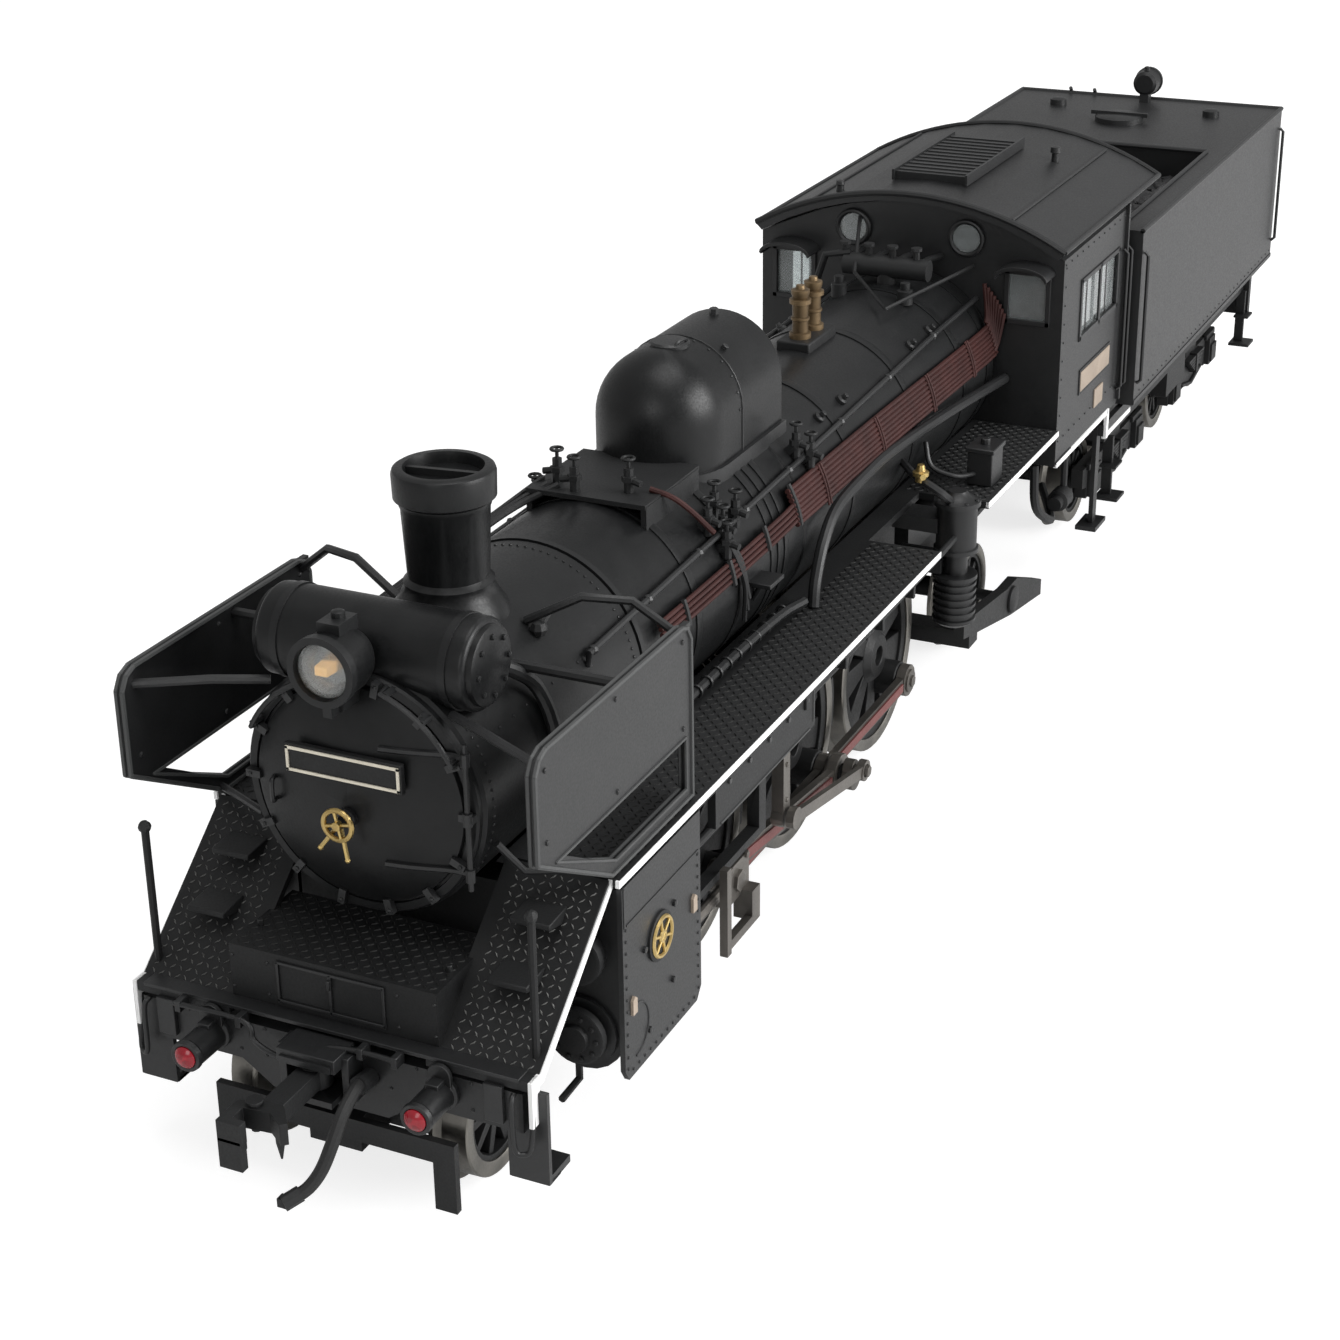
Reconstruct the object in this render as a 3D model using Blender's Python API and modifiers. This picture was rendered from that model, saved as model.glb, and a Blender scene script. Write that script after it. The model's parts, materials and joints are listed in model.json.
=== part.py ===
"""A 1:80 model steam locomotive with tender, as separate pieces in one frame.

Metres, +X forward, +Y to the locomotive's left, +Z up.
Z = 0 is the lowest point of the wheel flanges and X = 0 is half of the overall length.
"""
import math

import bmesh
import bpy
from mathutils import Matrix, Vector

# General fits
GAP = 0.0003
PIN_GAP = 0.00025
OVERLAP = 0.0004
FLUTE = 0.0001

# Track and wheels
FLANGE_DEPTH = 0.0009
FLANGE_WIDTH = 0.0008
WHEEL_BACK = 0.00725
WHEEL_WIDTH = 0.0028
DRIVER_RADIUS = 0.0095
SMALL_RADIUS = 0.005375
RIM_WIDTH = 0.0013
RIM_DEPTH = 0.0007
HUB_RADIUS = 0.0021
AXLE_RADIUS = 0.0012
JOURNAL_RADIUS = 0.0006
DRIVER_SIDES = 24
SMALL_SIDES = 16
WEB_HOLES = 7
WEB_HOLE_RADIUS = 0.0012
WEB_HOLE_CIRCLE = 0.0059

# Stations along the locomotive
COUPLER_REACH = 0.0104
BEAM_X = 0.1058
MAIN_AXLE_X = 0.0433
DRIVER_SPACING = 0.0215
PONY_AXLE_X = 0.0986
TRAILING_AXLE_X = -0.0062
REAR_COUPLER_REACH = 0.0072

# Rods and valve gear, as layers out from the wheel face
CRANK_RADIUS = 0.0038
CRANK_ANGLE = math.radians(235)
QUARTERING = math.radians(90)
CRANK_PIN_RADIUS = 0.0008
CRANK_BOSS_RADIUS = 0.0017
BOSS_LENGTH = 0.0016
ROD_THICKNESS = 0.0009
LAYER_GAP = 0.0004
SIDE_ROD_HEIGHT = 0.0015
SIDE_ROD_EYE = 0.0016
MAIN_ROD_LENGTH = 0.027
MAIN_ROD_HEIGHT = 0.0017
BIG_END_RADIUS = 0.0019
SMALL_END_RADIUS = 0.0014
RETURN_CRANK_X = -0.0020
RETURN_CRANK_Z = -0.0022
ECCENTRIC_PIN_RADIUS = 0.0004
ECCENTRIC_ROD_HEIGHT = 0.0011
ECCENTRIC_EYE = 0.0010
LINK_FOOT_X = 0.0577
LINK_FOOT_Z = 0.0113
LINK_WIDTH = 0.0014
LINK_TOP_Z = 0.0219
TRUNNION_Z = 0.0193
TRUNNION_RADIUS = 0.0004

# Frame and drive
FRAME_HALF_WIDTH = 0.0066
FRAME_WALL = 0.0013
FRAME_BOTTOM_Z = 0.0062
FRAME_FLOOR = 0.0010
FRAME_TOP_Z = 0.0195
FRAME_REAR_X = 0.0085
KEEPER_THICKNESS = 0.0010
SADDLE_BOTTOM_Z = 0.0096
SADDLE_REACH = 0.9
FRONT_SPINE_HALF = 0.0034
FRONT_SPINE_BOTTOM_Z = 0.0104
REAR_SPINE_HALF = 0.0048
REAR_SPINE_Z = 0.0096
REAR_SPINE_HEIGHT = 0.0036
REAR_SPINE_END_X = -0.0352
WORM_PITCH = 0.00125
GEAR_TEETH = 19
GEAR_WIDTH = 0.0014
TOOTH_HEIGHT = 0.0005
TOOTH_THICKNESS = 0.0004
THREAD_CLEARANCE = 0.0001
WORM_CORE_RADIUS = 0.0009
THREAD_THICKNESS = 0.00028
WORM_TURNS = 6
THREAD_TURNS = 3
THREAD_STEPS = 12
MOTOR_AXIS_Z = 0.0160
MOTOR_HALF_WIDTH = 0.0046
MOTOR_HALF_HEIGHT = 0.0036
MOTOR_FRONT_X = 0.0290
MOTOR_LENGTH = 0.0185
SHAFT_RADIUS = 0.0007
FLYWHEEL_RADIUS = 0.0034
FLYWHEEL_LENGTH = 0.0042
BEARING_RADIUS = 0.0018
BEARING_LENGTH = 0.0015

# Boiler and what stands on it
BOILER_RADIUS = 0.0097
BOILER_UNDER_Z = 0.0203
BOILER_WALL = 0.0014
BOILER_SIDES = 32
SMOKEBOX_FRONT_X = 0.0985
BOILER_BORE_FRONT_X = 0.0620
DOOR_INSET = 0.0012
DOOR_RIM = 0.0007
DOOR_BULGE = 0.0016
DOOR_CURVE = ((1, 0), (0.92, 0.35), (0.65, 0.65), (0, 0.95))
DOOR_EDGE = 0.7
CHIMNEY_X = 0.0855
CHIMNEY_HEIGHT = 0.0104
CHIMNEY_RIM_RADIUS = 0.00385
CHIMNEY_BODY_RADIUS = 0.0031
CHIMNEY_BASE_RADIUS = 0.0038
CHIMNEY_BORE_RADIUS = 0.0029
CHIMNEY_BORE_DEPTH = 0.0016
CHIMNEY_RIM_HEIGHT = 0.0021
CHIMNEY_FLARE = 0.0015
HEATER_X = 0.0953
HEATER_LIFT = 0.0002
HEATER_RADIUS = 0.0034
HEATER_HALF_LENGTH = 0.0090
HEATER_FLANGE_RADIUS = 0.0031
HEATER_FLANGE = 0.0006
HEADLIGHT_LIFT = 0.0013
HEADLIGHT_RADIUS = 0.0025
HEADLIGHT_LENGTH = 0.0042
LENS_RADIUS = 0.0020
LENS_DEPTH = 0.0012
DOME_FRONT_X = 0.0545
DOME_REAR_X = 0.0360
DOME_HALF_WIDTH = 0.00575
DOME_HEIGHT = 0.0086
VALVE_X = 0.0180
VALVE_SPACING = 0.0032
VALVE_RADIUS = 0.0009
VALVE_CAP_RADIUS = 0.0011
VALVE_HEIGHT = 0.0060
VALVE_BASE_HEIGHT = 0.0011
VALVE_BASE_HALF = 0.0016

# Platforms
BOARD_HALF_WIDTH = 0.0172
BOARD_Z = 0.0237
BOARD_THICKNESS = 0.0007
BOARD_FRONT_X = 0.0933
BOARD_GAP_FRONT_X = 0.0250
BOARD_GAP_REAR_X = 0.0110
BOARD_STRIP_Y = 0.0100
DECK_Z = 0.0143
DECK_HALF_WIDTH = 0.0165
BOX_HALF_WIDTH = 0.0086
BOX_TOP_Z = 0.0187
BOX_REAR_X = 0.0962
SLOPE_THICKNESS = 0.0008
POLE_X = 0.1036
POLE_Y = 0.0158
POLE_TOP_Z = 0.0261
POLE_RADIUS = 0.0003
POLE_BALL_RADIUS = 0.0005

# Buffer beam
BEAM_THICKNESS = 0.0012
BEAM_HALF_WIDTH = 0.0158
BEAM_BOTTOM_Z = 0.0100
APRON_HALF_WIDTH = 0.0080
APRON_TAPER = 0.6
APRON_BOTTOM_Z = 0.0082
LAMP_Y = 0.0095
LAMP_Z = 0.0118
LAMP_RADIUS = 0.0011
LAMP_REACH = 0.0038
POCKET_HALF_WIDTH = 0.0021
POCKET_REACH = 0.0030
POCKET_PLATE = 0.0005
STEP_INSET = 0.0001
STEP_HALF_WIDTH = 0.0016
STEP_Z = 0.0056
STEP_LENGTH = 0.0028
STEP_PLATE = 0.0005
COUPLER_Z = 0.0117
COUPLER_HEIGHT = 0.0018
COUPLER_HALF_WIDTH = 0.0009
COUPLER_BOSS_RADIUS = 0.0012
COUPLER_PIN_RADIUS = 0.0004
COUPLER_HEAD_HALF = 0.0024
COUPLER_HEAD_LENGTH = 0.0035
COUPLER_HEAD_DROP = 0.0030
JAW_DEPTH = 0.65
JAW_WIDTH = 0.45
HOSE_RADIUS = 0.0005
HOSE_PATH = (
    (0.0006, 0.0036, 0.0116),
    (0.0027, 0.0038, 0.0118),
    (0.0047, 0.0039, 0.0108),
    (0.0059, 0.0036, 0.0089),
    (0.0066, 0.0031, 0.0072),
    (0.0075, 0.0024, 0.0061),
    (0.0085, 0.0016, 0.0057),
)

# Cylinders, slide bars and crossheads
CYLINDER_FRONT_X = 0.0928
CYLINDER_STANDOFF = 0.0095
CYLINDER_Y = 0.0138
CYLINDER_RADIUS = 0.0034
CYLINDER_COVER_RADIUS = 0.0029
CYLINDER_COVER = 0.0004
VALVE_CHEST_Z = 0.0170
VALVE_CHEST_RADIUS = 0.0021
VALVE_CHEST_REACH = 0.0012
SADDLE_GAP_Y = 0.0104
PISTON_ROD_RADIUS = 0.0005
PISTON_ROD_REACH = 0.0135
PISTON_CLEARANCE = 0.0006
CROSSHEAD_HALF_LENGTH = 0.0022
CROSSHEAD_BOTTOM_Z = 0.0088
CROSSHEAD_WIDTH = 0.0011
SLIDE_BAR_Z = 0.0124
SLIDE_BAR_HEIGHT = 0.0007
SLIDE_BAR_REAR_X = 0.0622
BRACKET_FRONT_X = 0.0745
BRACKET_REAR_X = 0.0540
BRACKET_DROP = 0.0042
BRACKET_THICKNESS = 0.0007
UNION_Z = 0.0065
UNION_HEIGHT = 0.0008
LEVER_OFFSET_X = 0.0044
LEVER_WIDTH = 0.0008
LEVER_TOP_Z = 0.0136

# Deflectors
DEFLECTOR_Y = 0.0162
DEFLECTOR_THICKNESS = 0.0005
DEFLECTOR_FRONT_X = 0.1040
DEFLECTOR_REAR_X = 0.0796
DEFLECTOR_TOP_Z = 0.0383
DEFLECTOR_NOSE_Z = 0.0303
DEFLECTOR_TOE_X = 0.0932
DEFLECTOR_CORNER = 0.0016
DEFLECTOR_STRIP = 0.0009
WINDOW_TOP_Z = 0.0293
STAY_X = 0.0900
STAY_RADIUS = 0.0004
STAY_Z = 0.0376

# Pony and trailing trucks
PONY_PIVOT_X = 0.0795
PONY_ARM_HALF = 0.0022
PONY_ARM_Z = 0.0044
PONY_ARM_HEIGHT = 0.0016
PONY_BLOCK_LENGTH = 0.0062
PONY_BLOCK_TOP_Z = 0.0092
PIVOT_RADIUS = 0.0010
GUARD_THICKNESS = 0.0006
GUARD_BOTTOM_Z = 0.0014
GUARD_HALF_WIDTH = 0.0009
TRAILING_PIVOT_X = 0.0040
TRAILING_CROSS_X = 0.0078
TRAILING_CROSS_LENGTH = 0.0026
TRAILING_CROSS_Z = 0.0062
TRAILING_CROSS_HEIGHT = 0.0018
TRAILING_SIDE_Y = 0.0136
TRAILING_SIDE_THICKNESS = 0.0011
TRAILING_REAR_X = -0.0170

# Pumps at the gap of the platforms
PUMP_X = 0.0140
PUMP_Y = 0.0150
PUMP_RADIUS = 0.0021
PUMP_WAIST_RADIUS = 0.0012
PUMP_TOP_Z = 0.0258
PUMP_BOTTOM_Z = 0.0115
PUMP_WAIST_Z = 0.0176
PUMP_WAIST_HEIGHT = 0.0020

# Pipe bundle on the left of the boiler
PIPE_RADIUS = 0.0005
PIPE_FRONT_X = 0.0700
PIPE_REAR_X = -0.0105
PIPE_FRONT_ANGLE = math.radians(14.9)
PIPE_REAR_ANGLE = math.radians(14.3)
PIPE_PITCH = 1.7
PIPE_COUNT = 3

# Cab
CAB_FRONT_X = -0.0124
CAB_REAR_X = -0.0360
CAB_HALF_WIDTH = 0.0169
CAB_WALL = 0.0008
CAB_FLOOR_Z = 0.0195
EAVE_Z = 0.0430
RIDGE_Z = 0.0476
ROOF_FRONT_X = -0.0112
ROOF_REAR_X = -0.0482
ROOF_OVERHANG = 0.0003
ROOF_THICKNESS = 0.0007
ROOF_ARC_STEPS = 10
VENT_FRONT_X = -0.0182
VENT_LENGTH = 0.0190
VENT_HALF_WIDTH = 0.0040
VENT_HEIGHT = 0.0007
CAB_WINDOW_FRONT_X = -0.0192
CAB_WINDOW_REAR_X = -0.0332
CAB_WINDOW_Z = 0.0319
CAB_WINDOW_HEIGHT = 0.0060
FRONT_WINDOW_Y = 0.0131
FRONT_WINDOW_HALF = 0.0021
FRONT_WINDOW_Z = 0.0352
FRONT_WINDOW_HEIGHT = 0.0050
CAB_STEP_X = -0.0330
CAB_STEP_Z = 0.0056

# Tender
TENDER_FRONT_X = -0.0386
TENDER_REAR_X = -0.1082
TENDER_HALF_WIDTH = 0.0182
TANK_BOTTOM_Z = 0.0184
TANK_TOP_Z = 0.0389
TANK_WALL = 0.0012
BUNKER_REAR_X = -0.0790
BUNKER_HALF_WIDTH = 0.0152
BUNKER_FLOOR_Z = 0.0310
COAL_TOP_Z = 0.0372
UNDERFRAME_HALF_WIDTH = 0.0150
UNDERFRAME_Z = 0.0134
DRAW_PIN_X = -0.0336
DRAW_PIN_RADIUS = 0.0008
DRAWBAR_Z = 0.0078
DRAWBAR_THICKNESS = 0.0010
DRAWBAR_HALF_WIDTH = 0.0016
DRAWBAR_REAR_X = -0.0480
BOGIE_FRONT_X = -0.0545
BOGIE_REAR_X = -0.0920
BOGIE_WHEELBASE = 0.0190
BOGIE_SIDE_Y = 0.0106
BOGIE_SIDE_THICKNESS = 0.0014
BOGIE_OVERHANG = 0.0036
BOGIE_SIDE_Z = 0.0046
BOGIE_SIDE_HEIGHT = 0.0040
BOLSTER_HALF_LENGTH = 0.0026
BOLSTER_Z = 0.0080
BOLSTER_HEIGHT = 0.0034
JOURNAL_REACH = 0.0114
TENDER_LAMP_Z = 0.0415
TENDER_LAMP_RADIUS = 0.0015
LAMP_POST = 0.45
TENDER_LAMP_LENGTH = 0.0024

# Values worked out from those above
DRIVER_Z = FLANGE_DEPTH + DRIVER_RADIUS
SMALL_Z = FLANGE_DEPTH + SMALL_RADIUS
WHEEL_FACE = WHEEL_BACK + WHEEL_WIDTH
SIDE_ROD_Y = WHEEL_FACE + BOSS_LENGTH
MAIN_ROD_Y = SIDE_ROD_Y + ROD_THICKNESS + LAYER_GAP
OUTER_Y = MAIN_ROD_Y + ROD_THICKNESS + LAYER_GAP
OUTER_END_Y = OUTER_Y + CROSSHEAD_WIDTH
ECCENTRIC_Y = OUTER_END_Y + GAP
ECCENTRIC_END_Y = ECCENTRIC_Y + BRACKET_THICKNESS
DRIVER_X = [MAIN_AXLE_X + DRIVER_SPACING, MAIN_AXLE_X, MAIN_AXLE_X - DRIVER_SPACING]
FRONT_END_X = BEAM_X + COUPLER_REACH
REAR_BEAM_X = REAR_COUPLER_REACH - FRONT_END_X
BOARD_UNDER_Z = BOARD_Z - BOARD_THICKNESS
GEAR_RADIUS = GEAR_TEETH * WORM_PITCH / math.tau
STEP_Y = BEAM_HALF_WIDTH - STEP_INSET
BOILER_Z = BOILER_UNDER_Z + BOILER_RADIUS
BOILER_TOP_Z = BOILER_Z + BOILER_RADIUS
DOOR_RADIUS = BOILER_RADIUS - DOOR_INSET
CHIMNEY_TOP_Z = BOILER_TOP_Z + CHIMNEY_HEIGHT
CHIMNEY_FLARE_Z = BOILER_TOP_Z + CHIMNEY_FLARE
HEATER_Z = BOILER_TOP_Z + HEATER_LIFT
HEADLIGHT_Z = BOILER_TOP_Z + HEADLIGHT_LIFT
VALVE_TOP_Z = BOILER_TOP_Z + VALVE_HEIGHT
VALVE_BASE_Z = BOILER_TOP_Z + VALVE_BASE_HEIGHT
DOME_TOP_Z = BOILER_TOP_Z + DOME_HEIGHT
CYLINDER_REAR_X = MAIN_AXLE_X + MAIN_ROD_LENGTH + CYLINDER_STANDOFF
PISTON_BORE_END_X = MAIN_AXLE_X + CRANK_RADIUS + MAIN_ROD_LENGTH + PISTON_ROD_REACH + PISTON_CLEARANCE

LEFT = 1
RIGHT = -1
SIDES = {"left": LEFT, "right": RIGHT}
ROUND_SMALL = 8
ROUND = 12
ROUND_MEDIUM = 16
ROUND_FINE = 20
ROUND_LARGE = 24
ROUND_DOOR = 28

FINISHES = {
    "black_paint": ((0.012, 0.012, 0.013), 0.42, 0.0),
    "black_casting": ((0.018, 0.018, 0.019), 0.55, 0.0),
    "steel": ((0.33, 0.32, 0.31), 0.38, 1.0),
    "rod_steel": ((0.30, 0.25, 0.24), 0.42, 0.9),
    "brass": ((0.62, 0.45, 0.20), 0.35, 1.0),
    "oxide_red": ((0.10, 0.028, 0.020), 0.55, 0.0),
    "coal": ((0.010, 0.010, 0.010), 0.75, 0.0),
    "clear": ((0.85, 0.85, 0.80), 0.10, 0.0),
    "rubber": ((0.015, 0.015, 0.015), 0.70, 0.0),
}


def start_scene():
    """Empty the scene and make the collection that holds the pieces."""
    for old in list(bpy.data.objects):
        bpy.data.objects.remove(old, do_unlink=True)
    collection = bpy.data.collections.new("steam_locomotive")
    bpy.context.scene.collection.children.link(collection)
    return collection


PIECES = start_scene()


def add_object(name, data):
    """Link a new object that holds this mesh or curve."""
    piece = bpy.data.objects.new(name, data)
    PIECES.objects.link(piece)
    return piece


def from_bmesh(bm, name="solid"):
    """Turn a closed bmesh into an object with its faces pointing out."""
    bmesh.ops.recalc_face_normals(bm, faces=bm.faces)
    mesh = bpy.data.meshes.new(name)
    bm.to_mesh(mesh)
    bm.free()
    return add_object(name, mesh)


def baked(piece):
    """Replace a piece by the mesh that its modifiers or curve settings give."""
    bpy.context.view_layer.update()
    graph = bpy.context.evaluated_depsgraph_get()
    mesh = bpy.data.meshes.new_from_object(piece.evaluated_get(graph))
    mesh.transform(piece.matrix_world)
    bpy.data.objects.remove(piece, do_unlink=True)
    bm = bmesh.new()
    bm.from_mesh(mesh)
    bpy.data.meshes.remove(mesh)
    bmesh.ops.remove_doubles(bm, verts=bm.verts, dist=1e-7)
    bmesh.ops.holes_fill(bm, edges=[edge for edge in bm.edges if edge.is_boundary])
    return from_bmesh(bm)


def box(x, y, z):
    """Make a box from its three ranges."""
    size = Vector((abs(x[1] - x[0]), abs(y[1] - y[0]), abs(z[1] - z[0])))
    middle = Vector(((x[0] + x[1]) / 2, (y[0] + y[1]) / 2, (z[0] + z[1]) / 2))
    bm = bmesh.new()
    matrix = Matrix.Translation(middle) @ Matrix.Diagonal((*size, 1))
    bmesh.ops.create_cube(bm, size=1, matrix=matrix)
    return from_bmesh(bm)


def side_box(side, x, y, z):
    """Make a box whose Y range is measured outwards on one side."""
    return box(x, (side * y[0], side * y[1]), z)


def cylinder(start, end, radius, sides=ROUND, end_radius=None):
    """Make a straight round bar, or a cone, between two points."""
    start = Vector(start)
    along = Vector(end) - start
    turn = along.to_track_quat("Z", "Y").to_matrix().to_4x4()
    bm = bmesh.new()
    bmesh.ops.create_cone(
        bm, cap_ends=True, segments=sides, radius1=radius,
        radius2=radius if end_radius is None else end_radius, depth=along.length,
        matrix=Matrix.Translation(start + along / 2) @ turn)
    return from_bmesh(bm)


def ball(centre, radius, sides=ROUND):
    """Make a sphere."""
    bm = bmesh.new()
    bmesh.ops.create_uvsphere(
        bm, u_segments=sides, v_segments=max(6, sides // 2), radius=radius,
        matrix=Matrix.Translation(Vector(centre)))
    return from_bmesh(bm)


def turned(profile, centre, axis, sides):
    """Turn a profile of (place along the axis, radius) about an axis through centre."""
    mesh = bpy.data.meshes.new("profile")
    points = [(radius, 0, place) for place, radius in profile]
    edges = [(i, i + 1) for i in range(len(points) - 1)]
    mesh.from_pydata(points, edges, [])
    piece = add_object("profile", mesh)
    screw = piece.modifiers.new("turn", "SCREW")
    screw.steps = sides
    screw.render_steps = sides
    screw.use_merge_vertices = True
    screw.merge_threshold = 1e-6
    piece.rotation_mode = "QUATERNION"
    piece.rotation_quaternion = Vector(axis).to_track_quat("Z", "Y")
    piece.location = centre
    return baked(piece)


def plate(outline, plane, low, high):
    """Extrude a flat outline between two places along the axis left out of the plane."""
    curve = bpy.data.curves.new("outline", "CURVE")
    curve.dimensions = "2D"
    curve.fill_mode = "BOTH"
    curve.extrude = abs(high - low) / 2
    spline = curve.splines.new("POLY")
    spline.points.add(len(outline) - 1)
    for point, place in zip(spline.points, outline):
        point.co = (place[0], place[1], 0, 1)
    spline.use_cyclic_u = True
    piece = add_object("outline", curve)
    middle = (low + high) / 2
    if plane == "XZ":
        piece.matrix_world = Matrix.Translation((0, middle, 0)) @ Matrix.Rotation(math.pi / 2, 4, "X")
    elif plane == "YZ":
        turn = Matrix.Rotation(math.pi / 2, 4, "Z") @ Matrix.Rotation(math.pi / 2, 4, "X")
        piece.matrix_world = Matrix.Translation((middle, 0, 0)) @ turn
    else:
        piece.matrix_world = Matrix.Translation((0, 0, middle))
    return baked(piece)


def tube(points, radius):
    """Make a bent round bar through a list of points."""
    curve = bpy.data.curves.new("tube", "CURVE")
    curve.dimensions = "3D"
    curve.bevel_depth = radius
    curve.bevel_resolution = 2
    curve.use_fill_caps = True
    spline = curve.splines.new("POLY")
    spline.points.add(len(points) - 1)
    for point, place in zip(spline.points, points):
        point.co = (*place, 1)
    return baked(add_object("tube", curve))


def combined(piece, others, operation):
    """Join other solids to a piece or cut them out of it."""
    for other in others:
        step = piece.modifiers.new("combine", "BOOLEAN")
        step.operation = operation
        step.solver = "EXACT"
        step.object = other
        piece = baked(piece)
        bpy.data.objects.remove(other, do_unlink=True)
    return piece


def fuse(*solids):
    """Join solids into one body."""
    return combined(solids[0], solids[1:], "UNION")


def cut(piece, *cutters):
    """Cut solids out of a piece."""
    return combined(piece, cutters, "DIFFERENCE")


def finish(piece, name, look, origin=(0, 0, 0)):
    """Name a finished piece, give it its origin and its own material."""
    origin = Vector(origin)
    piece.name = name
    piece.data.name = name
    piece.data.transform(Matrix.Translation(-origin))
    piece.location = origin
    piece.data.shade_smooth()
    piece.data.set_sharp_from_angle(angle=math.radians(35))
    colour, roughness, metallic = FINISHES[look]
    material = bpy.data.materials.new(name)
    material.use_nodes = True
    shader = material.node_tree.nodes["Principled BSDF"]
    shader.inputs["Base Color"].default_value = (*colour, 1)
    shader.inputs["Roughness"].default_value = roughness
    shader.inputs["Metallic"].default_value = metallic
    piece.data.materials.append(material)
    return piece


def arc(centre, radius, start, end, steps):
    """List points on an arc, angles in degrees."""
    angles = [math.radians(start + (end - start) * i / steps) for i in range(steps + 1)]
    return [(centre[0] + radius * math.cos(a), centre[1] + radius * math.sin(a)) for a in angles]


def boiler_space(front, rear):
    """Solid that clears the boiler barrel, for pieces that saddle on it."""
    return cylinder((rear, 0, BOILER_Z), (front, 0, BOILER_Z), BOILER_RADIUS + GAP, BOILER_SIDES)


def crank(side):
    """Crank offset from the axle on one side, as (dx, dz)."""
    angle = CRANK_ANGLE if side == LEFT else CRANK_ANGLE + QUARTERING
    return CRANK_RADIUS * math.cos(angle), CRANK_RADIUS * math.sin(angle)


def return_crank(side):
    """Offset of the eccentric pin from the axle on one side."""
    if side == LEFT:
        return RETURN_CRANK_X, RETURN_CRANK_Z
    turn = QUARTERING
    dx = RETURN_CRANK_X * math.cos(turn) - RETURN_CRANK_Z * math.sin(turn)
    dz = RETURN_CRANK_X * math.sin(turn) + RETURN_CRANK_Z * math.cos(turn)
    return dx, dz


def wheel_profile(radius, journal_end):
    """Half profile of a wheelset, from the left end to the middle of the axle."""
    tread_end = WHEEL_BACK + FLANGE_WIDTH
    profile = []
    if journal_end > WHEEL_FACE:
        profile += [(journal_end, 0), (journal_end, JOURNAL_RADIUS),
                    (WHEEL_FACE - RIM_DEPTH, JOURNAL_RADIUS)]
    else:
        profile += [(WHEEL_FACE, 0), (WHEEL_FACE, HUB_RADIUS), (WHEEL_FACE - RIM_DEPTH, HUB_RADIUS)]
    profile += [
        (WHEEL_FACE - RIM_DEPTH, radius - RIM_WIDTH),
        (WHEEL_FACE, radius - RIM_WIDTH),
        (WHEEL_FACE, radius),
        (tread_end, radius),
        (tread_end - FLANGE_WIDTH / 2, radius + FLANGE_DEPTH),
        (WHEEL_BACK, radius + FLANGE_DEPTH),
        (WHEEL_BACK, AXLE_RADIUS),
    ]
    return profile


def wheelset(x, radius, height, journal_end, sides):
    """Two wheels on their axle as one turned solid."""
    half = wheel_profile(radius, journal_end)
    whole = half + [(-place, r) for place, r in reversed(half)]
    return turned(whole, (x, 0, height), (0, 1, 0), sides)


def web_holes(x, side):
    """Cutters for the lightening holes in the web of one driving wheel."""
    holes = []
    for i in range(WEB_HOLES):
        angle = CRANK_ANGLE + math.tau * (i + 0.5) / WEB_HOLES
        hx = x + WEB_HOLE_CIRCLE * math.cos(angle)
        hz = DRIVER_Z + WEB_HOLE_CIRCLE * math.sin(angle)
        start = (hx, side * (WHEEL_BACK - GAP), hz)
        end = (hx, side * (WHEEL_FACE + GAP), hz)
        holes.append(cylinder(start, end, WEB_HOLE_RADIUS, 6))
    return holes


def crank_pin(x, side, end_y):
    """Boss and pin of one driving wheel, out to end_y."""
    dx, dz = crank(side)
    place = (x + dx, DRIVER_Z + dz)
    inner = WHEEL_FACE - RIM_DEPTH - OVERLAP
    boss_end = SIDE_ROD_Y - LAYER_GAP
    boss = cylinder((place[0], side * inner, place[1]), (place[0], side * boss_end, place[1]),
                    CRANK_BOSS_RADIUS)
    pin = cylinder((place[0], side * inner, place[1]), (place[0], side * end_y, place[1]), CRANK_PIN_RADIUS)
    return fuse(boss, pin)


def return_crank_arm(x, side):
    """Arm beyond the main rod that carries the eccentric rod's pin."""
    dx, dz = crank(side)
    rx, rz = return_crank(side)
    arm_y = OUTER_Y
    disc = cylinder((x + dx, side * arm_y, DRIVER_Z + dz),
                    (x + dx, side * OUTER_END_Y, DRIVER_Z + dz), CRANK_BOSS_RADIUS)
    pin = cylinder((x + rx, side * (arm_y + OVERLAP), DRIVER_Z + rz),
                   (x + rx, side * ECCENTRIC_END_Y, DRIVER_Z + rz), ECCENTRIC_PIN_RADIUS)
    return fuse(disc, pin)


def driver_wheelset(name, x, main):
    """A pair of driving wheels with crank pins, and return cranks on the main axle."""
    solid = wheelset(x, DRIVER_RADIUS, DRIVER_Z, 0, DRIVER_SIDES)
    for side in (LEFT, RIGHT):
        solid = cut(solid, *web_holes(x, side))
        if main:
            solid = fuse(solid, crank_pin(x, side, OUTER_Y + OVERLAP), return_crank_arm(x, side))
        else:
            solid = fuse(solid, crank_pin(x, side, SIDE_ROD_Y + ROD_THICKNESS))
    return finish(solid, name, "steel", (x, 0, DRIVER_Z))


def make_drivers():
    for name, x in zip(("front", "main", "rear"), DRIVER_X):
        driver_wheelset(f"driver_wheelset_{name}", x, name == "main")


def eye(x, z, side, y, thickness, radius):
    """Round end of a rod."""
    return cylinder((x, side * y, z), (x, side * (y + thickness), z), radius)


def eye_hole(x, z, side, y, thickness, pin_radius):
    """Cutter for the hole in a rod's end."""
    start = (x, side * (y - GAP), z)
    return cylinder(start, (x, side * (y + thickness + GAP), z), pin_radius + PIN_GAP)


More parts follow.
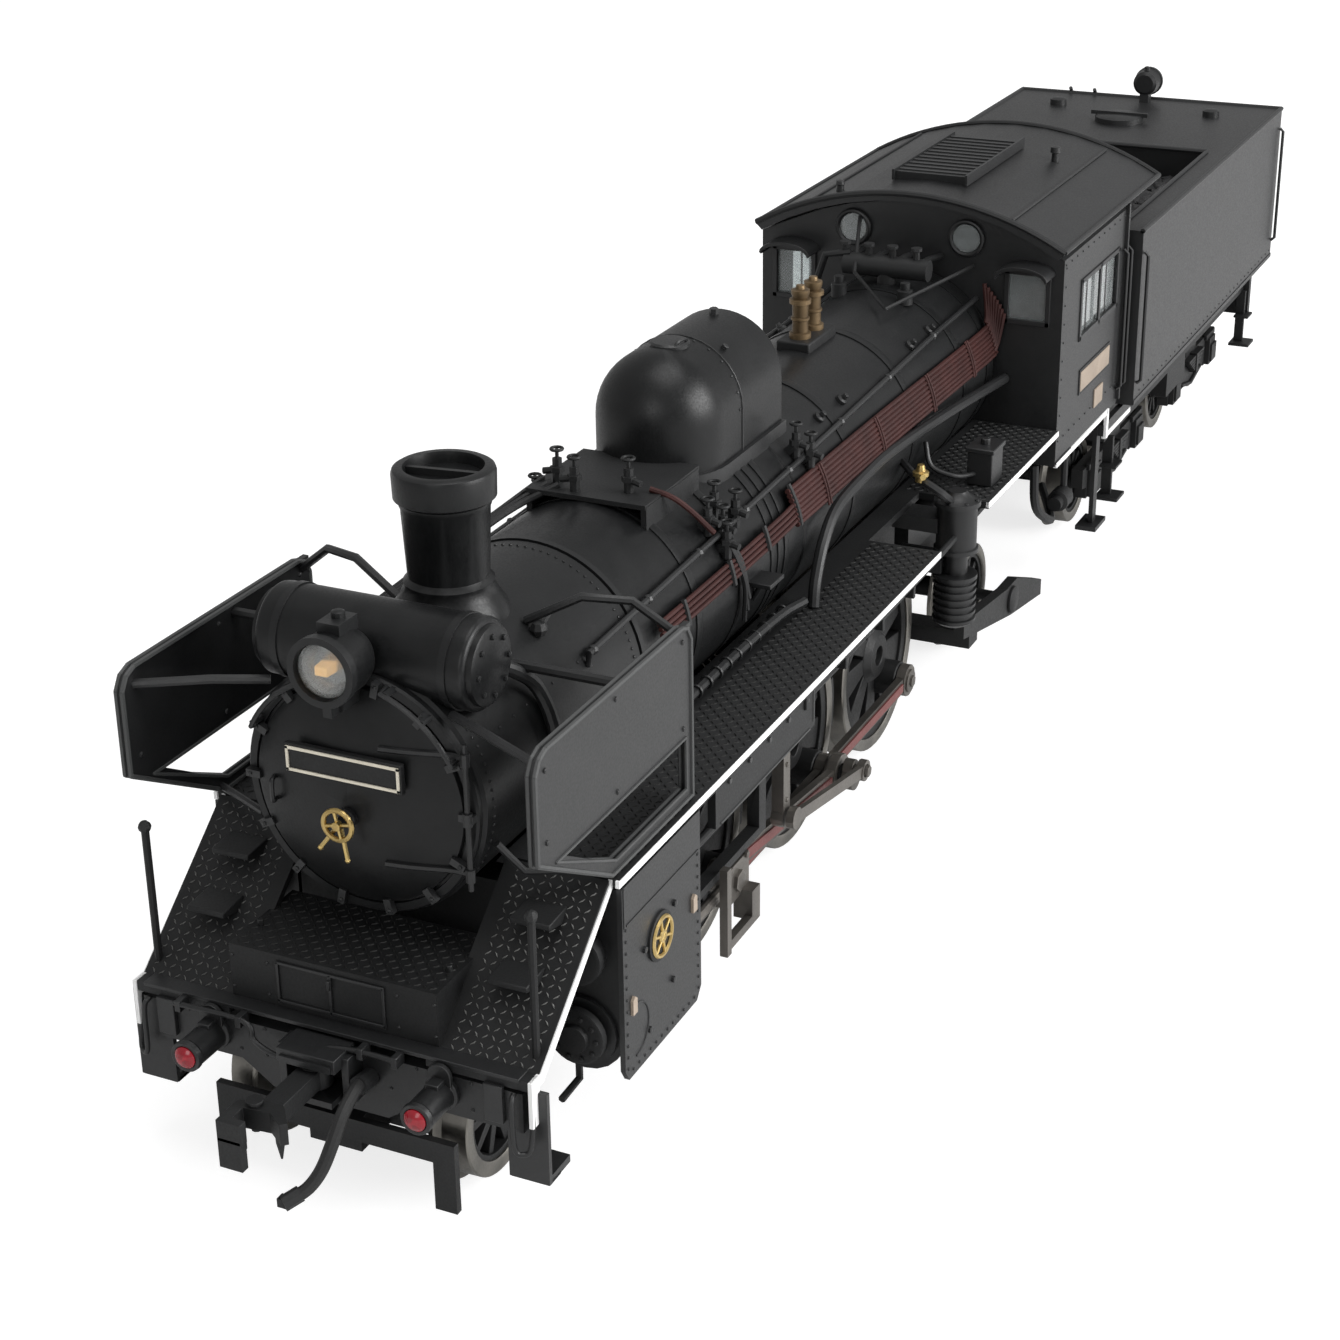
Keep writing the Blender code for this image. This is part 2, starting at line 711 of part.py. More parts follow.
def bar(a, b, side, y, thickness, height):
    """Flat bar between two (x, z) points, in one layer of the gear, thinner than its ends."""
    start, end = Vector(a), Vector(b)
    across = Vector((start.y - end.y, end.x - start.x)).normalized() * (height / 2)
    outline = [start + across, start - across, end - across, end + across]
    inner, outer = y + FLUTE, y + thickness - FLUTE
    return plate([tuple(p) for p in outline], "XZ", side * inner, side * outer)


def make_side_rod(word, side):
    dx, dz = crank(side)
    z = DRIVER_Z + dz
    places = [x + dx for x in DRIVER_X]
    solid = bar((places[0], z), (places[2], z), side, SIDE_ROD_Y, ROD_THICKNESS, SIDE_ROD_HEIGHT)
    for x in places:
        solid = fuse(solid, eye(x, z, side, SIDE_ROD_Y, ROD_THICKNESS, SIDE_ROD_EYE))
    for x in places:
        solid = cut(solid, eye_hole(x, z, side, SIDE_ROD_Y, ROD_THICKNESS, CRANK_PIN_RADIUS))
    finish(solid, f"side_rod_{word}", "rod_steel", (MAIN_AXLE_X + dx, side * SIDE_ROD_Y, z))


def wrist_x(side):
    """Place of the crosshead pin along the slide at rest."""
    dx, dz = crank(side)
    return MAIN_AXLE_X + dx + math.sqrt(MAIN_ROD_LENGTH ** 2 - dz ** 2)


def make_main_rod(word, side):
    dx, dz = crank(side)
    big = (MAIN_AXLE_X + dx, DRIVER_Z + dz)
    small = (wrist_x(side), DRIVER_Z)
    solid = bar(big, small, side, MAIN_ROD_Y, ROD_THICKNESS, MAIN_ROD_HEIGHT)
    solid = fuse(solid,
                 eye(*big, side, MAIN_ROD_Y, ROD_THICKNESS, BIG_END_RADIUS),
                 eye(*small, side, MAIN_ROD_Y, ROD_THICKNESS, SMALL_END_RADIUS))
    solid = cut(solid,
                eye_hole(*big, side, MAIN_ROD_Y, ROD_THICKNESS, CRANK_PIN_RADIUS),
                eye_hole(*small, side, MAIN_ROD_Y, ROD_THICKNESS, TRUNNION_RADIUS))
    finish(solid, f"main_rod_{word}", "rod_steel", (big[0], side * MAIN_ROD_Y, big[1]))


def make_eccentric_rod(word, side):
    rx, rz = return_crank(side)
    back = (MAIN_AXLE_X + rx, DRIVER_Z + rz)
    front = (LINK_FOOT_X, LINK_FOOT_Z)
    y, thickness = ECCENTRIC_Y, BRACKET_THICKNESS
    solid = bar(back, front, side, y, thickness, ECCENTRIC_ROD_HEIGHT)
    solid = fuse(solid, eye(*back, side, y, thickness, ECCENTRIC_EYE),
                 eye(*front, side, y, thickness, ECCENTRIC_EYE))
    solid = cut(solid, eye_hole(*back, side, y, thickness, ECCENTRIC_PIN_RADIUS))
    finish(solid, f"eccentric_rod_{word}", "rod_steel", (back[0], side * y, back[1]))


def make_expansion_link(word, side):
    half = LINK_WIDTH / 2
    solid = side_box(side, (LINK_FOOT_X - half, LINK_FOOT_X + half), (OUTER_Y, OUTER_END_Y),
                     (LINK_FOOT_Z, LINK_TOP_Z))
    foot = eye(LINK_FOOT_X, LINK_FOOT_Z, side, OUTER_Y, CROSSHEAD_WIDTH, ECCENTRIC_EYE)
    solid = fuse(solid, foot, eye(LINK_FOOT_X, TRUNNION_Z, side, OUTER_Y, CROSSHEAD_WIDTH, LINK_WIDTH))
    solid = cut(solid, eye_hole(LINK_FOOT_X, TRUNNION_Z, side, OUTER_Y, CROSSHEAD_WIDTH, TRUNNION_RADIUS))
    finish(solid, f"expansion_link_{word}", "rod_steel", (LINK_FOOT_X, side * OUTER_Y, TRUNNION_Z))


def make_crosshead(word, side):
    """Crosshead with its piston rod, union link and combination lever."""
    x = wrist_x(side)
    block = side_box(side, (x - CROSSHEAD_HALF_LENGTH, x + CROSSHEAD_HALF_LENGTH), (OUTER_Y, OUTER_END_Y),
                     (CROSSHEAD_BOTTOM_Z, SLIDE_BAR_Z - GAP))
    rod_y = side * (OUTER_Y + OUTER_END_Y) / 2
    piston = cylinder((x, rod_y, DRIVER_Z), (x + PISTON_ROD_REACH, rod_y, DRIVER_Z), PISTON_ROD_RADIUS)
    arm = side_box(side, (x - CROSSHEAD_HALF_LENGTH, x - CROSSHEAD_HALF_LENGTH + UNION_HEIGHT * 2),
                   (OUTER_Y + OVERLAP, ECCENTRIC_END_Y), (UNION_Z, CROSSHEAD_BOTTOM_Z + OVERLAP))
    lever_x = x + LEVER_OFFSET_X
    union_link = side_box(side, (x - CROSSHEAD_HALF_LENGTH, lever_x), (ECCENTRIC_Y, ECCENTRIC_END_Y),
                          (UNION_Z - UNION_HEIGHT / 2, UNION_Z + UNION_HEIGHT / 2))
    lever = side_box(side, (lever_x - LEVER_WIDTH, lever_x), (ECCENTRIC_Y, ECCENTRIC_END_Y),
                     (UNION_Z - UNION_HEIGHT, LEVER_TOP_Z))
    solid = fuse(block, piston, arm, union_link, lever)
    finish(solid, f"crosshead_{word}", "rod_steel", (x, rod_y, DRIVER_Z))


def make_motion_bracket(word, side):
    """Slide bar, its hanger, the link bearing and the valve rod under the platform."""
    top = BOARD_UNDER_Z - GAP
    low = top - BRACKET_DROP
    cheek_y = (ECCENTRIC_Y, ECCENTRIC_END_Y)
    plate_solid = side_box(side, (BRACKET_REAR_X, BRACKET_FRONT_X), cheek_y, (low, top))
    trunnion = cylinder((LINK_FOOT_X, side * (ECCENTRIC_Y + OVERLAP), TRUNNION_Z),
                        (LINK_FOOT_X, side * OUTER_Y, TRUNNION_Z), TRUNNION_RADIUS)
    bar_end = CYLINDER_REAR_X - CYLINDER_COVER - GAP
    slide = side_box(side, (SLIDE_BAR_REAR_X, bar_end), (OUTER_Y, OUTER_END_Y),
                     (SLIDE_BAR_Z, SLIDE_BAR_Z + SLIDE_BAR_HEIGHT))
    hanger_front = SLIDE_BAR_REAR_X + LINK_WIDTH
    hanger = side_box(side, (SLIDE_BAR_REAR_X, hanger_front), (OUTER_Y, OUTER_END_Y),
                      (SLIDE_BAR_Z, low + LINK_WIDTH))
    tie = side_box(side, (SLIDE_BAR_REAR_X + FLUTE, hanger_front - FLUTE),
                   (OUTER_END_Y - OVERLAP, ECCENTRIC_Y + OVERLAP), (low + FLUTE, low + LINK_WIDTH - FLUTE))
    rod_y = side * (OUTER_Y + OUTER_END_Y) / 2
    valve_rod = cylinder((SLIDE_BAR_REAR_X + OVERLAP, rod_y, VALVE_CHEST_Z),
                         (CYLINDER_REAR_X - VALVE_CHEST_REACH - GAP, rod_y, VALVE_CHEST_Z), TRUNNION_RADIUS)
    solid = fuse(plate_solid, trunnion, hanger, tie, slide, valve_rod)
    finish(solid, f"motion_bracket_{word}", "black_casting")


def make_cylinder_block(word, side):
    """Cylinder, valve chest and the flat cladding plate, with a blind bore for the piston rod."""
    y = side * CYLINDER_Y
    outer = CYLINDER_Y + CYLINDER_RADIUS
    top = BOARD_UNDER_Z - GAP
    barrel = cylinder((CYLINDER_REAR_X, y, DRIVER_Z), (CYLINDER_FRONT_X, y, DRIVER_Z), CYLINDER_RADIUS,
                      ROUND_FINE)
    body = side_box(side, (CYLINDER_REAR_X, CYLINDER_FRONT_X), (SADDLE_GAP_Y, outer), (DRIVER_Z, top))
    cover = cylinder((CYLINDER_REAR_X - CYLINDER_COVER, y, DRIVER_Z),
                     (CYLINDER_FRONT_X + CYLINDER_COVER, y, DRIVER_Z), CYLINDER_COVER_RADIUS, ROUND_FINE)
    chest = cylinder((CYLINDER_REAR_X - VALVE_CHEST_REACH, y, VALVE_CHEST_Z),
                     (CYLINDER_FRONT_X + VALVE_CHEST_REACH, y, VALVE_CHEST_Z), VALVE_CHEST_RADIUS,
                     ROUND_MEDIUM)
    rod_y = side * (OUTER_Y + OUTER_END_Y) / 2
    bore = cylinder((CYLINDER_REAR_X - CYLINDER_COVER - GAP, rod_y, DRIVER_Z),
                    (PISTON_BORE_END_X, rod_y, DRIVER_Z), PISTON_ROD_RADIUS + PIN_GAP)
    solid = cut(fuse(barrel, body, cover, chest), bore)
    finish(solid, f"cylinder_block_{word}", "black_paint")


def make_main_frame():
    """Trough frame with axle slots, smokebox saddle, front and rear spines and truck pivots."""
    front = CYLINDER_REAR_X + OVERLAP
    trough = box((FRAME_REAR_X, front), (-FRAME_HALF_WIDTH, FRAME_HALF_WIDTH),
                 (FRAME_BOTTOM_Z, FRAME_TOP_Z))
    inner = FRAME_HALF_WIDTH - FRAME_WALL
    pocket = box((FRAME_REAR_X + FRAME_WALL, CYLINDER_REAR_X - FRAME_WALL), (-inner, inner),
                 (FRAME_BOTTOM_Z + FRAME_FLOOR, FRAME_TOP_Z + GAP))
    solid = cut(trough, pocket)
    for x in DRIVER_X:
        half = AXLE_RADIUS + GAP
        solid = cut(solid, box((x - half, x + half), (-WHEEL_BACK, WHEEL_BACK),
                               (FRAME_BOTTOM_Z - GAP, DRIVER_Z + half)))
    half = GEAR_RADIUS + TOOTH_HEIGHT + GAP
    solid = cut(solid, box((MAIN_AXLE_X - half, MAIN_AXLE_X + half), (-GEAR_WIDTH, GEAR_WIDTH),
                           (FRAME_BOTTOM_Z - GAP, FRAME_BOTTOM_Z + FRAME_FLOOR + GAP)))
    saddle_half = SADDLE_GAP_Y - GAP
    saddle = box((CYLINDER_REAR_X, CYLINDER_FRONT_X), (-saddle_half, saddle_half),
                 (SADDLE_BOTTOM_Z, BOILER_Z - BOILER_RADIUS * SADDLE_REACH))
    saddle = cut(saddle, boiler_space(SMOKEBOX_FRONT_X, DOME_REAR_X))
    front_spine = box((CYLINDER_FRONT_X - OVERLAP, BEAM_X - BEAM_THICKNESS - GAP),
                      (-FRONT_SPINE_HALF, FRONT_SPINE_HALF),
                      (FRONT_SPINE_BOTTOM_Z, DECK_Z - SLOPE_THICKNESS - GAP))
    rear_spine = box((REAR_SPINE_END_X, FRAME_REAR_X + OVERLAP), (-REAR_SPINE_HALF, REAR_SPINE_HALF),
                     (REAR_SPINE_Z, REAR_SPINE_Z + REAR_SPINE_HEIGHT))
    pony_pin = cylinder((PONY_PIVOT_X + PIVOT_RADIUS * 2, 0, PONY_ARM_Z),
                        (PONY_PIVOT_X + PIVOT_RADIUS * 2, 0, SADDLE_BOTTOM_Z + OVERLAP), PIVOT_RADIUS)
    trailing_pin = cylinder((TRAILING_PIVOT_X, 0, TRAILING_CROSS_Z),
                            (TRAILING_PIVOT_X, 0, REAR_SPINE_Z + OVERLAP),
                            PIVOT_RADIUS)
    draw_pin = cylinder((DRAW_PIN_X, 0, DRAWBAR_Z), (DRAW_PIN_X, 0, REAR_SPINE_Z + OVERLAP),
                        DRAW_PIN_RADIUS)
    stand_top = MOTOR_AXIS_Z - MOTOR_HALF_HEIGHT - GAP
    stand = box((MOTOR_FRONT_X - MOTOR_LENGTH, MAIN_AXLE_X - DRIVER_SPACING - AXLE_RADIUS * 2),
                (-inner - OVERLAP, inner + OVERLAP), (FRAME_BOTTOM_Z, stand_top))
    bearing_x = MAIN_AXLE_X + WORM_PITCH * WORM_TURNS / 2 + GAP
    pedestal = box((bearing_x + GAP, bearing_x + BEARING_LENGTH), (-inner - OVERLAP, inner + OVERLAP),
                   (FRAME_BOTTOM_Z, MOTOR_AXIS_Z + BEARING_RADIUS))
    shaft_hole = cylinder((bearing_x - GAP, 0, MOTOR_AXIS_Z),
                          (bearing_x + BEARING_LENGTH + GAP, 0, MOTOR_AXIS_Z),
                          SHAFT_RADIUS + PIN_GAP)
    pedestal = cut(pedestal, shaft_hole)
    solid = fuse(solid, saddle, front_spine, rear_spine, pony_pin, trailing_pin, draw_pin, stand, pedestal)
    finish(solid, "main_frame", "black_casting")


def make_keeper_plate():
    margin = AXLE_RADIUS * 3
    solid = box((DRIVER_X[2] - margin, DRIVER_X[0] + margin), (-FRAME_HALF_WIDTH, FRAME_HALF_WIDTH),
                (FRAME_BOTTOM_Z - GAP - KEEPER_THICKNESS, FRAME_BOTTOM_Z - GAP))
    half = GEAR_RADIUS + TOOTH_HEIGHT + GAP
    slot = box((MAIN_AXLE_X - half, MAIN_AXLE_X + half), (-GEAR_WIDTH, GEAR_WIDTH),
               (0, FRAME_BOTTOM_Z))
    finish(cut(solid, slot), "keeper_plate", "black_casting")


def make_drive_gear():
    """Worm wheel on the main axle."""
    root = GEAR_RADIUS - TOOTH_HEIGHT
    outline = []
    for i in range(GEAR_TEETH):
        middle = math.tau * (i + 0.5) / GEAR_TEETH + math.pi / 2
        half_root = TOOTH_THICKNESS * 0.7 / root
        half_tip = TOOTH_THICKNESS * 0.4 / (GEAR_RADIUS + TOOTH_HEIGHT)
        for radius, angle in ((root, middle - half_root), (GEAR_RADIUS + TOOTH_HEIGHT, middle - half_tip),
                              (GEAR_RADIUS + TOOTH_HEIGHT, middle + half_tip), (root, middle + half_root)):
            outline.append((MAIN_AXLE_X + radius * math.cos(angle), DRIVER_Z + radius * math.sin(angle)))
    solid = plate(outline, "XZ", -GEAR_WIDTH / 2, GEAR_WIDTH / 2)
    bore = cylinder((MAIN_AXLE_X, -GEAR_WIDTH, DRIVER_Z), (MAIN_AXLE_X, GEAR_WIDTH, DRIVER_Z),
                    AXLE_RADIUS + PIN_GAP, ROUND_MEDIUM)
    finish(cut(solid, bore), "drive_gear", "brass", (MAIN_AXLE_X, 0, DRIVER_Z))


def make_motor():
    rear = MOTOR_FRONT_X - MOTOR_LENGTH
    can = box((rear, MOTOR_FRONT_X), (-MOTOR_HALF_WIDTH, MOTOR_HALF_WIDTH),
              (MOTOR_AXIS_Z - MOTOR_HALF_HEIGHT, MOTOR_AXIS_Z + MOTOR_HALF_HEIGHT))
    bore = cylinder((rear - GAP, 0, MOTOR_AXIS_Z), (MOTOR_FRONT_X + GAP, 0, MOTOR_AXIS_Z),
                    SHAFT_RADIUS + PIN_GAP)
    finish(cut(can, bore), "motor", "steel")


def worm_thread():
    """Right-handed thread that lies between two gear teeth where it faces the gear."""
    outer = MOTOR_AXIS_Z - DRIVER_Z - GEAR_RADIUS - THREAD_CLEARANCE
    inner = WORM_CORE_RADIUS - THREAD_CLEARANCE
    half = THREAD_THICKNESS / 2
    mesh = bpy.data.meshes.new("thread")
    corners = [(inner, 0, half), (outer, 0, half), (outer, 0, -half), (inner, 0, -half)]
    mesh.from_pydata(corners, [(0, 1), (1, 2), (2, 3), (3, 0)], [])
    piece = add_object("thread", mesh)
    screw = piece.modifiers.new("thread", "SCREW")
    screw.screw_offset = WORM_PITCH
    screw.iterations = THREAD_TURNS
    screw.steps = THREAD_STEPS
    screw.render_steps = THREAD_STEPS
    screw.merge_threshold = 1e-6
    piece.rotation_mode = "QUATERNION"
    piece.rotation_quaternion = Vector((1, 0, 0)).to_track_quat("Z", "Y")
    facing_turn = THREAD_TURNS // 2 + 0.75
    piece.location = (MAIN_AXLE_X - WORM_PITCH * facing_turn, 0, MOTOR_AXIS_Z)
    return baked(piece)


def make_motor_shaft():
    """Shaft with flywheel and worm."""
    worm_length = WORM_PITCH * WORM_TURNS
    worm_rear = MAIN_AXLE_X - worm_length / 2
    worm_front = MAIN_AXLE_X + worm_length / 2
    front = worm_front + BEARING_LENGTH + GAP * 2
    shaft = cylinder((MOTOR_FRONT_X - MOTOR_LENGTH, 0, MOTOR_AXIS_Z), (front, 0, MOTOR_AXIS_Z),
                     SHAFT_RADIUS)
    flywheel_rear = MOTOR_FRONT_X + GAP * 2
    flywheel = cylinder((flywheel_rear, 0, MOTOR_AXIS_Z),
                        (flywheel_rear + FLYWHEEL_LENGTH, 0, MOTOR_AXIS_Z),
                        FLYWHEEL_RADIUS, ROUND_FINE)
    core = cylinder((worm_rear, 0, MOTOR_AXIS_Z), (worm_front, 0, MOTOR_AXIS_Z), WORM_CORE_RADIUS)
    solid = fuse(shaft, flywheel, core)
    finish(fuse(solid, worm_thread()), "motor_shaft", "steel", (MAIN_AXLE_X, 0, MOTOR_AXIS_Z))


def make_boiler():
    """Smokebox, barrel and firebox casing, hollow and open at the cab end."""
    rear = CAB_FRONT_X + GAP
    barrel = cylinder((rear, 0, BOILER_Z), (SMOKEBOX_FRONT_X, 0, BOILER_Z), BOILER_RADIUS, BOILER_SIDES)
    firebox = box((rear, TRAILING_PIVOT_X), (-FRAME_HALF_WIDTH, FRAME_HALF_WIDTH),
                  (REAR_SPINE_Z + REAR_SPINE_HEIGHT + GAP, BOILER_Z))
    bore = cylinder((rear - GAP, 0, BOILER_Z), (BOILER_BORE_FRONT_X, 0, BOILER_Z),
                    BOILER_RADIUS - BOILER_WALL, BOILER_SIDES)
    finish(cut(fuse(barrel, firebox), bore), "boiler_shell", "black_paint")


def make_smokebox_door():
    back = SMOKEBOX_FRONT_X + GAP
    profile = [(DOOR_RIM + DOOR_BULGE * rise, DOOR_RADIUS * reach) for rise, reach in DOOR_CURVE]
    profile += [(DOOR_RIM * DOOR_EDGE, DOOR_RADIUS), (0, DOOR_RADIUS), (0, 0)]
    finish(turned(profile, (back, 0, BOILER_Z), (1, 0, 0), ROUND_DOOR), "smokebox_door", "black_paint")


def make_chimney():
    base = BOILER_Z
    rim_low = CHIMNEY_TOP_Z - CHIMNEY_RIM_HEIGHT
    profile = [(CHIMNEY_TOP_Z - CHIMNEY_BORE_DEPTH, 0),
               (CHIMNEY_TOP_Z - CHIMNEY_BORE_DEPTH, CHIMNEY_BORE_RADIUS),
               (CHIMNEY_TOP_Z, CHIMNEY_BORE_RADIUS), (CHIMNEY_TOP_Z, CHIMNEY_RIM_RADIUS),
               (rim_low, CHIMNEY_RIM_RADIUS), (rim_low, CHIMNEY_BODY_RADIUS),
               (CHIMNEY_FLARE_Z, CHIMNEY_BODY_RADIUS), (BOILER_TOP_Z, CHIMNEY_BASE_RADIUS),
               (base, CHIMNEY_BASE_RADIUS), (base, 0)]
    solid = turned(profile, (CHIMNEY_X, 0, 0), (0, 0, 1), ROUND_LARGE)
    finish(cut(solid, boiler_space(SMOKEBOX_FRONT_X, DOME_REAR_X)), "chimney", "black_paint")


def make_feedwater_heater():
    """Round heater across the smokebox top, with bolted ends."""
    ends = HEATER_HALF_LENGTH - HEATER_FLANGE
    profile = [(HEATER_HALF_LENGTH, 0), (HEATER_HALF_LENGTH, HEATER_FLANGE_RADIUS),
               (ends, HEATER_FLANGE_RADIUS),
               (ends, HEATER_RADIUS)]
    whole = profile + [(-place, radius) for place, radius in reversed(profile)]
    solid = turned(whole, (HEATER_X, 0, HEATER_Z), (0, 1, 0), ROUND_FINE)
    space = boiler_space(SMOKEBOX_FRONT_X + GAP, DOME_REAR_X)
    chimney_space = cylinder((CHIMNEY_X, 0, BOILER_Z), (CHIMNEY_X, 0, CHIMNEY_TOP_Z),
                             CHIMNEY_BASE_RADIUS + GAP, ROUND_FINE)
    finish(cut(solid, space, chimney_space), "feedwater_heater", "black_paint")


def make_headlight():
    back = HEATER_X + HEATER_RADIUS + GAP
    front = back + HEADLIGHT_LENGTH
    seat = front - LENS_DEPTH
    profile = [(front, LENS_RADIUS), (front, HEADLIGHT_RADIUS), (back + LENS_DEPTH, HEADLIGHT_RADIUS),
               (back, HEADLIGHT_RADIUS * 0.7), (back, 0)]
    inside = [(seat, 0), (seat, LENS_RADIUS)]
    finish(turned(inside + profile, (0, 0, HEADLIGHT_Z), (1, 0, 0), ROUND_FINE), "headlight_housing",
           "black_paint")
    radius = LENS_RADIUS - GAP / 2
    lens = [(front, 0), (front - LENS_DEPTH * 0.2, radius * 0.7), (front - LENS_DEPTH * 0.4, radius),
            (seat + GAP / 2, radius), (seat + GAP / 2, 0)]
    finish(turned(lens, (0, 0, HEADLIGHT_Z), (1, 0, 0), ROUND_MEDIUM), "headlight_lens", "clear")


def make_dome():
    """Long dome casing with a rounded nose and crown."""
    crown_z = DOME_TOP_Z - DOME_HALF_WIDTH
    nose_x = DOME_FRONT_X - DOME_HALF_WIDTH
    nose = arc((nose_x, 0), DOME_HALF_WIDTH, 0, 90, 6)
    profile = nose + [(DOME_REAR_X, DOME_HALF_WIDTH), (DOME_REAR_X, 0)]
    crown = turned(profile, (0, 0, crown_z), (1, 0, 0), ROUND_LARGE)
    half = DOME_HALF_WIDTH - FLUTE
    outline = arc((nose_x, 0), half, -90, 90, ROUND)
    outline += [(DOME_REAR_X + FLUTE, half), (DOME_REAR_X + FLUTE, -half)]
    walls = plate(outline, "XY", BOILER_Z, crown_z)
    solid = fuse(crown, walls)
    finish(cut(solid, boiler_space(SMOKEBOX_FRONT_X, CAB_FRONT_X)), "steam_dome", "black_paint")


def make_safety_valves():
    """Two valves on a shared seat."""
    rear = VALVE_X - VALVE_SPACING
    seat = box((rear - VALVE_BASE_HALF, VALVE_X + VALVE_BASE_HALF), (-VALVE_BASE_HALF, VALVE_BASE_HALF),
               (BOILER_Z, VALVE_BASE_Z))
    solid = cut(seat, boiler_space(SMOKEBOX_FRONT_X, CAB_FRONT_X))
    for x in (VALVE_X, rear):
        collar = (VALVE_TOP_Z + VALVE_BASE_Z) / 2
        profile = [(VALVE_TOP_Z, 0), (VALVE_TOP_Z, VALVE_CAP_RADIUS), (collar, VALVE_CAP_RADIUS),
                   (collar, VALVE_RADIUS), (VALVE_BASE_Z - OVERLAP, VALVE_RADIUS),
                   (VALVE_BASE_Z - OVERLAP, 0)]
        solid = fuse(solid, turned(profile, (x, 0, 0), (0, 0, 1), ROUND))
    finish(solid, "safety_valves", "brass")


def make_running_board(word, side):
    """Platform beside the boiler, with a gap in its outer half for the pump."""
    rear = CAB_FRONT_X + GAP
    solid = side_box(side, (rear, BOARD_FRONT_X - GAP), (0, BOARD_HALF_WIDTH), (BOARD_UNDER_Z, BOARD_Z))
    notch = side_box(side, (BOARD_GAP_REAR_X, BOARD_GAP_FRONT_X), (BOARD_STRIP_Y, BOARD_HALF_WIDTH + GAP),
                     (BOARD_UNDER_Z - GAP, BOARD_Z + GAP))
    firebox_half = FRAME_HALF_WIDTH + GAP
    space = box((rear - GAP, TRAILING_PIVOT_X + GAP), (-firebox_half, firebox_half),
                (BOARD_UNDER_Z - GAP, BOARD_Z + GAP))
    solid = cut(solid, notch, boiler_space(SMOKEBOX_FRONT_X + GAP, CAB_FRONT_X - GAP), space)
    finish(solid, f"running_board_{word}", "black_casting")


def make_front_deck():
    """Centre box, sloping side platforms and marker poles above the buffer beam."""
    front = BEAM_X - BEAM_THICKNESS
    low = DECK_Z - SLOPE_THICKNESS
    solid = box((BOX_REAR_X, front), (-BOX_HALF_WIDTH, BOX_HALF_WIDTH), (low, BOX_TOP_Z))
    slope = [(BEAM_X, low), (BEAM_X, DECK_Z), (front, DECK_Z), (BOARD_FRONT_X, BOARD_Z),
             (BOARD_FRONT_X, BOARD_UNDER_Z), (front, low)]
    for side in (LEFT, RIGHT):
        solid = fuse(solid, plate(slope, "XZ", side * (BOX_HALF_WIDTH - OVERLAP), side * DECK_HALF_WIDTH))
        pole = cylinder((POLE_X, side * POLE_Y, DECK_Z), (POLE_X, side * POLE_Y, POLE_TOP_Z), POLE_RADIUS,
                        ROUND_SMALL)
        solid = fuse(solid, pole, ball((POLE_X, side * POLE_Y, POLE_TOP_Z), POLE_BALL_RADIUS, ROUND_SMALL))
    finish(solid, "front_deck", "black_casting")


def make_buffer_beam():
    """Beam with apron, lamps, coupler pocket and footsteps."""
    back = BEAM_X - BEAM_THICKNESS
    top = DECK_Z - SLOPE_THICKNESS - GAP
    beam = box((back, BEAM_X), (-BEAM_HALF_WIDTH, BEAM_HALF_WIDTH), (BEAM_BOTTOM_Z, top))
    apron = plate([(-APRON_HALF_WIDTH, BEAM_BOTTOM_Z + OVERLAP),
                   (-APRON_HALF_WIDTH * APRON_TAPER, APRON_BOTTOM_Z),
                   (APRON_HALF_WIDTH * APRON_TAPER, APRON_BOTTOM_Z),
                   (APRON_HALF_WIDTH, BEAM_BOTTOM_Z + OVERLAP)],
                  "YZ", back, BEAM_X)
    solid = fuse(beam, apron)
    pivot_x = BEAM_X + POCKET_REACH / 2
    half = COUPLER_HEIGHT / 2 + GAP
    for low in (COUPLER_Z - half - POCKET_PLATE, COUPLER_Z + half):
        solid = fuse(solid, box((BEAM_X - OVERLAP, BEAM_X + POCKET_REACH),
                                (-POCKET_HALF_WIDTH, POCKET_HALF_WIDTH),
                                (low, low + POCKET_PLATE)))
    pin = cylinder((pivot_x, 0, COUPLER_Z - half - OVERLAP), (pivot_x, 0, COUPLER_Z + half + OVERLAP),
                   COUPLER_PIN_RADIUS)
    solid = fuse(solid, pin)
    for side in (LEFT, RIGHT):
        lamp = cylinder((BEAM_X - OVERLAP, side * LAMP_Y, LAMP_Z),
                        (BEAM_X + LAMP_REACH, side * LAMP_Y, LAMP_Z), LAMP_RADIUS)
        inner, outer = STEP_Y - STEP_HALF_WIDTH, STEP_Y + STEP_HALF_WIDTH
        hanger = side_box(side, (back + FLUTE, back + STEP_PLATE), (inner, outer), (STEP_Z, top - FLUTE))
        tread = side_box(side, (back - STEP_LENGTH, back + STEP_PLATE - FLUTE),
                         (inner + FLUTE, outer - FLUTE), (STEP_Z - FLUTE, STEP_Z + STEP_PLATE))
        solid = fuse(solid, lamp, hanger, tread)
    finish(solid, "buffer_beam", "black_paint")


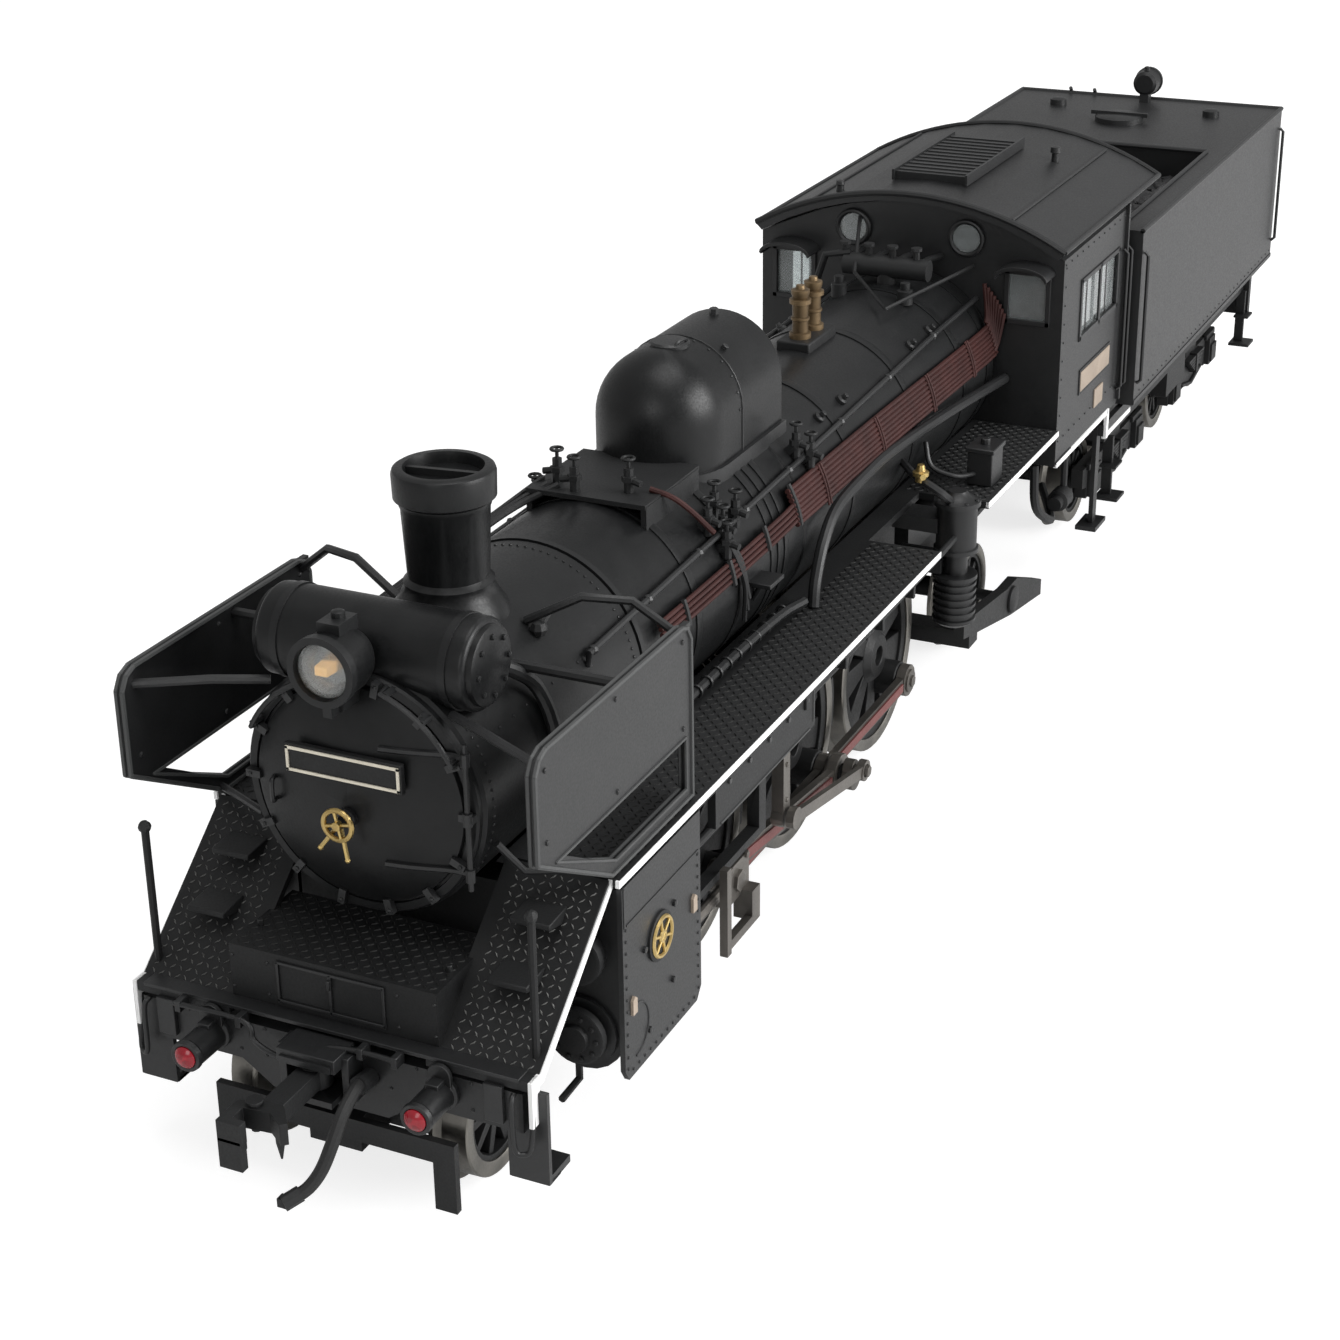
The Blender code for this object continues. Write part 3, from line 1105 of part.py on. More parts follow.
def make_coupler(name, pivot_x, tip_x):
    """Swinging coupler with its hanging knuckle."""
    forward = 1 if tip_x > pivot_x else -1
    low, high = COUPLER_Z - COUPLER_HEIGHT / 2, COUPLER_Z + COUPLER_HEIGHT / 2
    boss = cylinder((pivot_x, 0, low), (pivot_x, 0, high), COUPLER_BOSS_RADIUS, ROUND_MEDIUM)
    head_x = tip_x - forward * COUPLER_HEAD_LENGTH
    shank = box((pivot_x, head_x + forward * OVERLAP), (-COUPLER_HALF_WIDTH, COUPLER_HALF_WIDTH),
                (low, high))
    head = box((head_x, tip_x), (-COUPLER_HEAD_HALF, COUPLER_HEAD_HALF),
               (COUPLER_Z - COUPLER_HEAD_DROP, high))
    jaw = box((tip_x - forward * COUPLER_HEAD_LENGTH * JAW_DEPTH, tip_x + forward * GAP),
              (-forward * COUPLER_HEAD_HALF * JAW_WIDTH, forward * (COUPLER_HEAD_HALF + GAP)),
              (COUPLER_Z - COUPLER_HEAD_DROP - GAP, high + GAP))
    hole = cylinder((pivot_x, 0, low - GAP), (pivot_x, 0, high + GAP), COUPLER_PIN_RADIUS + PIN_GAP)
    solid = cut(fuse(shank, boss, head), jaw, hole)
    finish(solid, name, "black_casting", (pivot_x, 0, COUPLER_Z))


def make_brake_hose():
    points = [(BEAM_X + reach, y, z) for reach, y, z in HOSE_PATH]
    finish(tube(points, HOSE_RADIUS), "brake_hose", "rubber")


def make_deflector(word, side):
    """Smoke deflector plate with its lower opening and its stay to the smokebox."""
    y = (side * DEFLECTOR_Y, side * (DEFLECTOR_Y + DEFLECTOR_THICKNESS))
    corner = (DEFLECTOR_FRONT_X - DEFLECTOR_CORNER, DEFLECTOR_TOP_Z - DEFLECTOR_CORNER)
    outline = arc(corner, DEFLECTOR_CORNER, 0, 90, 4)
    low = BOARD_Z + GAP
    outline += [(DEFLECTOR_REAR_X, DEFLECTOR_TOP_Z), (DEFLECTOR_REAR_X, low),
                (DEFLECTOR_TOE_X, low), (DEFLECTOR_FRONT_X, DEFLECTOR_NOSE_Z)]
    solid = plate(outline, "XZ", *y)
    slope = (DEFLECTOR_FRONT_X - DEFLECTOR_TOE_X) / (DEFLECTOR_NOSE_Z - low)
    window_low = low + DEFLECTOR_STRIP
    toe_x = DEFLECTOR_TOE_X - DEFLECTOR_STRIP / 2
    nose_x = toe_x + slope * (WINDOW_TOP_Z - window_low)
    window = [(nose_x, WINDOW_TOP_Z), (DEFLECTOR_REAR_X + DEFLECTOR_STRIP, WINDOW_TOP_Z),
              (DEFLECTOR_REAR_X + DEFLECTOR_STRIP, window_low), (toe_x, window_low)]
    solid = cut(solid, plate(window, "XZ", y[0] - side * GAP, y[1] + side * GAP))
    stay_end = math.sqrt((BOILER_RADIUS + GAP * 2) ** 2 - (STAY_Z - BOILER_Z) ** 2) + STAY_RADIUS
    stay = cylinder((STAY_X, side * (DEFLECTOR_Y + DEFLECTOR_THICKNESS / 2), STAY_Z),
                    (STAY_X, side * stay_end, STAY_Z), STAY_RADIUS, ROUND_SMALL)
    finish(fuse(solid, stay), f"smoke_deflector_{word}", "black_paint")


def make_pony_truck():
    """Leading truck with its pivot arm, axle block and guard irons."""
    pivot_x = PONY_PIVOT_X + PIVOT_RADIUS * 2
    top = PONY_ARM_Z + PONY_ARM_HEIGHT
    arm = box((pivot_x - PONY_ARM_HALF, PONY_AXLE_X), (-PONY_ARM_HALF, PONY_ARM_HALF), (PONY_ARM_Z, top))
    half = PONY_BLOCK_LENGTH / 2
    width = WHEEL_BACK - GAP * 2
    block = box((PONY_AXLE_X - half, PONY_AXLE_X + half), (-width, width), (PONY_ARM_Z, PONY_BLOCK_TOP_Z))
    guard_x = PONY_AXLE_X + SMALL_RADIUS + FLANGE_DEPTH + GAP
    cross = box((guard_x, guard_x + GUARD_THICKNESS), (-WHEEL_FACE, WHEEL_FACE),
                (SMALL_Z - GUARD_HALF_WIDTH, SMALL_Z + GUARD_HALF_WIDTH))
    nose = box((PONY_AXLE_X, guard_x + OVERLAP), (-PONY_ARM_HALF, PONY_ARM_HALF),
               (PONY_ARM_Z, SMALL_Z + GUARD_HALF_WIDTH))
    solid = fuse(block, arm, nose, cross)
    for side in (LEFT, RIGHT):
        middle = WHEEL_FACE - GUARD_HALF_WIDTH
        solid = fuse(solid, side_box(side, (guard_x, guard_x + GUARD_THICKNESS),
                                     (middle - GUARD_HALF_WIDTH, middle + GUARD_HALF_WIDTH),
                                     (GUARD_BOTTOM_Z, SMALL_Z)))
    slot = AXLE_RADIUS + GAP
    axle_slot = box((PONY_AXLE_X - slot, PONY_AXLE_X + slot), (-WHEEL_BACK, WHEEL_BACK),
                    (0, SMALL_Z + slot))
    pin_hole = cylinder((pivot_x, 0, PONY_ARM_Z - GAP), (pivot_x, 0, top + GAP), PIVOT_RADIUS + PIN_GAP)
    finish(cut(solid, axle_slot, pin_hole), "pony_truck", "black_casting", (pivot_x, 0, PONY_ARM_Z))
    solid = wheelset(PONY_AXLE_X, SMALL_RADIUS, SMALL_Z, 0, SMALL_SIDES)
    finish(solid, "pony_wheelset", "steel", (PONY_AXLE_X, 0, SMALL_Z))


def make_trailing_truck():
    """Trailing truck with outside frames."""
    top = TRAILING_CROSS_Z + TRAILING_CROSS_HEIGHT
    side_end = TRAILING_SIDE_Y + TRAILING_SIDE_THICKNESS
    cross = box((TRAILING_CROSS_X - TRAILING_CROSS_LENGTH, TRAILING_CROSS_X), (-side_end, side_end),
                (TRAILING_CROSS_Z, top))
    boss = box((TRAILING_PIVOT_X - PIVOT_RADIUS * 2, TRAILING_CROSS_X), (-PONY_ARM_HALF, PONY_ARM_HALF),
               (TRAILING_CROSS_Z, top))
    solid = fuse(cross, boss)
    rise = TRAILING_CROSS_HEIGHT
    outline = [(TRAILING_CROSS_X + rise, top + rise), (TRAILING_CROSS_X + rise, top),
               (TRAILING_AXLE_X, SMALL_Z - rise),
               (TRAILING_REAR_X, FLANGE_DEPTH * 3), (TRAILING_REAR_X, FLANGE_DEPTH * 3 + rise),
               (TRAILING_AXLE_X - rise, SMALL_Z + rise), (TRAILING_AXLE_X + rise, SMALL_Z + rise)]
    for side in (LEFT, RIGHT):
        beam = plate(outline, "XZ", side * TRAILING_SIDE_Y, side * side_end)
        hole = cylinder((TRAILING_AXLE_X, side * (TRAILING_SIDE_Y - GAP), SMALL_Z),
                        (TRAILING_AXLE_X, side * (side_end + GAP), SMALL_Z), JOURNAL_RADIUS + PIN_GAP)
        solid = fuse(solid, cut(beam, hole))
    pin_hole = cylinder((TRAILING_PIVOT_X, 0, TRAILING_CROSS_Z - GAP), (TRAILING_PIVOT_X, 0, top + GAP),
                        PIVOT_RADIUS + PIN_GAP)
    finish(cut(solid, pin_hole), "trailing_truck", "black_casting", (TRAILING_PIVOT_X, 0, TRAILING_CROSS_Z))
    solid = wheelset(TRAILING_AXLE_X, SMALL_RADIUS, SMALL_Z, side_end, SMALL_SIDES)
    finish(solid, "trailing_wheelset", "steel", (TRAILING_AXLE_X, 0, SMALL_Z))


def make_pump(name, side):
    """Upright steam pump in the platform gap, with its carrier."""
    profile = [(PUMP_TOP_Z, 0), (PUMP_TOP_Z, PUMP_RADIUS * 0.7), (PUMP_TOP_Z - GAP * 2, PUMP_RADIUS),
               (PUMP_WAIST_Z + PUMP_WAIST_HEIGHT, PUMP_RADIUS),
               (PUMP_WAIST_Z + PUMP_WAIST_HEIGHT, PUMP_WAIST_RADIUS),
               (PUMP_WAIST_Z, PUMP_WAIST_RADIUS), (PUMP_WAIST_Z, PUMP_RADIUS), (PUMP_BOTTOM_Z, PUMP_RADIUS),
               (PUMP_BOTTOM_Z, 0)]
    solid = turned(profile, (PUMP_X, side * PUMP_Y, 0), (0, 0, 1), ROUND_MEDIUM)
    carrier = side_box(side, (PUMP_X - PUMP_WAIST_RADIUS, PUMP_X + PUMP_WAIST_RADIUS),
                       (BOARD_STRIP_Y - PUMP_WAIST_RADIUS, PUMP_Y),
                       (BOARD_UNDER_Z - GAP - PUMP_WAIST_RADIUS, BOARD_UNDER_Z - GAP))
    finish(fuse(solid, carrier), name, "black_casting")


def make_pipe_bundle():
    """Pipes along the left of the boiler, bound into one flat bundle."""
    reach = BOILER_RADIUS + GAP + PIPE_RADIUS
    pipes = []
    for i in range(PIPE_COUNT):
        turn = i * PIPE_RADIUS * PIPE_PITCH / reach
        points = []
        for x, angle in ((PIPE_FRONT_X, PIPE_FRONT_ANGLE + turn), (PIPE_REAR_X, PIPE_REAR_ANGLE + turn)):
            points.append((x, reach * math.cos(angle), BOILER_Z + reach * math.sin(angle)))
        pipes.append(tube(points, PIPE_RADIUS))
    solid = fuse(*pipes)
    finish(solid, "pipe_bundle", "oxide_red")


def roof_curve(inset):
    """Points of the roof arch from the right eave to the left one, drawn in by inset."""
    half = CAB_HALF_WIDTH + ROOF_OVERHANG - inset
    rise = RIDGE_Z - EAVE_Z
    radius = (half ** 2 + rise ** 2) / (2 * rise)
    centre_z = RIDGE_Z - inset - radius
    spread = math.degrees(math.asin(half / radius))
    return arc((0, centre_z), radius, 90 + spread, 90 - spread, ROOF_ARC_STEPS)


def make_cab():
    """Cab with windows, floor and footsteps."""
    inset = ROOF_THICKNESS + GAP
    under = roof_curve(inset)
    outline = [(-CAB_HALF_WIDTH, CAB_FLOOR_Z), (-CAB_HALF_WIDTH, under[0][1])] + under[1:-1]
    outline += [(CAB_HALF_WIDTH, under[-1][1]), (CAB_HALF_WIDTH, CAB_FLOOR_Z)]
    solid = plate(outline, "YZ", CAB_REAR_X, CAB_FRONT_X)
    inner = CAB_HALF_WIDTH - CAB_WALL
    room = box((CAB_REAR_X - GAP, CAB_FRONT_X - CAB_WALL), (-inner, inner),
               (CAB_FLOOR_Z + CAB_WALL, RIDGE_Z))
    window = box((CAB_WINDOW_REAR_X, CAB_WINDOW_FRONT_X), (-CAB_HALF_WIDTH - GAP, CAB_HALF_WIDTH + GAP),
                 (CAB_WINDOW_Z, CAB_WINDOW_Z + CAB_WINDOW_HEIGHT))
    solid = cut(solid, room, window)
    for side in (LEFT, RIGHT):
        front_window = side_box(side, (CAB_FRONT_X - CAB_WALL - GAP, CAB_FRONT_X + GAP),
                                (FRONT_WINDOW_Y - FRONT_WINDOW_HALF, FRONT_WINDOW_Y + FRONT_WINDOW_HALF),
                                (FRONT_WINDOW_Z, FRONT_WINDOW_Z + FRONT_WINDOW_HEIGHT))
        solid = cut(solid, front_window)
        outer = CAB_HALF_WIDTH - CAB_WALL
        hanger = side_box(side, (CAB_STEP_X, CAB_STEP_X + STEP_LENGTH / 2), (outer - STEP_PLATE, outer),
                          (CAB_STEP_Z, CAB_FLOOR_Z + OVERLAP))
        tread = side_box(side, (CAB_STEP_X - STEP_LENGTH / 2, CAB_STEP_X + STEP_LENGTH),
                         (outer - STEP_HALF_WIDTH, outer + STEP_HALF_WIDTH / 2),
                         (CAB_STEP_Z, CAB_STEP_Z + STEP_PLATE))
        solid = fuse(solid, hanger, tread)
    finish(solid, "cab_body", "black_paint")


def make_cab_roof():
    top = roof_curve(0)
    under = roof_curve(ROOF_THICKNESS)
    solid = plate(top + under[::-1], "YZ", ROOF_REAR_X, ROOF_FRONT_X)
    vent = box((VENT_FRONT_X - VENT_LENGTH, VENT_FRONT_X), (-VENT_HALF_WIDTH, VENT_HALF_WIDTH),
               (RIDGE_Z - ROOF_THICKNESS, RIDGE_Z + VENT_HEIGHT))
    finish(fuse(solid, vent), "cab_roof", "black_paint")


def make_tender_tank():
    """Tank shell open below, with the coal bunker sunk in its front half."""
    body = box((TENDER_REAR_X, TENDER_FRONT_X), (-TENDER_HALF_WIDTH, TENDER_HALF_WIDTH),
               (TANK_BOTTOM_Z, TANK_TOP_Z))
    inside = TENDER_HALF_WIDTH - TANK_WALL
    hollow = box((TENDER_REAR_X + TANK_WALL, TENDER_FRONT_X - TANK_WALL), (-inside, inside),
                 (TANK_BOTTOM_Z - GAP, BUNKER_FLOOR_Z - TANK_WALL))
    bunker = box((BUNKER_REAR_X, TENDER_FRONT_X - TANK_WALL), (-BUNKER_HALF_WIDTH, BUNKER_HALF_WIDTH),
                 (BUNKER_FLOOR_Z, TANK_TOP_Z + GAP))
    finish(cut(body, hollow, bunker), "tender_tank", "black_paint")


def make_coal_load():
    half = BUNKER_HALF_WIDTH - GAP
    outline = [(TENDER_FRONT_X - TANK_WALL - GAP, BUNKER_FLOOR_Z + GAP),
               (BUNKER_REAR_X + GAP, BUNKER_FLOOR_Z + GAP),
               (BUNKER_REAR_X + GAP, COAL_TOP_Z),
               (TENDER_FRONT_X - BUNKER_HALF_WIDTH, COAL_TOP_Z - TANK_WALL),
               (TENDER_FRONT_X - TANK_WALL - GAP, (COAL_TOP_Z + BUNKER_FLOOR_Z) / 2)]
    finish(plate(outline, "XZ", -half, half), "coal_load", "coal")


def make_tender_lamp():
    x = TENDER_REAR_X + TENDER_LAMP_LENGTH
    lamp = cylinder((x - TENDER_LAMP_LENGTH / 2, 0, TENDER_LAMP_Z),
                    (x + TENDER_LAMP_LENGTH / 2, 0, TENDER_LAMP_Z),
                    TENDER_LAMP_RADIUS, ROUND_MEDIUM)
    post = cylinder((x, 0, TANK_TOP_Z + GAP), (x, 0, TENDER_LAMP_Z), TENDER_LAMP_RADIUS * LAMP_POST)
    finish(fuse(lamp, post), "tender_lamp", "black_paint")


def make_tender_frame():
    """Underframe with bogie pivots, drawbar lug, rear beam and rear coupler pocket."""
    top = TANK_BOTTOM_Z - GAP
    half = UNDERFRAME_HALF_WIDTH
    solid = box((REAR_BEAM_X + BEAM_THICKNESS / 2, TENDER_FRONT_X - GAP), (-half, half),
                (UNDERFRAME_Z, top))
    beam = box((REAR_BEAM_X, REAR_BEAM_X + BEAM_THICKNESS), (-BEAM_HALF_WIDTH, BEAM_HALF_WIDTH),
               (BEAM_BOTTOM_Z, top))
    lug = box((DRAWBAR_REAR_X, DRAWBAR_REAR_X + DRAWBAR_HALF_WIDTH * 2),
              (-DRAWBAR_HALF_WIDTH, DRAWBAR_HALF_WIDTH),
              (DRAWBAR_Z + DRAWBAR_THICKNESS + GAP, UNDERFRAME_Z + OVERLAP))
    solid = fuse(solid, beam, lug)
    bolster_top = BOLSTER_Z + BOLSTER_HEIGHT
    for x in (BOGIE_FRONT_X, BOGIE_REAR_X):
        pad = cylinder((x, 0, bolster_top + GAP), (x, 0, UNDERFRAME_Z + OVERLAP), BOLSTER_HALF_LENGTH,
                       ROUND_MEDIUM)
        pin = cylinder((x, 0, BOLSTER_Z), (x, 0, UNDERFRAME_Z + OVERLAP), PIVOT_RADIUS)
        solid = fuse(solid, pad, pin)
    pivot_x = REAR_BEAM_X - POCKET_REACH / 2
    half_gap = COUPLER_HEIGHT / 2 + GAP
    for low in (COUPLER_Z - half_gap - POCKET_PLATE, COUPLER_Z + half_gap):
        solid = fuse(solid, box((REAR_BEAM_X - POCKET_REACH, REAR_BEAM_X + OVERLAP),
                                (-POCKET_HALF_WIDTH, POCKET_HALF_WIDTH), (low, low + POCKET_PLATE)))
    pin = cylinder((pivot_x, 0, COUPLER_Z - half_gap - OVERLAP),
                   (pivot_x, 0, COUPLER_Z + half_gap + OVERLAP),
                   COUPLER_PIN_RADIUS)
    finish(fuse(solid, pin), "tender_frame", "black_casting", (DRAW_PIN_X, 0, DRAWBAR_Z))


def make_drawbar():
    high = DRAWBAR_Z + DRAWBAR_THICKNESS
    solid = box((DRAWBAR_REAR_X, DRAW_PIN_X), (-DRAWBAR_HALF_WIDTH, DRAWBAR_HALF_WIDTH), (DRAWBAR_Z, high))
    eye_end = cylinder((DRAW_PIN_X, 0, DRAWBAR_Z), (DRAW_PIN_X, 0, high), DRAWBAR_HALF_WIDTH, ROUND_MEDIUM)
    hole = cylinder((DRAW_PIN_X, 0, DRAWBAR_Z - GAP), (DRAW_PIN_X, 0, high + GAP),
                    DRAW_PIN_RADIUS + PIN_GAP)
    finish(cut(fuse(solid, eye_end), hole), "drawbar", "steel", (DRAW_PIN_X, 0, DRAWBAR_Z))


def make_bogie(word, x):
    """Tender bogie frame and its two wheelsets."""
    half = BOGIE_WHEELBASE / 2
    end = BOGIE_SIDE_Y + BOGIE_SIDE_THICKNESS
    solid = box((x - BOLSTER_HALF_LENGTH, x + BOLSTER_HALF_LENGTH), (-end, end),
                (BOLSTER_Z, BOLSTER_Z + BOLSTER_HEIGHT))
    reach = half + BOGIE_OVERHANG
    top = BOGIE_SIDE_Z + BOGIE_SIDE_HEIGHT
    outline = [(x - reach, SMALL_Z), (x - reach, top), (x + reach, top), (x + reach, SMALL_Z),
               (x + half - BOGIE_OVERHANG, BOGIE_SIDE_Z), (x - half + BOGIE_OVERHANG, BOGIE_SIDE_Z)]
    for side in (LEFT, RIGHT):
        beam = plate(outline, "XZ", side * BOGIE_SIDE_Y, side * end)
        for axle_x in (x - half, x + half):
            boxes = side_box(side, (axle_x - JOURNAL_RADIUS * 3, axle_x + JOURNAL_RADIUS * 3),
                             (BOGIE_SIDE_Y, end),
                             (SMALL_Z - JOURNAL_RADIUS * 3, top))
            hole = cylinder((axle_x, side * (BOGIE_SIDE_Y - GAP), SMALL_Z),
                            (axle_x, side * (JOURNAL_REACH + GAP), SMALL_Z), JOURNAL_RADIUS + PIN_GAP)
            beam = cut(fuse(beam, boxes), hole)
        solid = fuse(solid, beam)
    pin_hole = cylinder((x, 0, BOLSTER_Z - GAP), (x, 0, BOLSTER_Z + BOLSTER_HEIGHT + GAP),
                        PIVOT_RADIUS + PIN_GAP)
    finish(cut(solid, pin_hole), f"{word}_bogie", "black_casting", (x, 0, BOLSTER_Z))
    for number, axle_x in ((1, x + half), (2, x - half)):
        wheels = wheelset(axle_x, SMALL_RADIUS, SMALL_Z, JOURNAL_REACH, SMALL_SIDES)
        finish(wheels, f"{word}_bogie_wheelset_{number}", "steel", (axle_x, 0, SMALL_Z))


def main():
    make_drivers()
    for word, side in SIDES.items():
        make_side_rod(word, side)
        make_main_rod(word, side)
        make_eccentric_rod(word, side)
        make_expansion_link(word, side)
        make_crosshead(word, side)
        make_motion_bracket(word, side)
        make_cylinder_block(word, side)
        make_running_board(word, side)
        make_deflector(word, side)
    make_main_frame()
    make_keeper_plate()
    make_drive_gear()
    make_motor()
    make_motor_shaft()
    make_boiler()
    make_smokebox_door()
    make_chimney()
    make_feedwater_heater()
    make_headlight()
    make_dome()
    make_safety_valves()
    make_front_deck()
    make_buffer_beam()
    make_coupler("front_coupler", BEAM_X + POCKET_REACH / 2, FRONT_END_X)
    make_brake_hose()
    make_pony_truck()
    make_trailing_truck()
    make_pump("air_compressor", LEFT)
    make_pump("feed_pump", RIGHT)
    make_pipe_bundle()
    make_cab()
    make_cab_roof()
    make_tender_tank()
    make_coal_load()
    make_tender_lamp()
    make_tender_frame()
    make_drawbar()
    make_bogie("front", BOGIE_FRONT_X)
    make_bogie("rear", BOGIE_REAR_X)
    make_coupler("rear_coupler", REAR_BEAM_X - POCKET_REACH / 2, -FRONT_END_X)


main()
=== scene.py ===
"""Looks for the model steam locomotive: materials, trim, camera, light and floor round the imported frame.

Shapes are drawn in millimetres in the part's own frame (+X forward, +Y left, +Z up) and stored in metres.
"""

import json
import math
import random

import bmesh
import bpy
from mathutils import Matrix, Vector


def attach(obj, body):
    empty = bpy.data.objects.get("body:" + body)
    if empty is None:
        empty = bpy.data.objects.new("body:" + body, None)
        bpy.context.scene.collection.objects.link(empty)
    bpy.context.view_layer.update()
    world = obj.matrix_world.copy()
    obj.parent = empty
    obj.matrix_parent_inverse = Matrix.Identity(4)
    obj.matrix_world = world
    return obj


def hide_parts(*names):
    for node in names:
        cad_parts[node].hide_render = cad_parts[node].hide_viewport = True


MM = 0.001
SMOOTH_ANGLE = math.radians(34)
BEVEL_ANGLE = math.radians(40)
MERGE_GAP = 0.0004
ARC_STEPS = 12
BOTH = (1, -1)
SIDES = {"left": 1, "right": -1}
FORWARD = (1, 0, 0)
BACKWARD = (-1, 0, 0)
LEFT = (0, 1, 0)
UP = (0, 0, 1)

# Boiler and what stands on it.
BOILER_Z = 30.0
BOILER_R = 9.7
BOILER_SIDES = 72
CAB_X = -12.2
CLAD_JOINT_X = 40.0
CLAD_STEP = 0.15
SMOKEBOX_REAR_X = 73.4
SMOKEBOX_FRONT_X = 98.5
BANDS = ((62.5, 0.5), (54.0, 0.5), (47.2, 0.45), (45.7, 0.45), (44.2, 0.45), (28.0, 0.6), (12.0, 0.6),
         (-3.0, 0.6), (-10.6, 0.8))
DOOR_X = 99.2
DOOR_R = 8.45
DOOR_BULGE = 1.75 * 0.95
DOG_COUNT = 14
HINGE_X = 99.6
HINGE_Y = 8.9
RAIL_R = 9.15
HANDWHEEL = (102.35, 0, 29.0)
HANDWHEEL_R = 1.15
DOME_SEAM_X = 45.0
DOME_FOOT_Z = 36.0
DOME_REAR_X = 36.0
DOME_CENTRE_X = 48.75
DOME_R = 5.75
DOME_BASE_R = 6.1
DOME_TOP_Z = 48.3
DOME_CROWN_Z = DOME_TOP_Z - DOME_R
DOME_LID_X = 47.2
CHIMNEY_X = 85.5
HEATER_X = 95.3
HEATER_Z = 39.9
HEATER_HALF = 9.0
HEADLIGHT_Z = 41.0
VALVE_X = (18.0, 14.8)
CLACKS = ((57.0, 50, 10.3), (55.6, 57, 10.3), (54.6, 46, 10.3), (56.2, 64, 10.3), (52.6, 55, 10.3),
          (38.0, 48, 10.6), (36.8, 56, 10.6), (57.0, -52, 10.3), (55.0, -60, 10.3), (38.0, -50, 10.3))
TURRET_X = -5.5
TURRET_Z = 41.4

# Platforms, beam, deflectors and cylinders.
BOARD_Z = 23.7
BOARD_Y = 17.2
SLOPE_TOP = (93.3, 23.7)
SLOPE_FOOT = (104.6, 14.3)
BEAM_X = 105.8
LAMP_Y = 9.5
LAMP_Z = 11.8
TICK_PITCH = 0.64
TICK_HALF_LENGTH = 0.31
TICK_HALF_WIDTH = 0.095
TICK_HEIGHT = 0.09
TICK_SINK = 0.03
TICK_LEAN = math.pi / 4
DEFLECTOR_Y = (16.2, 16.7)
CYLINDER_FACE_Y = 17.32
CYLINDER_Y = 13.8
EMBLEM_X = 87.0
EMBLEM_Z = 16.0

# Running gear.
DRIVER_Z = 10.4
DRIVER_R = 9.5
DRIVER_X = {"front": 64.8, "main": 43.3, "rear": 21.8}
DRIVER_BODY = {"front": "front_drivers", "main": "drive", "rear": "rear_drivers"}
SPOKE_REACH = 7.6
SMALL_R = 5.375
SMALL_Z = 6.275
WHEEL_BACK = 7.25
WHEEL_FACE = 10.05
CRANK = {"left": (-2.1796, -3.1128), "right": (3.1128, -2.1796)}
RETURN_CRANK = {"left": (-2.0, -2.2), "right": (2.2, -2.0)}
WRIST = {"left": (67.94, 10.4), "right": (73.32, 10.4)}
LINK_X = 57.7
BRACKET_Y = 16.36
BRACKET_LINES = (((54.4, 22.4), (74.2, 22.4)), ((54.4, 19.0), (54.4, 22.4)), ((55.2, 18.6), (73.6, 18.6)))
PONY_X = 98.6
TRAILING_X = -6.2
BOGIE_X = {"front": -54.5, "rear": -92.0}
BOGIE_AXLE = 9.5
PUMP_X = 14.0
PUMP_Y = 15.0

# Cab and tender.
ROOF_HALF = 17.2
ROOF_RISE = 4.6
ROOF_TOP_Z = 47.6
ROOF_R = (ROOF_HALF ** 2 + ROOF_RISE ** 2) / (2 * ROOF_RISE)
ROOF_FRONT_X = -11.4
ROOF_REAR_X = -48.0
BACKHEAD_X = -15.1
TENDER_Y = 18.1
TENDER_TOP_Z = 38.9
TENDER_FRONT_X = -38.6
TENDER_REAR_X = -108.2
TANK_LAMP = (-104.8, 0, 41.5)
COAL_ROWS = 20
COAL_COLUMNS = 15
COAL_START = (-77.0, -13.5)
COAL_PITCH = (1.88, 1.93)
COAL_TOP_Z = 36.6
COAL_CROWN = 1.3
COAL_HALF_WIDTH = 13.4
COAL_SLOPE_X = -54
COAL_FALL = 0.24

# Stage, in metres and degrees, with the lens in millimetres.
CAMERA_AZIMUTH = 25.62
CAMERA_ELEVATION = 23.51
CAMERA_ROLL = -0.90
CAMERA_PLACE = (0.23195, 0.08753, 0.11141)
CAMERA_LENS = 67.32
CAMERA_SHIFT = (0.0055, -0.0361)
FLOOR_SIZE = 6.0
FLOOR_BASE = (0.75, 0.75, 0.75, 1)
FLOOR_SHOWN = (0.42, 0.42, 0.42, 1)
FLOOR_GLOW = 0.78
WORLD_FILL = 0.45

# Materials: the noise values that are spread out, the edge sharpness that is worn, and clear mouldings.
NOISE_SPAN = (0.3, 0.7)
WEAR_SPAN = (0.52, 0.62)
WEAR_SHARE = 0.35
BUMP_STRENGTH = 0.35
LENS_CLARITY = 0.85
LENS_IOR = 1.46

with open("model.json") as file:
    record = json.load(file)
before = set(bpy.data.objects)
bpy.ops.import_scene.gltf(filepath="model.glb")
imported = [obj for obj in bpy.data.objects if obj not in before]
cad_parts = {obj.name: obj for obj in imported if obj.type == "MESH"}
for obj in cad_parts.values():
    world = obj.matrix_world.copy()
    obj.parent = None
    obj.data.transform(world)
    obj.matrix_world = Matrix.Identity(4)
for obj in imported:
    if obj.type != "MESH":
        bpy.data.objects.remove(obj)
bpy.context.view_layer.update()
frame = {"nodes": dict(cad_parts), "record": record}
DRAW = random.Random(58)


# Materials.

def nodes_of(material):
    material.use_nodes = True
    tree = material.node_tree
    return tree, tree.nodes["Principled BSDF"]


def new_node(tree, kind, **inputs):
    """Adds a shader node and sets the inputs named, with underscores for spaces."""
    node = tree.nodes.new(kind)
    for name, value in inputs.items():
        node.inputs[name.replace("_", " ")].default_value = value
    return node


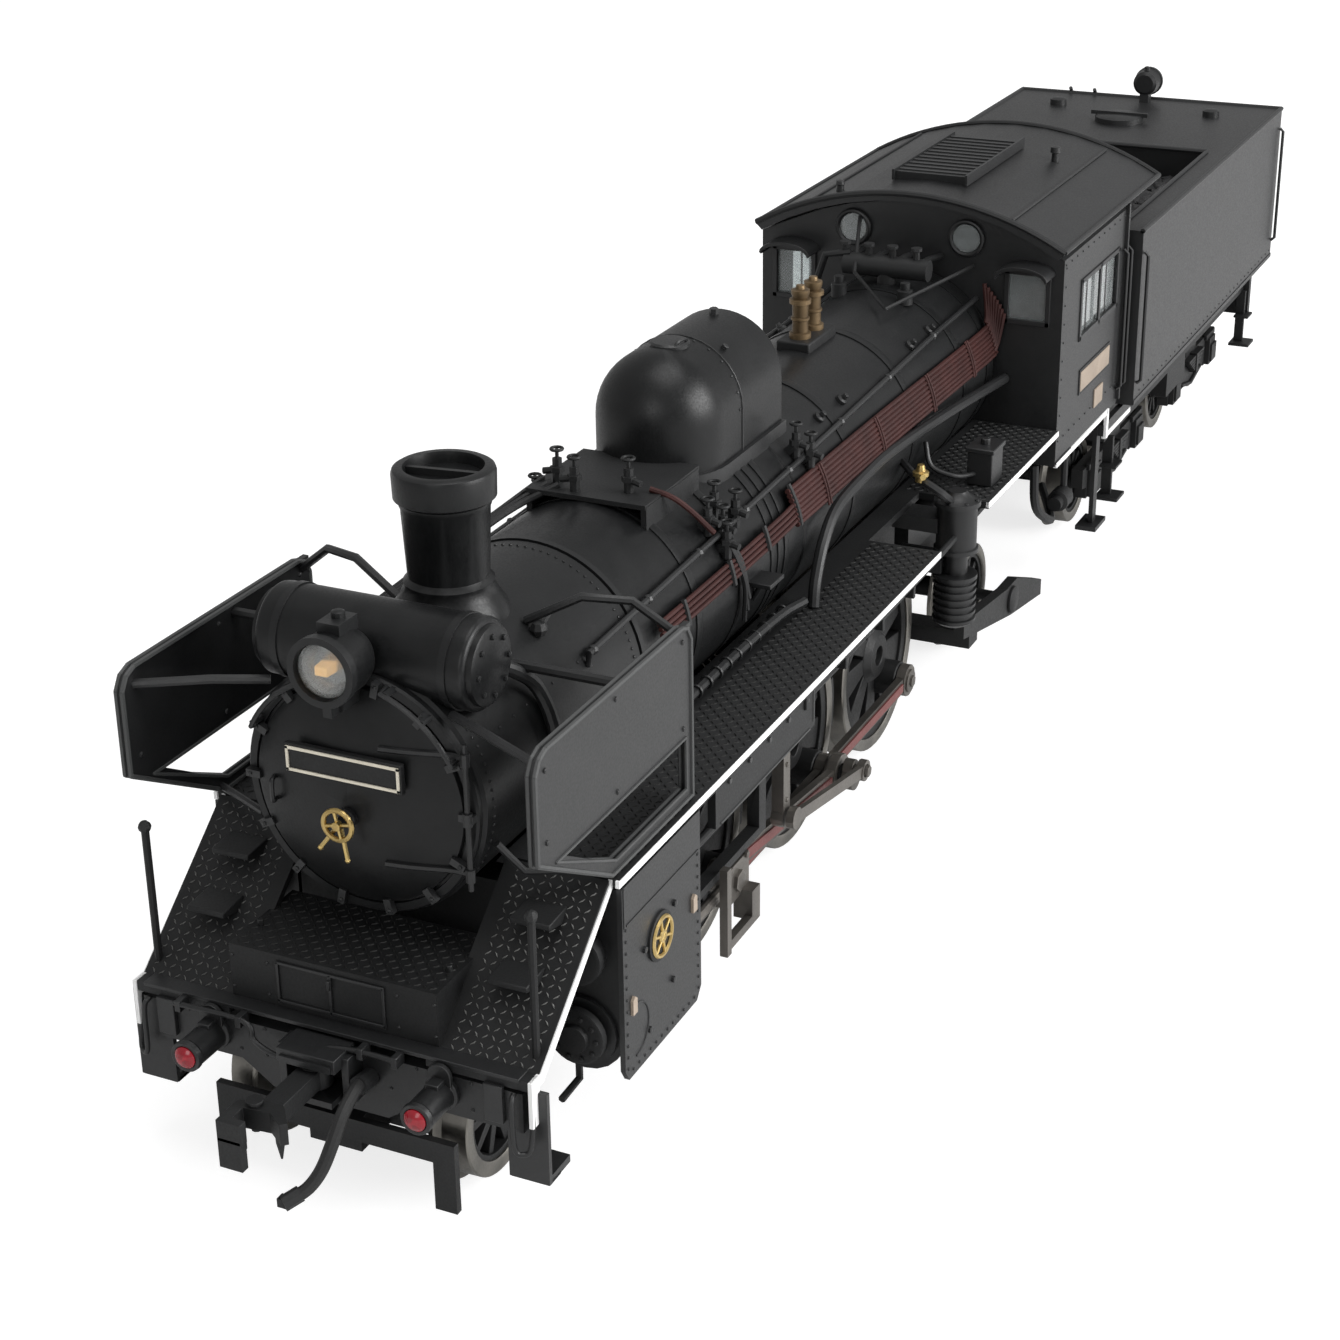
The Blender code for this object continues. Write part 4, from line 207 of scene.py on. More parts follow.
def noise(tree, scale, detail=3.0):
    coords = tree.nodes.new("ShaderNodeTexCoord")
    texture = new_node(tree, "ShaderNodeTexNoise", Scale=scale, Detail=detail)
    tree.links.new(coords.outputs["Object"], texture.inputs["Vector"])
    return texture.outputs["Fac"]


def ramp(tree, value, dark, light):
    """Colour that runs from dark to light over the middle of a noise value."""
    node = tree.nodes.new("ShaderNodeValToRGB")
    for element, place, colour in zip(node.color_ramp.elements, NOISE_SPAN, (dark, light)):
        element.position = place
        element.color = (*colour, 1)
    tree.links.new(value, node.inputs["Fac"])
    return node.outputs["Color"]


def spread(tree, value, from_low, from_high, low, high):
    limits = {"From_Min": from_low, "From_Max": from_high, "To_Min": low, "To_Max": high}
    node = new_node(tree, "ShaderNodeMapRange", **limits)
    tree.links.new(value, node.inputs["Value"])
    return node.outputs["Result"]


def material(name, dark, light, rough, metal=0.0, patch=420.0, grain=5200.0, depth=0.000012, specular=0.5):
    """Surface with broad colour variation, fine grain in roughness and bump, and lighter worn edges."""
    made = bpy.data.materials.new(name)
    tree, shader = nodes_of(made)
    colour = ramp(tree, noise(tree, patch), dark, light)
    wear = tree.nodes.new("ShaderNodeNewGeometry").outputs["Pointiness"]
    edge = spread(tree, wear, *WEAR_SPAN, 0.0, WEAR_SHARE)
    mix = tree.nodes.new("ShaderNodeMix")
    mix.data_type = "RGBA"
    tree.links.new(edge, mix.inputs["Factor"])
    tree.links.new(colour, mix.inputs["A"])
    mix.inputs["B"].default_value = (*[min(1, c * 2.2 + 0.01) for c in light], 1)
    tree.links.new(mix.outputs["Result"], shader.inputs["Base Color"])
    fine = noise(tree, grain, 4.0)
    gloss = spread(tree, fine, *NOISE_SPAN, *rough)
    tree.links.new(gloss, shader.inputs["Roughness"])
    bump = new_node(tree, "ShaderNodeBump", Strength=BUMP_STRENGTH, Distance=depth)
    tree.links.new(fine, bump.inputs["Height"])
    tree.links.new(bump.outputs["Normal"], shader.inputs["Normal"])
    shader.inputs["Metallic"].default_value = metal
    shader.inputs["Specular IOR Level"].default_value = specular
    return made


def clear_material(name, tint, rough):
    """Clear or tinted moulded lens."""
    made = bpy.data.materials.new(name)
    tree, shader = nodes_of(made)
    colour = ramp(tree, noise(tree, 900.0), tint, [min(1, c * 1.15) for c in tint])
    tree.links.new(colour, shader.inputs["Base Color"])
    shader.inputs["Roughness"].default_value = rough
    shader.inputs["Transmission Weight"].default_value = LENS_CLARITY
    shader.inputs["IOR"].default_value = LENS_IOR
    return made


def glow_material(name, colour, strength):
    made = material(name, colour, colour, (0.25, 0.4))
    shader = made.node_tree.nodes["Principled BSDF"]
    shader.inputs["Emission Color"].default_value = (*colour, 1)
    shader.inputs["Emission Strength"].default_value = strength
    return made


LOOKS = {
    "paint": material("satin_black", (0.0050, 0.0053, 0.0057), (0.0088, 0.0091, 0.0095), (0.36, 0.50)),
    "boiler": material("boiler_black", (0.0042, 0.0045, 0.0048), (0.0076, 0.0079, 0.0082), (0.30, 0.46),
                       specular=0.30),
    "matte": material("matte_black", (0.0044, 0.0046, 0.0049), (0.0076, 0.0079, 0.0082), (0.48, 0.64),
                      specular=0.36),
    "tick": material("dark_tick", (0.0065, 0.0065, 0.0065), (0.0120, 0.0120, 0.0115), (0.52, 0.68),
                     specular=0.22),
    "worn": material("worn_tick", (0.045, 0.045, 0.044), (0.125, 0.125, 0.120), (0.26, 0.42)),
    "steel": material("wheel_steel", (0.13, 0.125, 0.115), (0.22, 0.21, 0.19), (0.30, 0.46), metal=1.0),
    "rod": material("rod_steel", (0.075, 0.070, 0.064), (0.125, 0.116, 0.105), (0.36, 0.52), metal=0.8),
    "flute": material("flute_red", (0.060, 0.014, 0.013), (0.095, 0.024, 0.022), (0.45, 0.6)),
    "brass": material("satin_brass", (0.36, 0.245, 0.085), (0.50, 0.35, 0.14), (0.28, 0.42), metal=0.9),
    "aged_brass": material("aged_brass", (0.085, 0.056, 0.028), (0.15, 0.102, 0.052), (0.40, 0.55),
                           metal=0.7),
    "red": material("oxide_red", (0.019, 0.0058, 0.0050), (0.036, 0.0105, 0.0090), (0.5, 0.66),
                    specular=0.25),
    "white": material("line_white", (0.78, 0.78, 0.77), (0.86, 0.86, 0.85), (0.4, 0.55)),
    "cream": material("plate_cream", (0.55, 0.47, 0.32), (0.68, 0.60, 0.43), (0.4, 0.55)),
    "tan": material("plate_tan", (0.17, 0.135, 0.105), (0.25, 0.20, 0.155), (0.45, 0.6)),
    "grey": material("edge_grey", (0.020, 0.021, 0.021), (0.034, 0.035, 0.035), (0.42, 0.58)),
    "coal": material("coal", (0.004, 0.004, 0.0045), (0.015, 0.015, 0.016), (0.28, 0.75), patch=1500.0,
                     depth=0.00006),
    "rubber": material("hose_rubber", (0.006, 0.006, 0.006), (0.011, 0.011, 0.011), (0.55, 0.72)),
    "lens": clear_material("clear_lens", (0.62, 0.64, 0.64), 0.16),
    "pane": clear_material("cab_pane", (0.72, 0.76, 0.76), 0.06),
    "red_lens": material("red_lens", (0.16, 0.004, 0.010), (0.26, 0.008, 0.016), (0.10, 0.18)),
    "reflector": material("reflector", (0.15, 0.15, 0.145), (0.24, 0.24, 0.23), (0.22, 0.34), metal=0.9),
    "led": glow_material("amber_led", (0.95, 0.52, 0.17), 0.9),
}
SLOTS = {
    "paint": "black_paint", "boiler": "black_paint", "matte": "black_casting", "steel": "steel",
    "rod": "rod_steel", "brass": "brass", "aged_brass": "brass", "red": "oxide_red", "coal": "coal",
    "rubber": "rubber", "lens": "clear",
}


# Places.

def mirror(side, *values):
    """Values across the part on one side, lowest first."""
    return sorted(side * v for v in values)


def flip(side, *points):
    """Points of the left side, carried to the side asked for."""
    return [(x, side * y, z) for x, y, z in points]


def around(middle, half):
    return (middle - half, middle + half)


def upright(x, y, low, high):
    return [(x, y, low), (x, y, high)]


def lateral(x, half, z):
    return [(x, -half, z), (x, half, z)]


def polar(degrees, radius=1.0):
    a = math.radians(degrees)
    return radius * math.cos(a), radius * math.sin(a)


def spots(count, radius, lead=0.0):
    """Places spaced evenly on a circle."""
    angles = [lead + math.tau * k / count for k in range(count)]
    return [(radius * math.cos(a), radius * math.sin(a)) for a in angles]


def on_boiler(x, degrees, radius=BOILER_R):
    """Point over the boiler, degrees from the top towards the left."""
    rise, out = polar(degrees, radius)
    return Vector((x, out, BOILER_Z + rise))


def out_of_boiler(degrees):
    rise, out = polar(degrees)
    return Vector((0, out, rise))


def smooth_path(points, steps=6):
    """Catmull-Rom curve through the points."""
    points = [Vector(p) for p in points]
    ends = [2 * points[0] - points[1]] + points + [2 * points[-1] - points[-2]]
    path = []
    for a, b, c, d in zip(ends, ends[1:], ends[2:], ends[3:]):
        for i in range(steps):
            t = i / steps
            path.append(0.5 * (2 * b + (c - a) * t + (2 * a - 5 * b + 4 * c - d) * t * t
                               + (3 * b - a - 3 * c + d) * t ** 3))
    return path + [points[-1]]


def circle_rows(centres, radii, first, second, sides):
    """One ring of points round each centre, in the plane of two directions."""
    angles = [math.tau * k / sides for k in range(sides)]
    ways = [math.cos(a) * first + math.sin(a) * second for a in angles]
    return [[centre + radius * way for way in ways] for centre, radius in zip(centres, radii)]


# Shape building.

class Shape:
    """Closed solids collected in one mesh, in millimetres."""

    BOX_FACES = [(0, 1, 3, 2), (4, 5, 7, 6), (0, 1, 5, 4), (2, 3, 7, 6), (0, 2, 6, 4), (1, 3, 7, 5)]

    def __init__(self):
        self.bm = bmesh.new()

    def add(self, points, faces):
        verts = [self.bm.verts.new(p) for p in points]
        for face in faces:
            self.bm.faces.new([verts[i] for i in face])
        return self

    def grid(self, rows, caps=True):
        """Skin over rows of points, each row a ring."""
        count = len(rows[0])
        last = (len(rows) - 1) * count
        faces = []
        for r in range(0, last, count):
            for i in range(count):
                j = (i + 1) % count
                faces.append((r + i, r + j, r + count + j, r + count + i))
        if caps:
            faces.append(range(count))
            faces.append(range(last, last + count))
        return self.add([p for row in rows for p in row], faces)

    def box(self, x, y, z, turn=None):
        points = [Vector((a, b, c)) for a in x for b in y for c in z]
        if turn:
            centre = sum(points, Vector()) / 8
            points = [centre + turn @ (p - centre) for p in points]
        return self.add(points, self.BOX_FACES)

    def prism(self, outline, plane, low, high):
        def place(a, b, t):
            return {"XZ": (a, t, b), "YZ": (t, a, b), "XY": (a, b, t)}[plane]
        return self.grid([[place(a, b, t) for a, b in outline] for t in (low, high)])

    def tube(self, points, radius, sides=8):
        points = [Vector(p) for p in points]
        tangents = [(after - before).normalized()
                    for before, after in zip(points[:1] + points, points[1:] + points[-1:])]
        normal = tangents[0].orthogonal().normalized()
        rows = []
        for point, tangent in zip(points, tangents):
            normal = (normal - tangent * normal.dot(tangent)).normalized()
            rows += circle_rows([point], [radius], normal, tangent.cross(normal), sides)
        return self.grid(rows)

    def pipe(self, points, radius, sides=8, steps=6):
        """Tube along a smooth curve through the points."""
        return self.tube(smooth_path(points, steps), radius, sides)

    def ring(self, centre, axis, radius, thick, steps=32, sides=8):
        """Torus about an axis."""
        axis = Vector(axis).normalized()
        first = axis.orthogonal().normalized()
        second = axis.cross(first)
        rows = []
        for i in range(steps + 1):
            a = math.tau * i / steps
            out = math.cos(a) * first + math.sin(a) * second
            rows += circle_rows([Vector(centre) + radius * out], [thick], out, axis, sides)
        return self.grid(rows, caps=False)

    def turn(self, profile, origin, axis, sides=20):
        """Solid of revolution: profile pairs are (distance along the axis, radius)."""
        axis = Vector(axis).normalized()
        first = axis.orthogonal().normalized()
        centres = [Vector(origin) + along * axis for along, _ in profile]
        radii = [max(radius, 0.001) for _, radius in profile]
        return self.grid(circle_rows(centres, radii, first, axis.cross(first), sides))

    def ball(self, centre, radius, sides=8):
        steps = sides // 2
        arc = [math.pi * i / steps for i in range(steps + 1)]
        return self.turn([(-radius * math.cos(a), radius * math.sin(a)) for a in arc], centre, UP, sides)

    def rivet(self, place, normal, radius=0.16):
        """Low domed head on a surface."""
        head = [(-0.05, radius), (radius * 0.45, radius * 0.8), (radius * 0.7, radius * 0.3)]
        return self.turn(head, place, normal, 6)

    def nut(self, place, normal, radius, height):
        return self.turn([(-0.05, radius), (height, radius), (height * 1.15, radius * 0.7)], place, normal, 6)


def piece(name, shape, look, body="chassis", replaces=(), bevel=0.0):
    """Makes the object, gives it its look, and sets it riding on a CAD body."""
    bm = shape.bm
    bmesh.ops.remove_doubles(bm, verts=bm.verts, dist=MERGE_GAP)
    bmesh.ops.recalc_face_normals(bm, faces=bm.faces)
    bmesh.ops.scale(bm, vec=(MM, MM, MM), verts=bm.verts)
    for face in bm.faces:
        face.smooth = True
    mesh = bpy.data.meshes.new(name)
    bm.to_mesh(mesh)
    bm.free()
    mesh.set_sharp_from_angle(angle=SMOOTH_ANGLE)
    mesh.materials.append(LOOKS[look])
    made = bpy.data.objects.new(name, mesh)
    bpy.context.scene.collection.objects.link(made)
    if bevel:
        edges = made.modifiers.new("edges", "BEVEL")
        edges.width = bevel * MM
        edges.segments = 2
        edges.limit_method = "ANGLE"
        edges.angle_limit = BEVEL_ANGLE
    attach(made, body)
    if replaces:
        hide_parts(*replaces)


# CAD nodes that stay in view.

def dress_nodes():
    looks = {slot: look for look, slot in reversed(SLOTS.items())}
    for entry in frame["record"]["subparts"]:
        node = frame["nodes"][entry["node"]]
        look = LOOKS[looks[entry["material_slot"]]]
        if not node.material_slots:
            node.data.materials.append(look)
        for slot in node.material_slots:
            slot.material = look


# Boiler, smokebox and their fittings.

def boiler_turn(shape, profile):
    """Solid of revolution about the boiler's axis."""
    shape.turn(profile, (0, 0, BOILER_Z), FORWARD, BOILER_SIDES)


def make_boiler():
    r = BOILER_R
    low = r - CLAD_STEP
    shape = Shape()
    boiler_turn(shape, [(CAB_X, r), (CLAD_JOINT_X, r), (CLAD_JOINT_X + CLAD_STEP, low),
                        (SMOKEBOX_REAR_X, low), (SMOKEBOX_REAR_X, r), (SMOKEBOX_FRONT_X - 0.3, r),
                        (SMOKEBOX_FRONT_X, r - 0.3)])
    shape.box((CAB_X, 4.0), (-6.5, 6.5), (13.6, 25.0))
    piece("boiler_cladding", shape, "boiler", replaces=["boiler_shell"])
    bands = Shape()
    for x, width in BANDS:
        high = (r if x < CLAD_JOINT_X else low) + 0.14
        section = [(-width, -0.3), (-width, -0.03), (-width * 0.6, 0), (width * 0.6, 0), (width, -0.03),
                   (width, -0.3)]
        boiler_turn(bands, [(x + along, high + rise) for along, rise in section])
    boiler_turn(bands, [(72.6, r - 0.3), (72.6, r + 0.12), (73.2, r + 0.12), (73.2, r - 0.3)])
    piece("boiler_bands", bands, "boiler")
    rivets = Shape()
    for degrees in range(-126, 127, 4):
        for x in (74.4, 97.3):
            rivets.rivet(on_boiler(x, degrees), out_of_boiler(degrees), 0.15)
    for x in range(78, 97, 2):
        for degrees in (-62, 62):
            rivets.rivet(on_boiler(x, degrees), out_of_boiler(degrees), 0.13)
    piece("smokebox_rivets", rivets, "boiler")


def door_bulge(square):
    """How far the door's face stands out, for the square of a distance from its centre."""
    return DOOR_BULGE * (1 - min(1, square / DOOR_R ** 2))


def make_door():
    shape = Shape()
    boiler_turn(shape, [(98.4, 9.45), (98.9, 9.45), (99.1, 9.3), (99.15, 8.7), (98.9, 8.65)])
    profile = [(98.6, DOOR_R), (DOOR_X, DOOR_R)]
    for i in range(ARC_STEPS + 1):
        r = DOOR_R * math.cos(math.pi / 2 * i / ARC_STEPS) - 0.05
        profile.append((DOOR_X + 0.12 + door_bulge(r * r), max(r, 0)))
    boiler_turn(shape, profile)
    piece("door_plate", shape, "boiler", replaces=["smokebox_door"])


def make_door_fittings():
    trim = Shape()
    for k in range(DOG_COUNT):
        degrees = 360 / DOG_COUNT * (k + 0.5)
        turn = Matrix.Rotation(-math.radians(degrees), 3, "X")
        spot = on_boiler(99.35, degrees, 8.75)
        trim.box((spot.x - 0.25, spot.x + 0.3), around(spot.y, 0.28), around(spot.z, 0.6), turn)
        trim.rivet(spot + Vector((0.3, 0, 0)) + out_of_boiler(degrees) * 0.25, FORWARD, 0.2)
    for z in (4.6, -4.4):
        reach = [8.5 - i * 0.85 for i in range(8)]
        trim.tube([(DOOR_X + 0.2 + door_bulge(y * y + z * z), y, BOILER_Z + z) for y in reach], 0.24, 6)
    trim.tube(upright(HINGE_X, HINGE_Y, BOILER_Z - 5.6, BOILER_Z + 5.8), 0.2)
    for z in (-4.4, 0, 4.6):
        trim.tube(upright(HINGE_X, HINGE_Y, *around(BOILER_Z + z, 0.5)), 0.36)
    trim.pipe([(99.9, -6.7, 30.4), (100.6, -6.5, 30.2), (100.6, -6.5, 28.8), (99.9, -6.7, 28.6)], 0.17, 6)
    for side in BOTH:
        rail = [on_boiler(100.2, side * d, RAIL_R) for d in range(18, 64, 5)]
        trim.tube([on_boiler(99.0, side * 17, RAIL_R), *rail, on_boiler(99.0, side * 64, RAIL_R)], 0.2)
        for d in (20, 40, 61):
            trim.tube([on_boiler(x, side * d, RAIL_R) for x in (98.9, 100.2)], 0.28, 6)
    trim.turn([(100.6, 0.75), (101.3, 0.75), (101.4, 0.45), (102.2, 0.4)], (0, 0, HANDWHEEL[2]), FORWARD, 16)
    piece("door_fittings", trim, "paint")


def make_handwheel():
    wheel = Shape()
    hub = Vector(HANDWHEEL)
    wheel.ring(hub, FORWARD, HANDWHEEL_R, 0.2)
    for y, z in spots(4, HANDWHEEL_R, math.radians(12)):
        wheel.tube([hub, hub + Vector((0, y, z))], 0.15, 6)
    wheel.turn([(-0.35, 0.34), (0.3, 0.34), (0.36, 0.2)], hub, FORWARD, 12)
    for degrees in (-128, -82):
        tip = hub + Vector((-0.35, *polar(degrees, 2.9)))
        wheel.tube([hub - Vector((0.3, 0, 0)), tip], 0.17, 6)
        wheel.ball(tip, 0.22)
    piece("door_handwheel", wheel, "brass")


def make_front_plate():
    plate = Shape()
    plate.box((100.75, 101.25), (-4.75, 4.75), (31.75, 34.05))
    for y in (-3, 3):
        plate.tube([(99.6, y, 32.9), (100.9, y, 32.9)], 0.3)
    piece("front_plate", plate, "matte", bevel=0.06)
    border = Shape()
    face = (101.22, 101.36)
    for z in (31.95, 33.65):
        border.box(face, (-4.6, 4.6), (z, z + 0.2))
    for y in (-4.6, 4.4):
        border.box(face, (y, y + 0.2), (31.96, 33.84))
    piece("front_plate_border", border, "cream")


def make_heater():
    shape = Shape()
    ends = [(0, 2.6), (0.15, 2.9), (0.55, 2.95), (0.6, 3.2), (0.75, 3.35), (0.95, 3.4), (1.9, 3.4),
            (1.92, 3.5), (2.5, 3.5), (2.52, 3.4)]
    profile = [(a - HEATER_HALF, r) for a, r in ends] + [(HEATER_HALF - a, r) for a, r in reversed(ends)]
    shape.turn(profile, (HEATER_X, 0, HEATER_Z), LEFT, 56)
    saddle = [(HEATER_X - 3.0, 36.0), (HEATER_X + 2.6, 36.0), (HEATER_X + 3.1, HEATER_Z),
              (HEATER_X - 3.1, HEATER_Z)]
    for side in BOTH:
        shape.prism(saddle, "XZ", side * 4.6, side * 5.6)
        for x, z in spots(8, 2.2):
            shape.nut((HEATER_X + x, side * HEATER_HALF, HEATER_Z + z), (0, side, 0), 0.22, 0.16)
    piece("heater_drum", shape, "boiler", replaces=["feedwater_heater"])
    pipes = Shape()
    for side in BOTH:
        pipes.pipe(flip(side, (HEATER_X - 2.6, 7.4, 38.6), (91.0, 8.2, 37.6), (89.0, 8.9, 35.6),
                        (88.4, 9.9, 32.0), (88.4, 10.2, 26.0)), 0.55, 10)
    piece("heater_pipes", pipes, "paint")


def make_headlight():
    centre = (0, 0, HEADLIGHT_Z)
    shape = Shape()
    shape.turn([(98.7, 1.0), (98.9, 1.7), (99.6, 2.2), (100.4, 2.45), (102.5, 2.45), (102.5, 2.62),
                (103.2, 2.62), (103.2, 2.1), (102.3, 2.0), (101.6, 1.2), (101.5, 0.4)], centre, FORWARD, 40)
    shape.box((99.4, 101.8), (-0.9, 0.9), (43.0, 44.1))
    shape.turn([(0, 0.5), (0.9, 0.5), (1.0, 0.3)], (100.4, 0, 43.6), UP, 10)
    shape.box((99.2, 101.6), (-0.7, 0.7), (37.6, 39.2))
    shape.box((100.2, 102.6), (-0.35, 0.35), (37.4, 39.0))
    piece("headlight_case", shape, "boiler", replaces=["headlight_housing"])
    bowl = Shape()
    bowl.turn([(101.62, 1.15), (101.75, 1.3), (102.4, 1.98), (102.35, 2.02), (101.6, 1.3)], centre, FORWARD,
              32)
    bowl.turn([(101.6, 1.2), (101.66, 1.2)], centre, FORWARD, 24)
    piece("headlight_reflector", bowl, "reflector")
    led = Shape()
    led.box((101.6, 102.46), (-0.72, 0.28), (HEADLIGHT_Z - 0.48, HEADLIGHT_Z + 0.22))
    piece("headlight_led", led, "led", bevel=0.1)
    lens = Shape()
    lens.turn([(102.5, 2.02), (102.75, 2.0), (102.95, 1.5), (103.05, 0.8), (103.08, 0)], centre, FORWARD, 40)
    piece("headlight_glass", lens, "lens", replaces=["headlight_lens"])


def make_chimney():
    shape = Shape()
    profile = [(38.0, 4.6), (39.3, 4.3), (40.2, 3.7), (40.9, 3.35), (41.3, 3.4), (41.5, 3.2), (41.7, 3.05),
               (47.0, 3.3), (47.2, 3.4), (47.5, 3.4), (47.7, 3.6), (47.8, 3.8), (49.6, 3.85), (49.9, 3.75),
               (50.05, 3.5), (50.05, 3.0), (49.6, 2.9), (49.2, 2.88), (49.2, 0)]
    shape.turn(profile, (CHIMNEY_X, 0, 0), UP, 56)
    turn = Matrix.Rotation(math.radians(8), 3, "Z")
    shape.box(around(CHIMNEY_X, 0.2), (-2.9, 2.9), (49.0, 49.75), turn)
    piece("chimney_casting", shape, "boiler", replaces=["chimney"])


def dome_shell():
    """Round-fronted casing with a flat back, closed underneath."""
    arc = [(DOME_CENTRE_X, *polar(a)) for a in range(0, 181, 6)]
    rows = []
    for x, ny, nx in [(DOME_REAR_X, 1.0, 0.0), *arc, (DOME_REAR_X, -1.0, 0.0)]:
        row = [(x + DOME_R * nx, DOME_R * ny, DOME_FOOT_Z)]
        for i in range(ARC_STEPS + 1):
            reach, rise = polar(90 * i / ARC_STEPS, DOME_R)
            row.append((x + reach * nx, reach * ny, DOME_CROWN_Z + rise))
        rows.append(row)
    count = len(rows[0])
    last = (len(rows) - 1) * count
    faces = []
    for r in range(0, last, count):
        for k in range(r, r + count - 1):
            faces.append((k, k + 1, k + count + 1, k + count))
    faces.append([*range(count), *range(last + count - 2, last - 1, -1)])
    faces.append(range(0, last + 1, count))
    shape = Shape().add([p for row in rows for p in row], faces)
    bmesh.ops.remove_doubles(shape.bm, verts=shape.bm.verts, dist=0.001)
    return shape


def make_dome():
    piece("dome_casing", dome_shell(), "boiler", replaces=["steam_dome"], bevel=0.3)
    trim = Shape()
    reach = DOME_R + 0.02
    over = [polar(a, reach) for a in range(10, 171, 10)]
    seam = [(reach, 38.0 - DOME_CROWN_Z), (reach, 0), *over, (-reach, 0), (-reach, 38.0 - DOME_CROWN_Z)]
    trim.tube([(DOME_SEAM_X, y, DOME_CROWN_Z + z) for y, z in seam], 0.09, 6)
    for a in range(0, 181, 15):
        way = Vector((0, *polar(a)))
        trim.rivet(Vector((DOME_SEAM_X + 0.5, 0, DOME_CROWN_Z)) + way * DOME_R, way)
    trim.turn([(0, 1.75), (0.35, 1.75), (0.5, 1.55), (0.55, 0)], (DOME_LID_X, 0, DOME_TOP_Z - 0.3), UP, 28)
    grip = ((-0.6, 1.3, 0), (-0.2, 1.4, 0.4), (0.8, 1.2, 0.4), (1.2, 1.0, 0))
    trim.pipe([(DOME_LID_X + x, y, DOME_TOP_Z + z) for x, y, z in grip], 0.15, 6)
    trim.nut((38.0, 0, DOME_TOP_Z - 0.05), UP, 0.42, 0.55)
    trim.nut((43.6, 3.4, DOME_TOP_Z - 1.2), (0, 0.6, 0.8), 0.3, 0.4)
    base = [(DOME_CENTRE_X + x, y) for x, y in (polar(a, DOME_BASE_R) for a in range(-90, 91, 10))]
    trim.prism(base + [(DOME_REAR_X, DOME_BASE_R), (DOME_REAR_X, -DOME_BASE_R)], "XY", 37.2, 38.7)
    piece("dome_fittings", trim, "paint")


def make_safety_valves():
    base = Shape()
    base.box((12.9, 19.9), (-1.7, 1.7), (39.2, 40.5))
    piece("valve_base", base, "matte", bevel=0.15)
    shape = Shape()
    for x in VALVE_X:
        shape.turn([(40.3, 1.05), (41.0, 1.05), (41.1, 0.8), (42.2, 0.75), (42.3, 0.9), (42.5, 0.9),
                    (42.6, 0.75), (43.8, 0.78), (43.9, 1.05), (44.3, 1.05), (44.4, 0.75), (44.9, 0.9),
                    (45.2, 0.9), (45.3, 0.5), (45.65, 0.4), (45.7, 0)], (x, 0, 0), UP)
    piece("valve_brass", shape, "aged_brass", replaces=["safety_valves"])


def boiler_path(*places):
    return [on_boiler(*place) for place in places]


def make_pipe_bundle():
    pipes = Shape()
    for k in range(4):
        d = 72 + 2.6 * k
        pipes.pipe(boiler_path((70.4, d, 10.25), (56, d, 10.2), (44.5, d - 1, 10.2), (42.0, d - 3, 10.3)),
                   0.2, steps=3)
    for k in range(8):
        d = 63 + 2.45 * k
        pipes.pipe(boiler_path((43.0, d, 10.25), (20, d, 10.25), (-8.8, d + 1.5, 10.25), (-10.8, d - 2, 10.5),
                               (-11.4, d - 9, 11.1), (-11.6, d - 19, 12.4)), 0.24, steps=4)
    for x in (36, 22, 8, -4):
        for dx in (-0.25, 0.25):
            pipes.tube([on_boiler(x + dx, d, 10.5) for d in range(62, 84, 3)], 0.12, 6)
    pipes.pipe([(60.6, 4.4, 40.3), (60.2, 6.2, 39.7), (59.0, 7.4, 38.2), (57.4, 8.6, 36.0)], 0.25)
    piece("red_pipes", pipes, "red", replaces=["pipe_bundle"])
    clips = Shape()
    for x, low, high in ((66, 70, 83), (57, 70, 83), (49.5, 68, 83), (42.6, 60, 84)):
        clips.tube([on_boiler(x, d, 10.4) for d in range(low, high, 3)], 0.26, 6)
    piece("pipe_clips", clips, "matte")


def make_handrails():
    rails = Shape()
    for side in BOTH:
        line = [Vector(p) for p in flip(side, (81.0, 9.0, 34.9), (40.0, 8.35, 35.85), (-0.5, 7.6, 36.9))]
        end = line[2] + Vector((-11.0, 0.2 * side, 0.4))
        rails.tube([line[0] + Vector((0, 0, -1.0)), *line, end], 0.27)
        for t in (0.02, 0.26, 0.5, 0.74, 0.98, 1.3, 1.62, 1.95):
            spot = line[0].lerp(line[1], t) if t <= 1 else line[1].lerp(line[2], t - 1)
            way = Vector((0, spot.y, spot.z - BOILER_Z)).normalized()
            rails.tube([spot - way * 1.1, spot + way * 0.15], 0.24, 6)
            rails.ball(spot, 0.42)
    piece("boiler_handrails", rails, "paint")
    pipe = Shape()
    rise = [(42.0, 11.3, 23.8), (41.3, 11.2, 26.0), (39.0, 11.0, 28.8), (35.0, 10.7, 30.7)]
    pipe.pipe(rise + [(27, 10.5, 31.2), (19.8, 10.5, 31.2), (5, 10.8, 30.3), (-11.6, 11.2, 28.9)], 0.55, 10)
    pipe.pipe(flip(-1, *rise, (19.8, 10.5, 31.2), (-11.6, 11.2, 28.9)), 0.5, 10)
    pipe.pipe([(72.0, 9.9, 24.6), (60.0, 9.9, 24.7), (48.0, 10.2, 24.8), (43.0, 10.8, 24.6)], 0.45)
    for x in range(46, 72, 2):
        pipe.ring((x, 9.95, 24.7), FORWARD, 0.5, 0.14, 12, 6)
    piece("side_pipes", pipe, "paint")


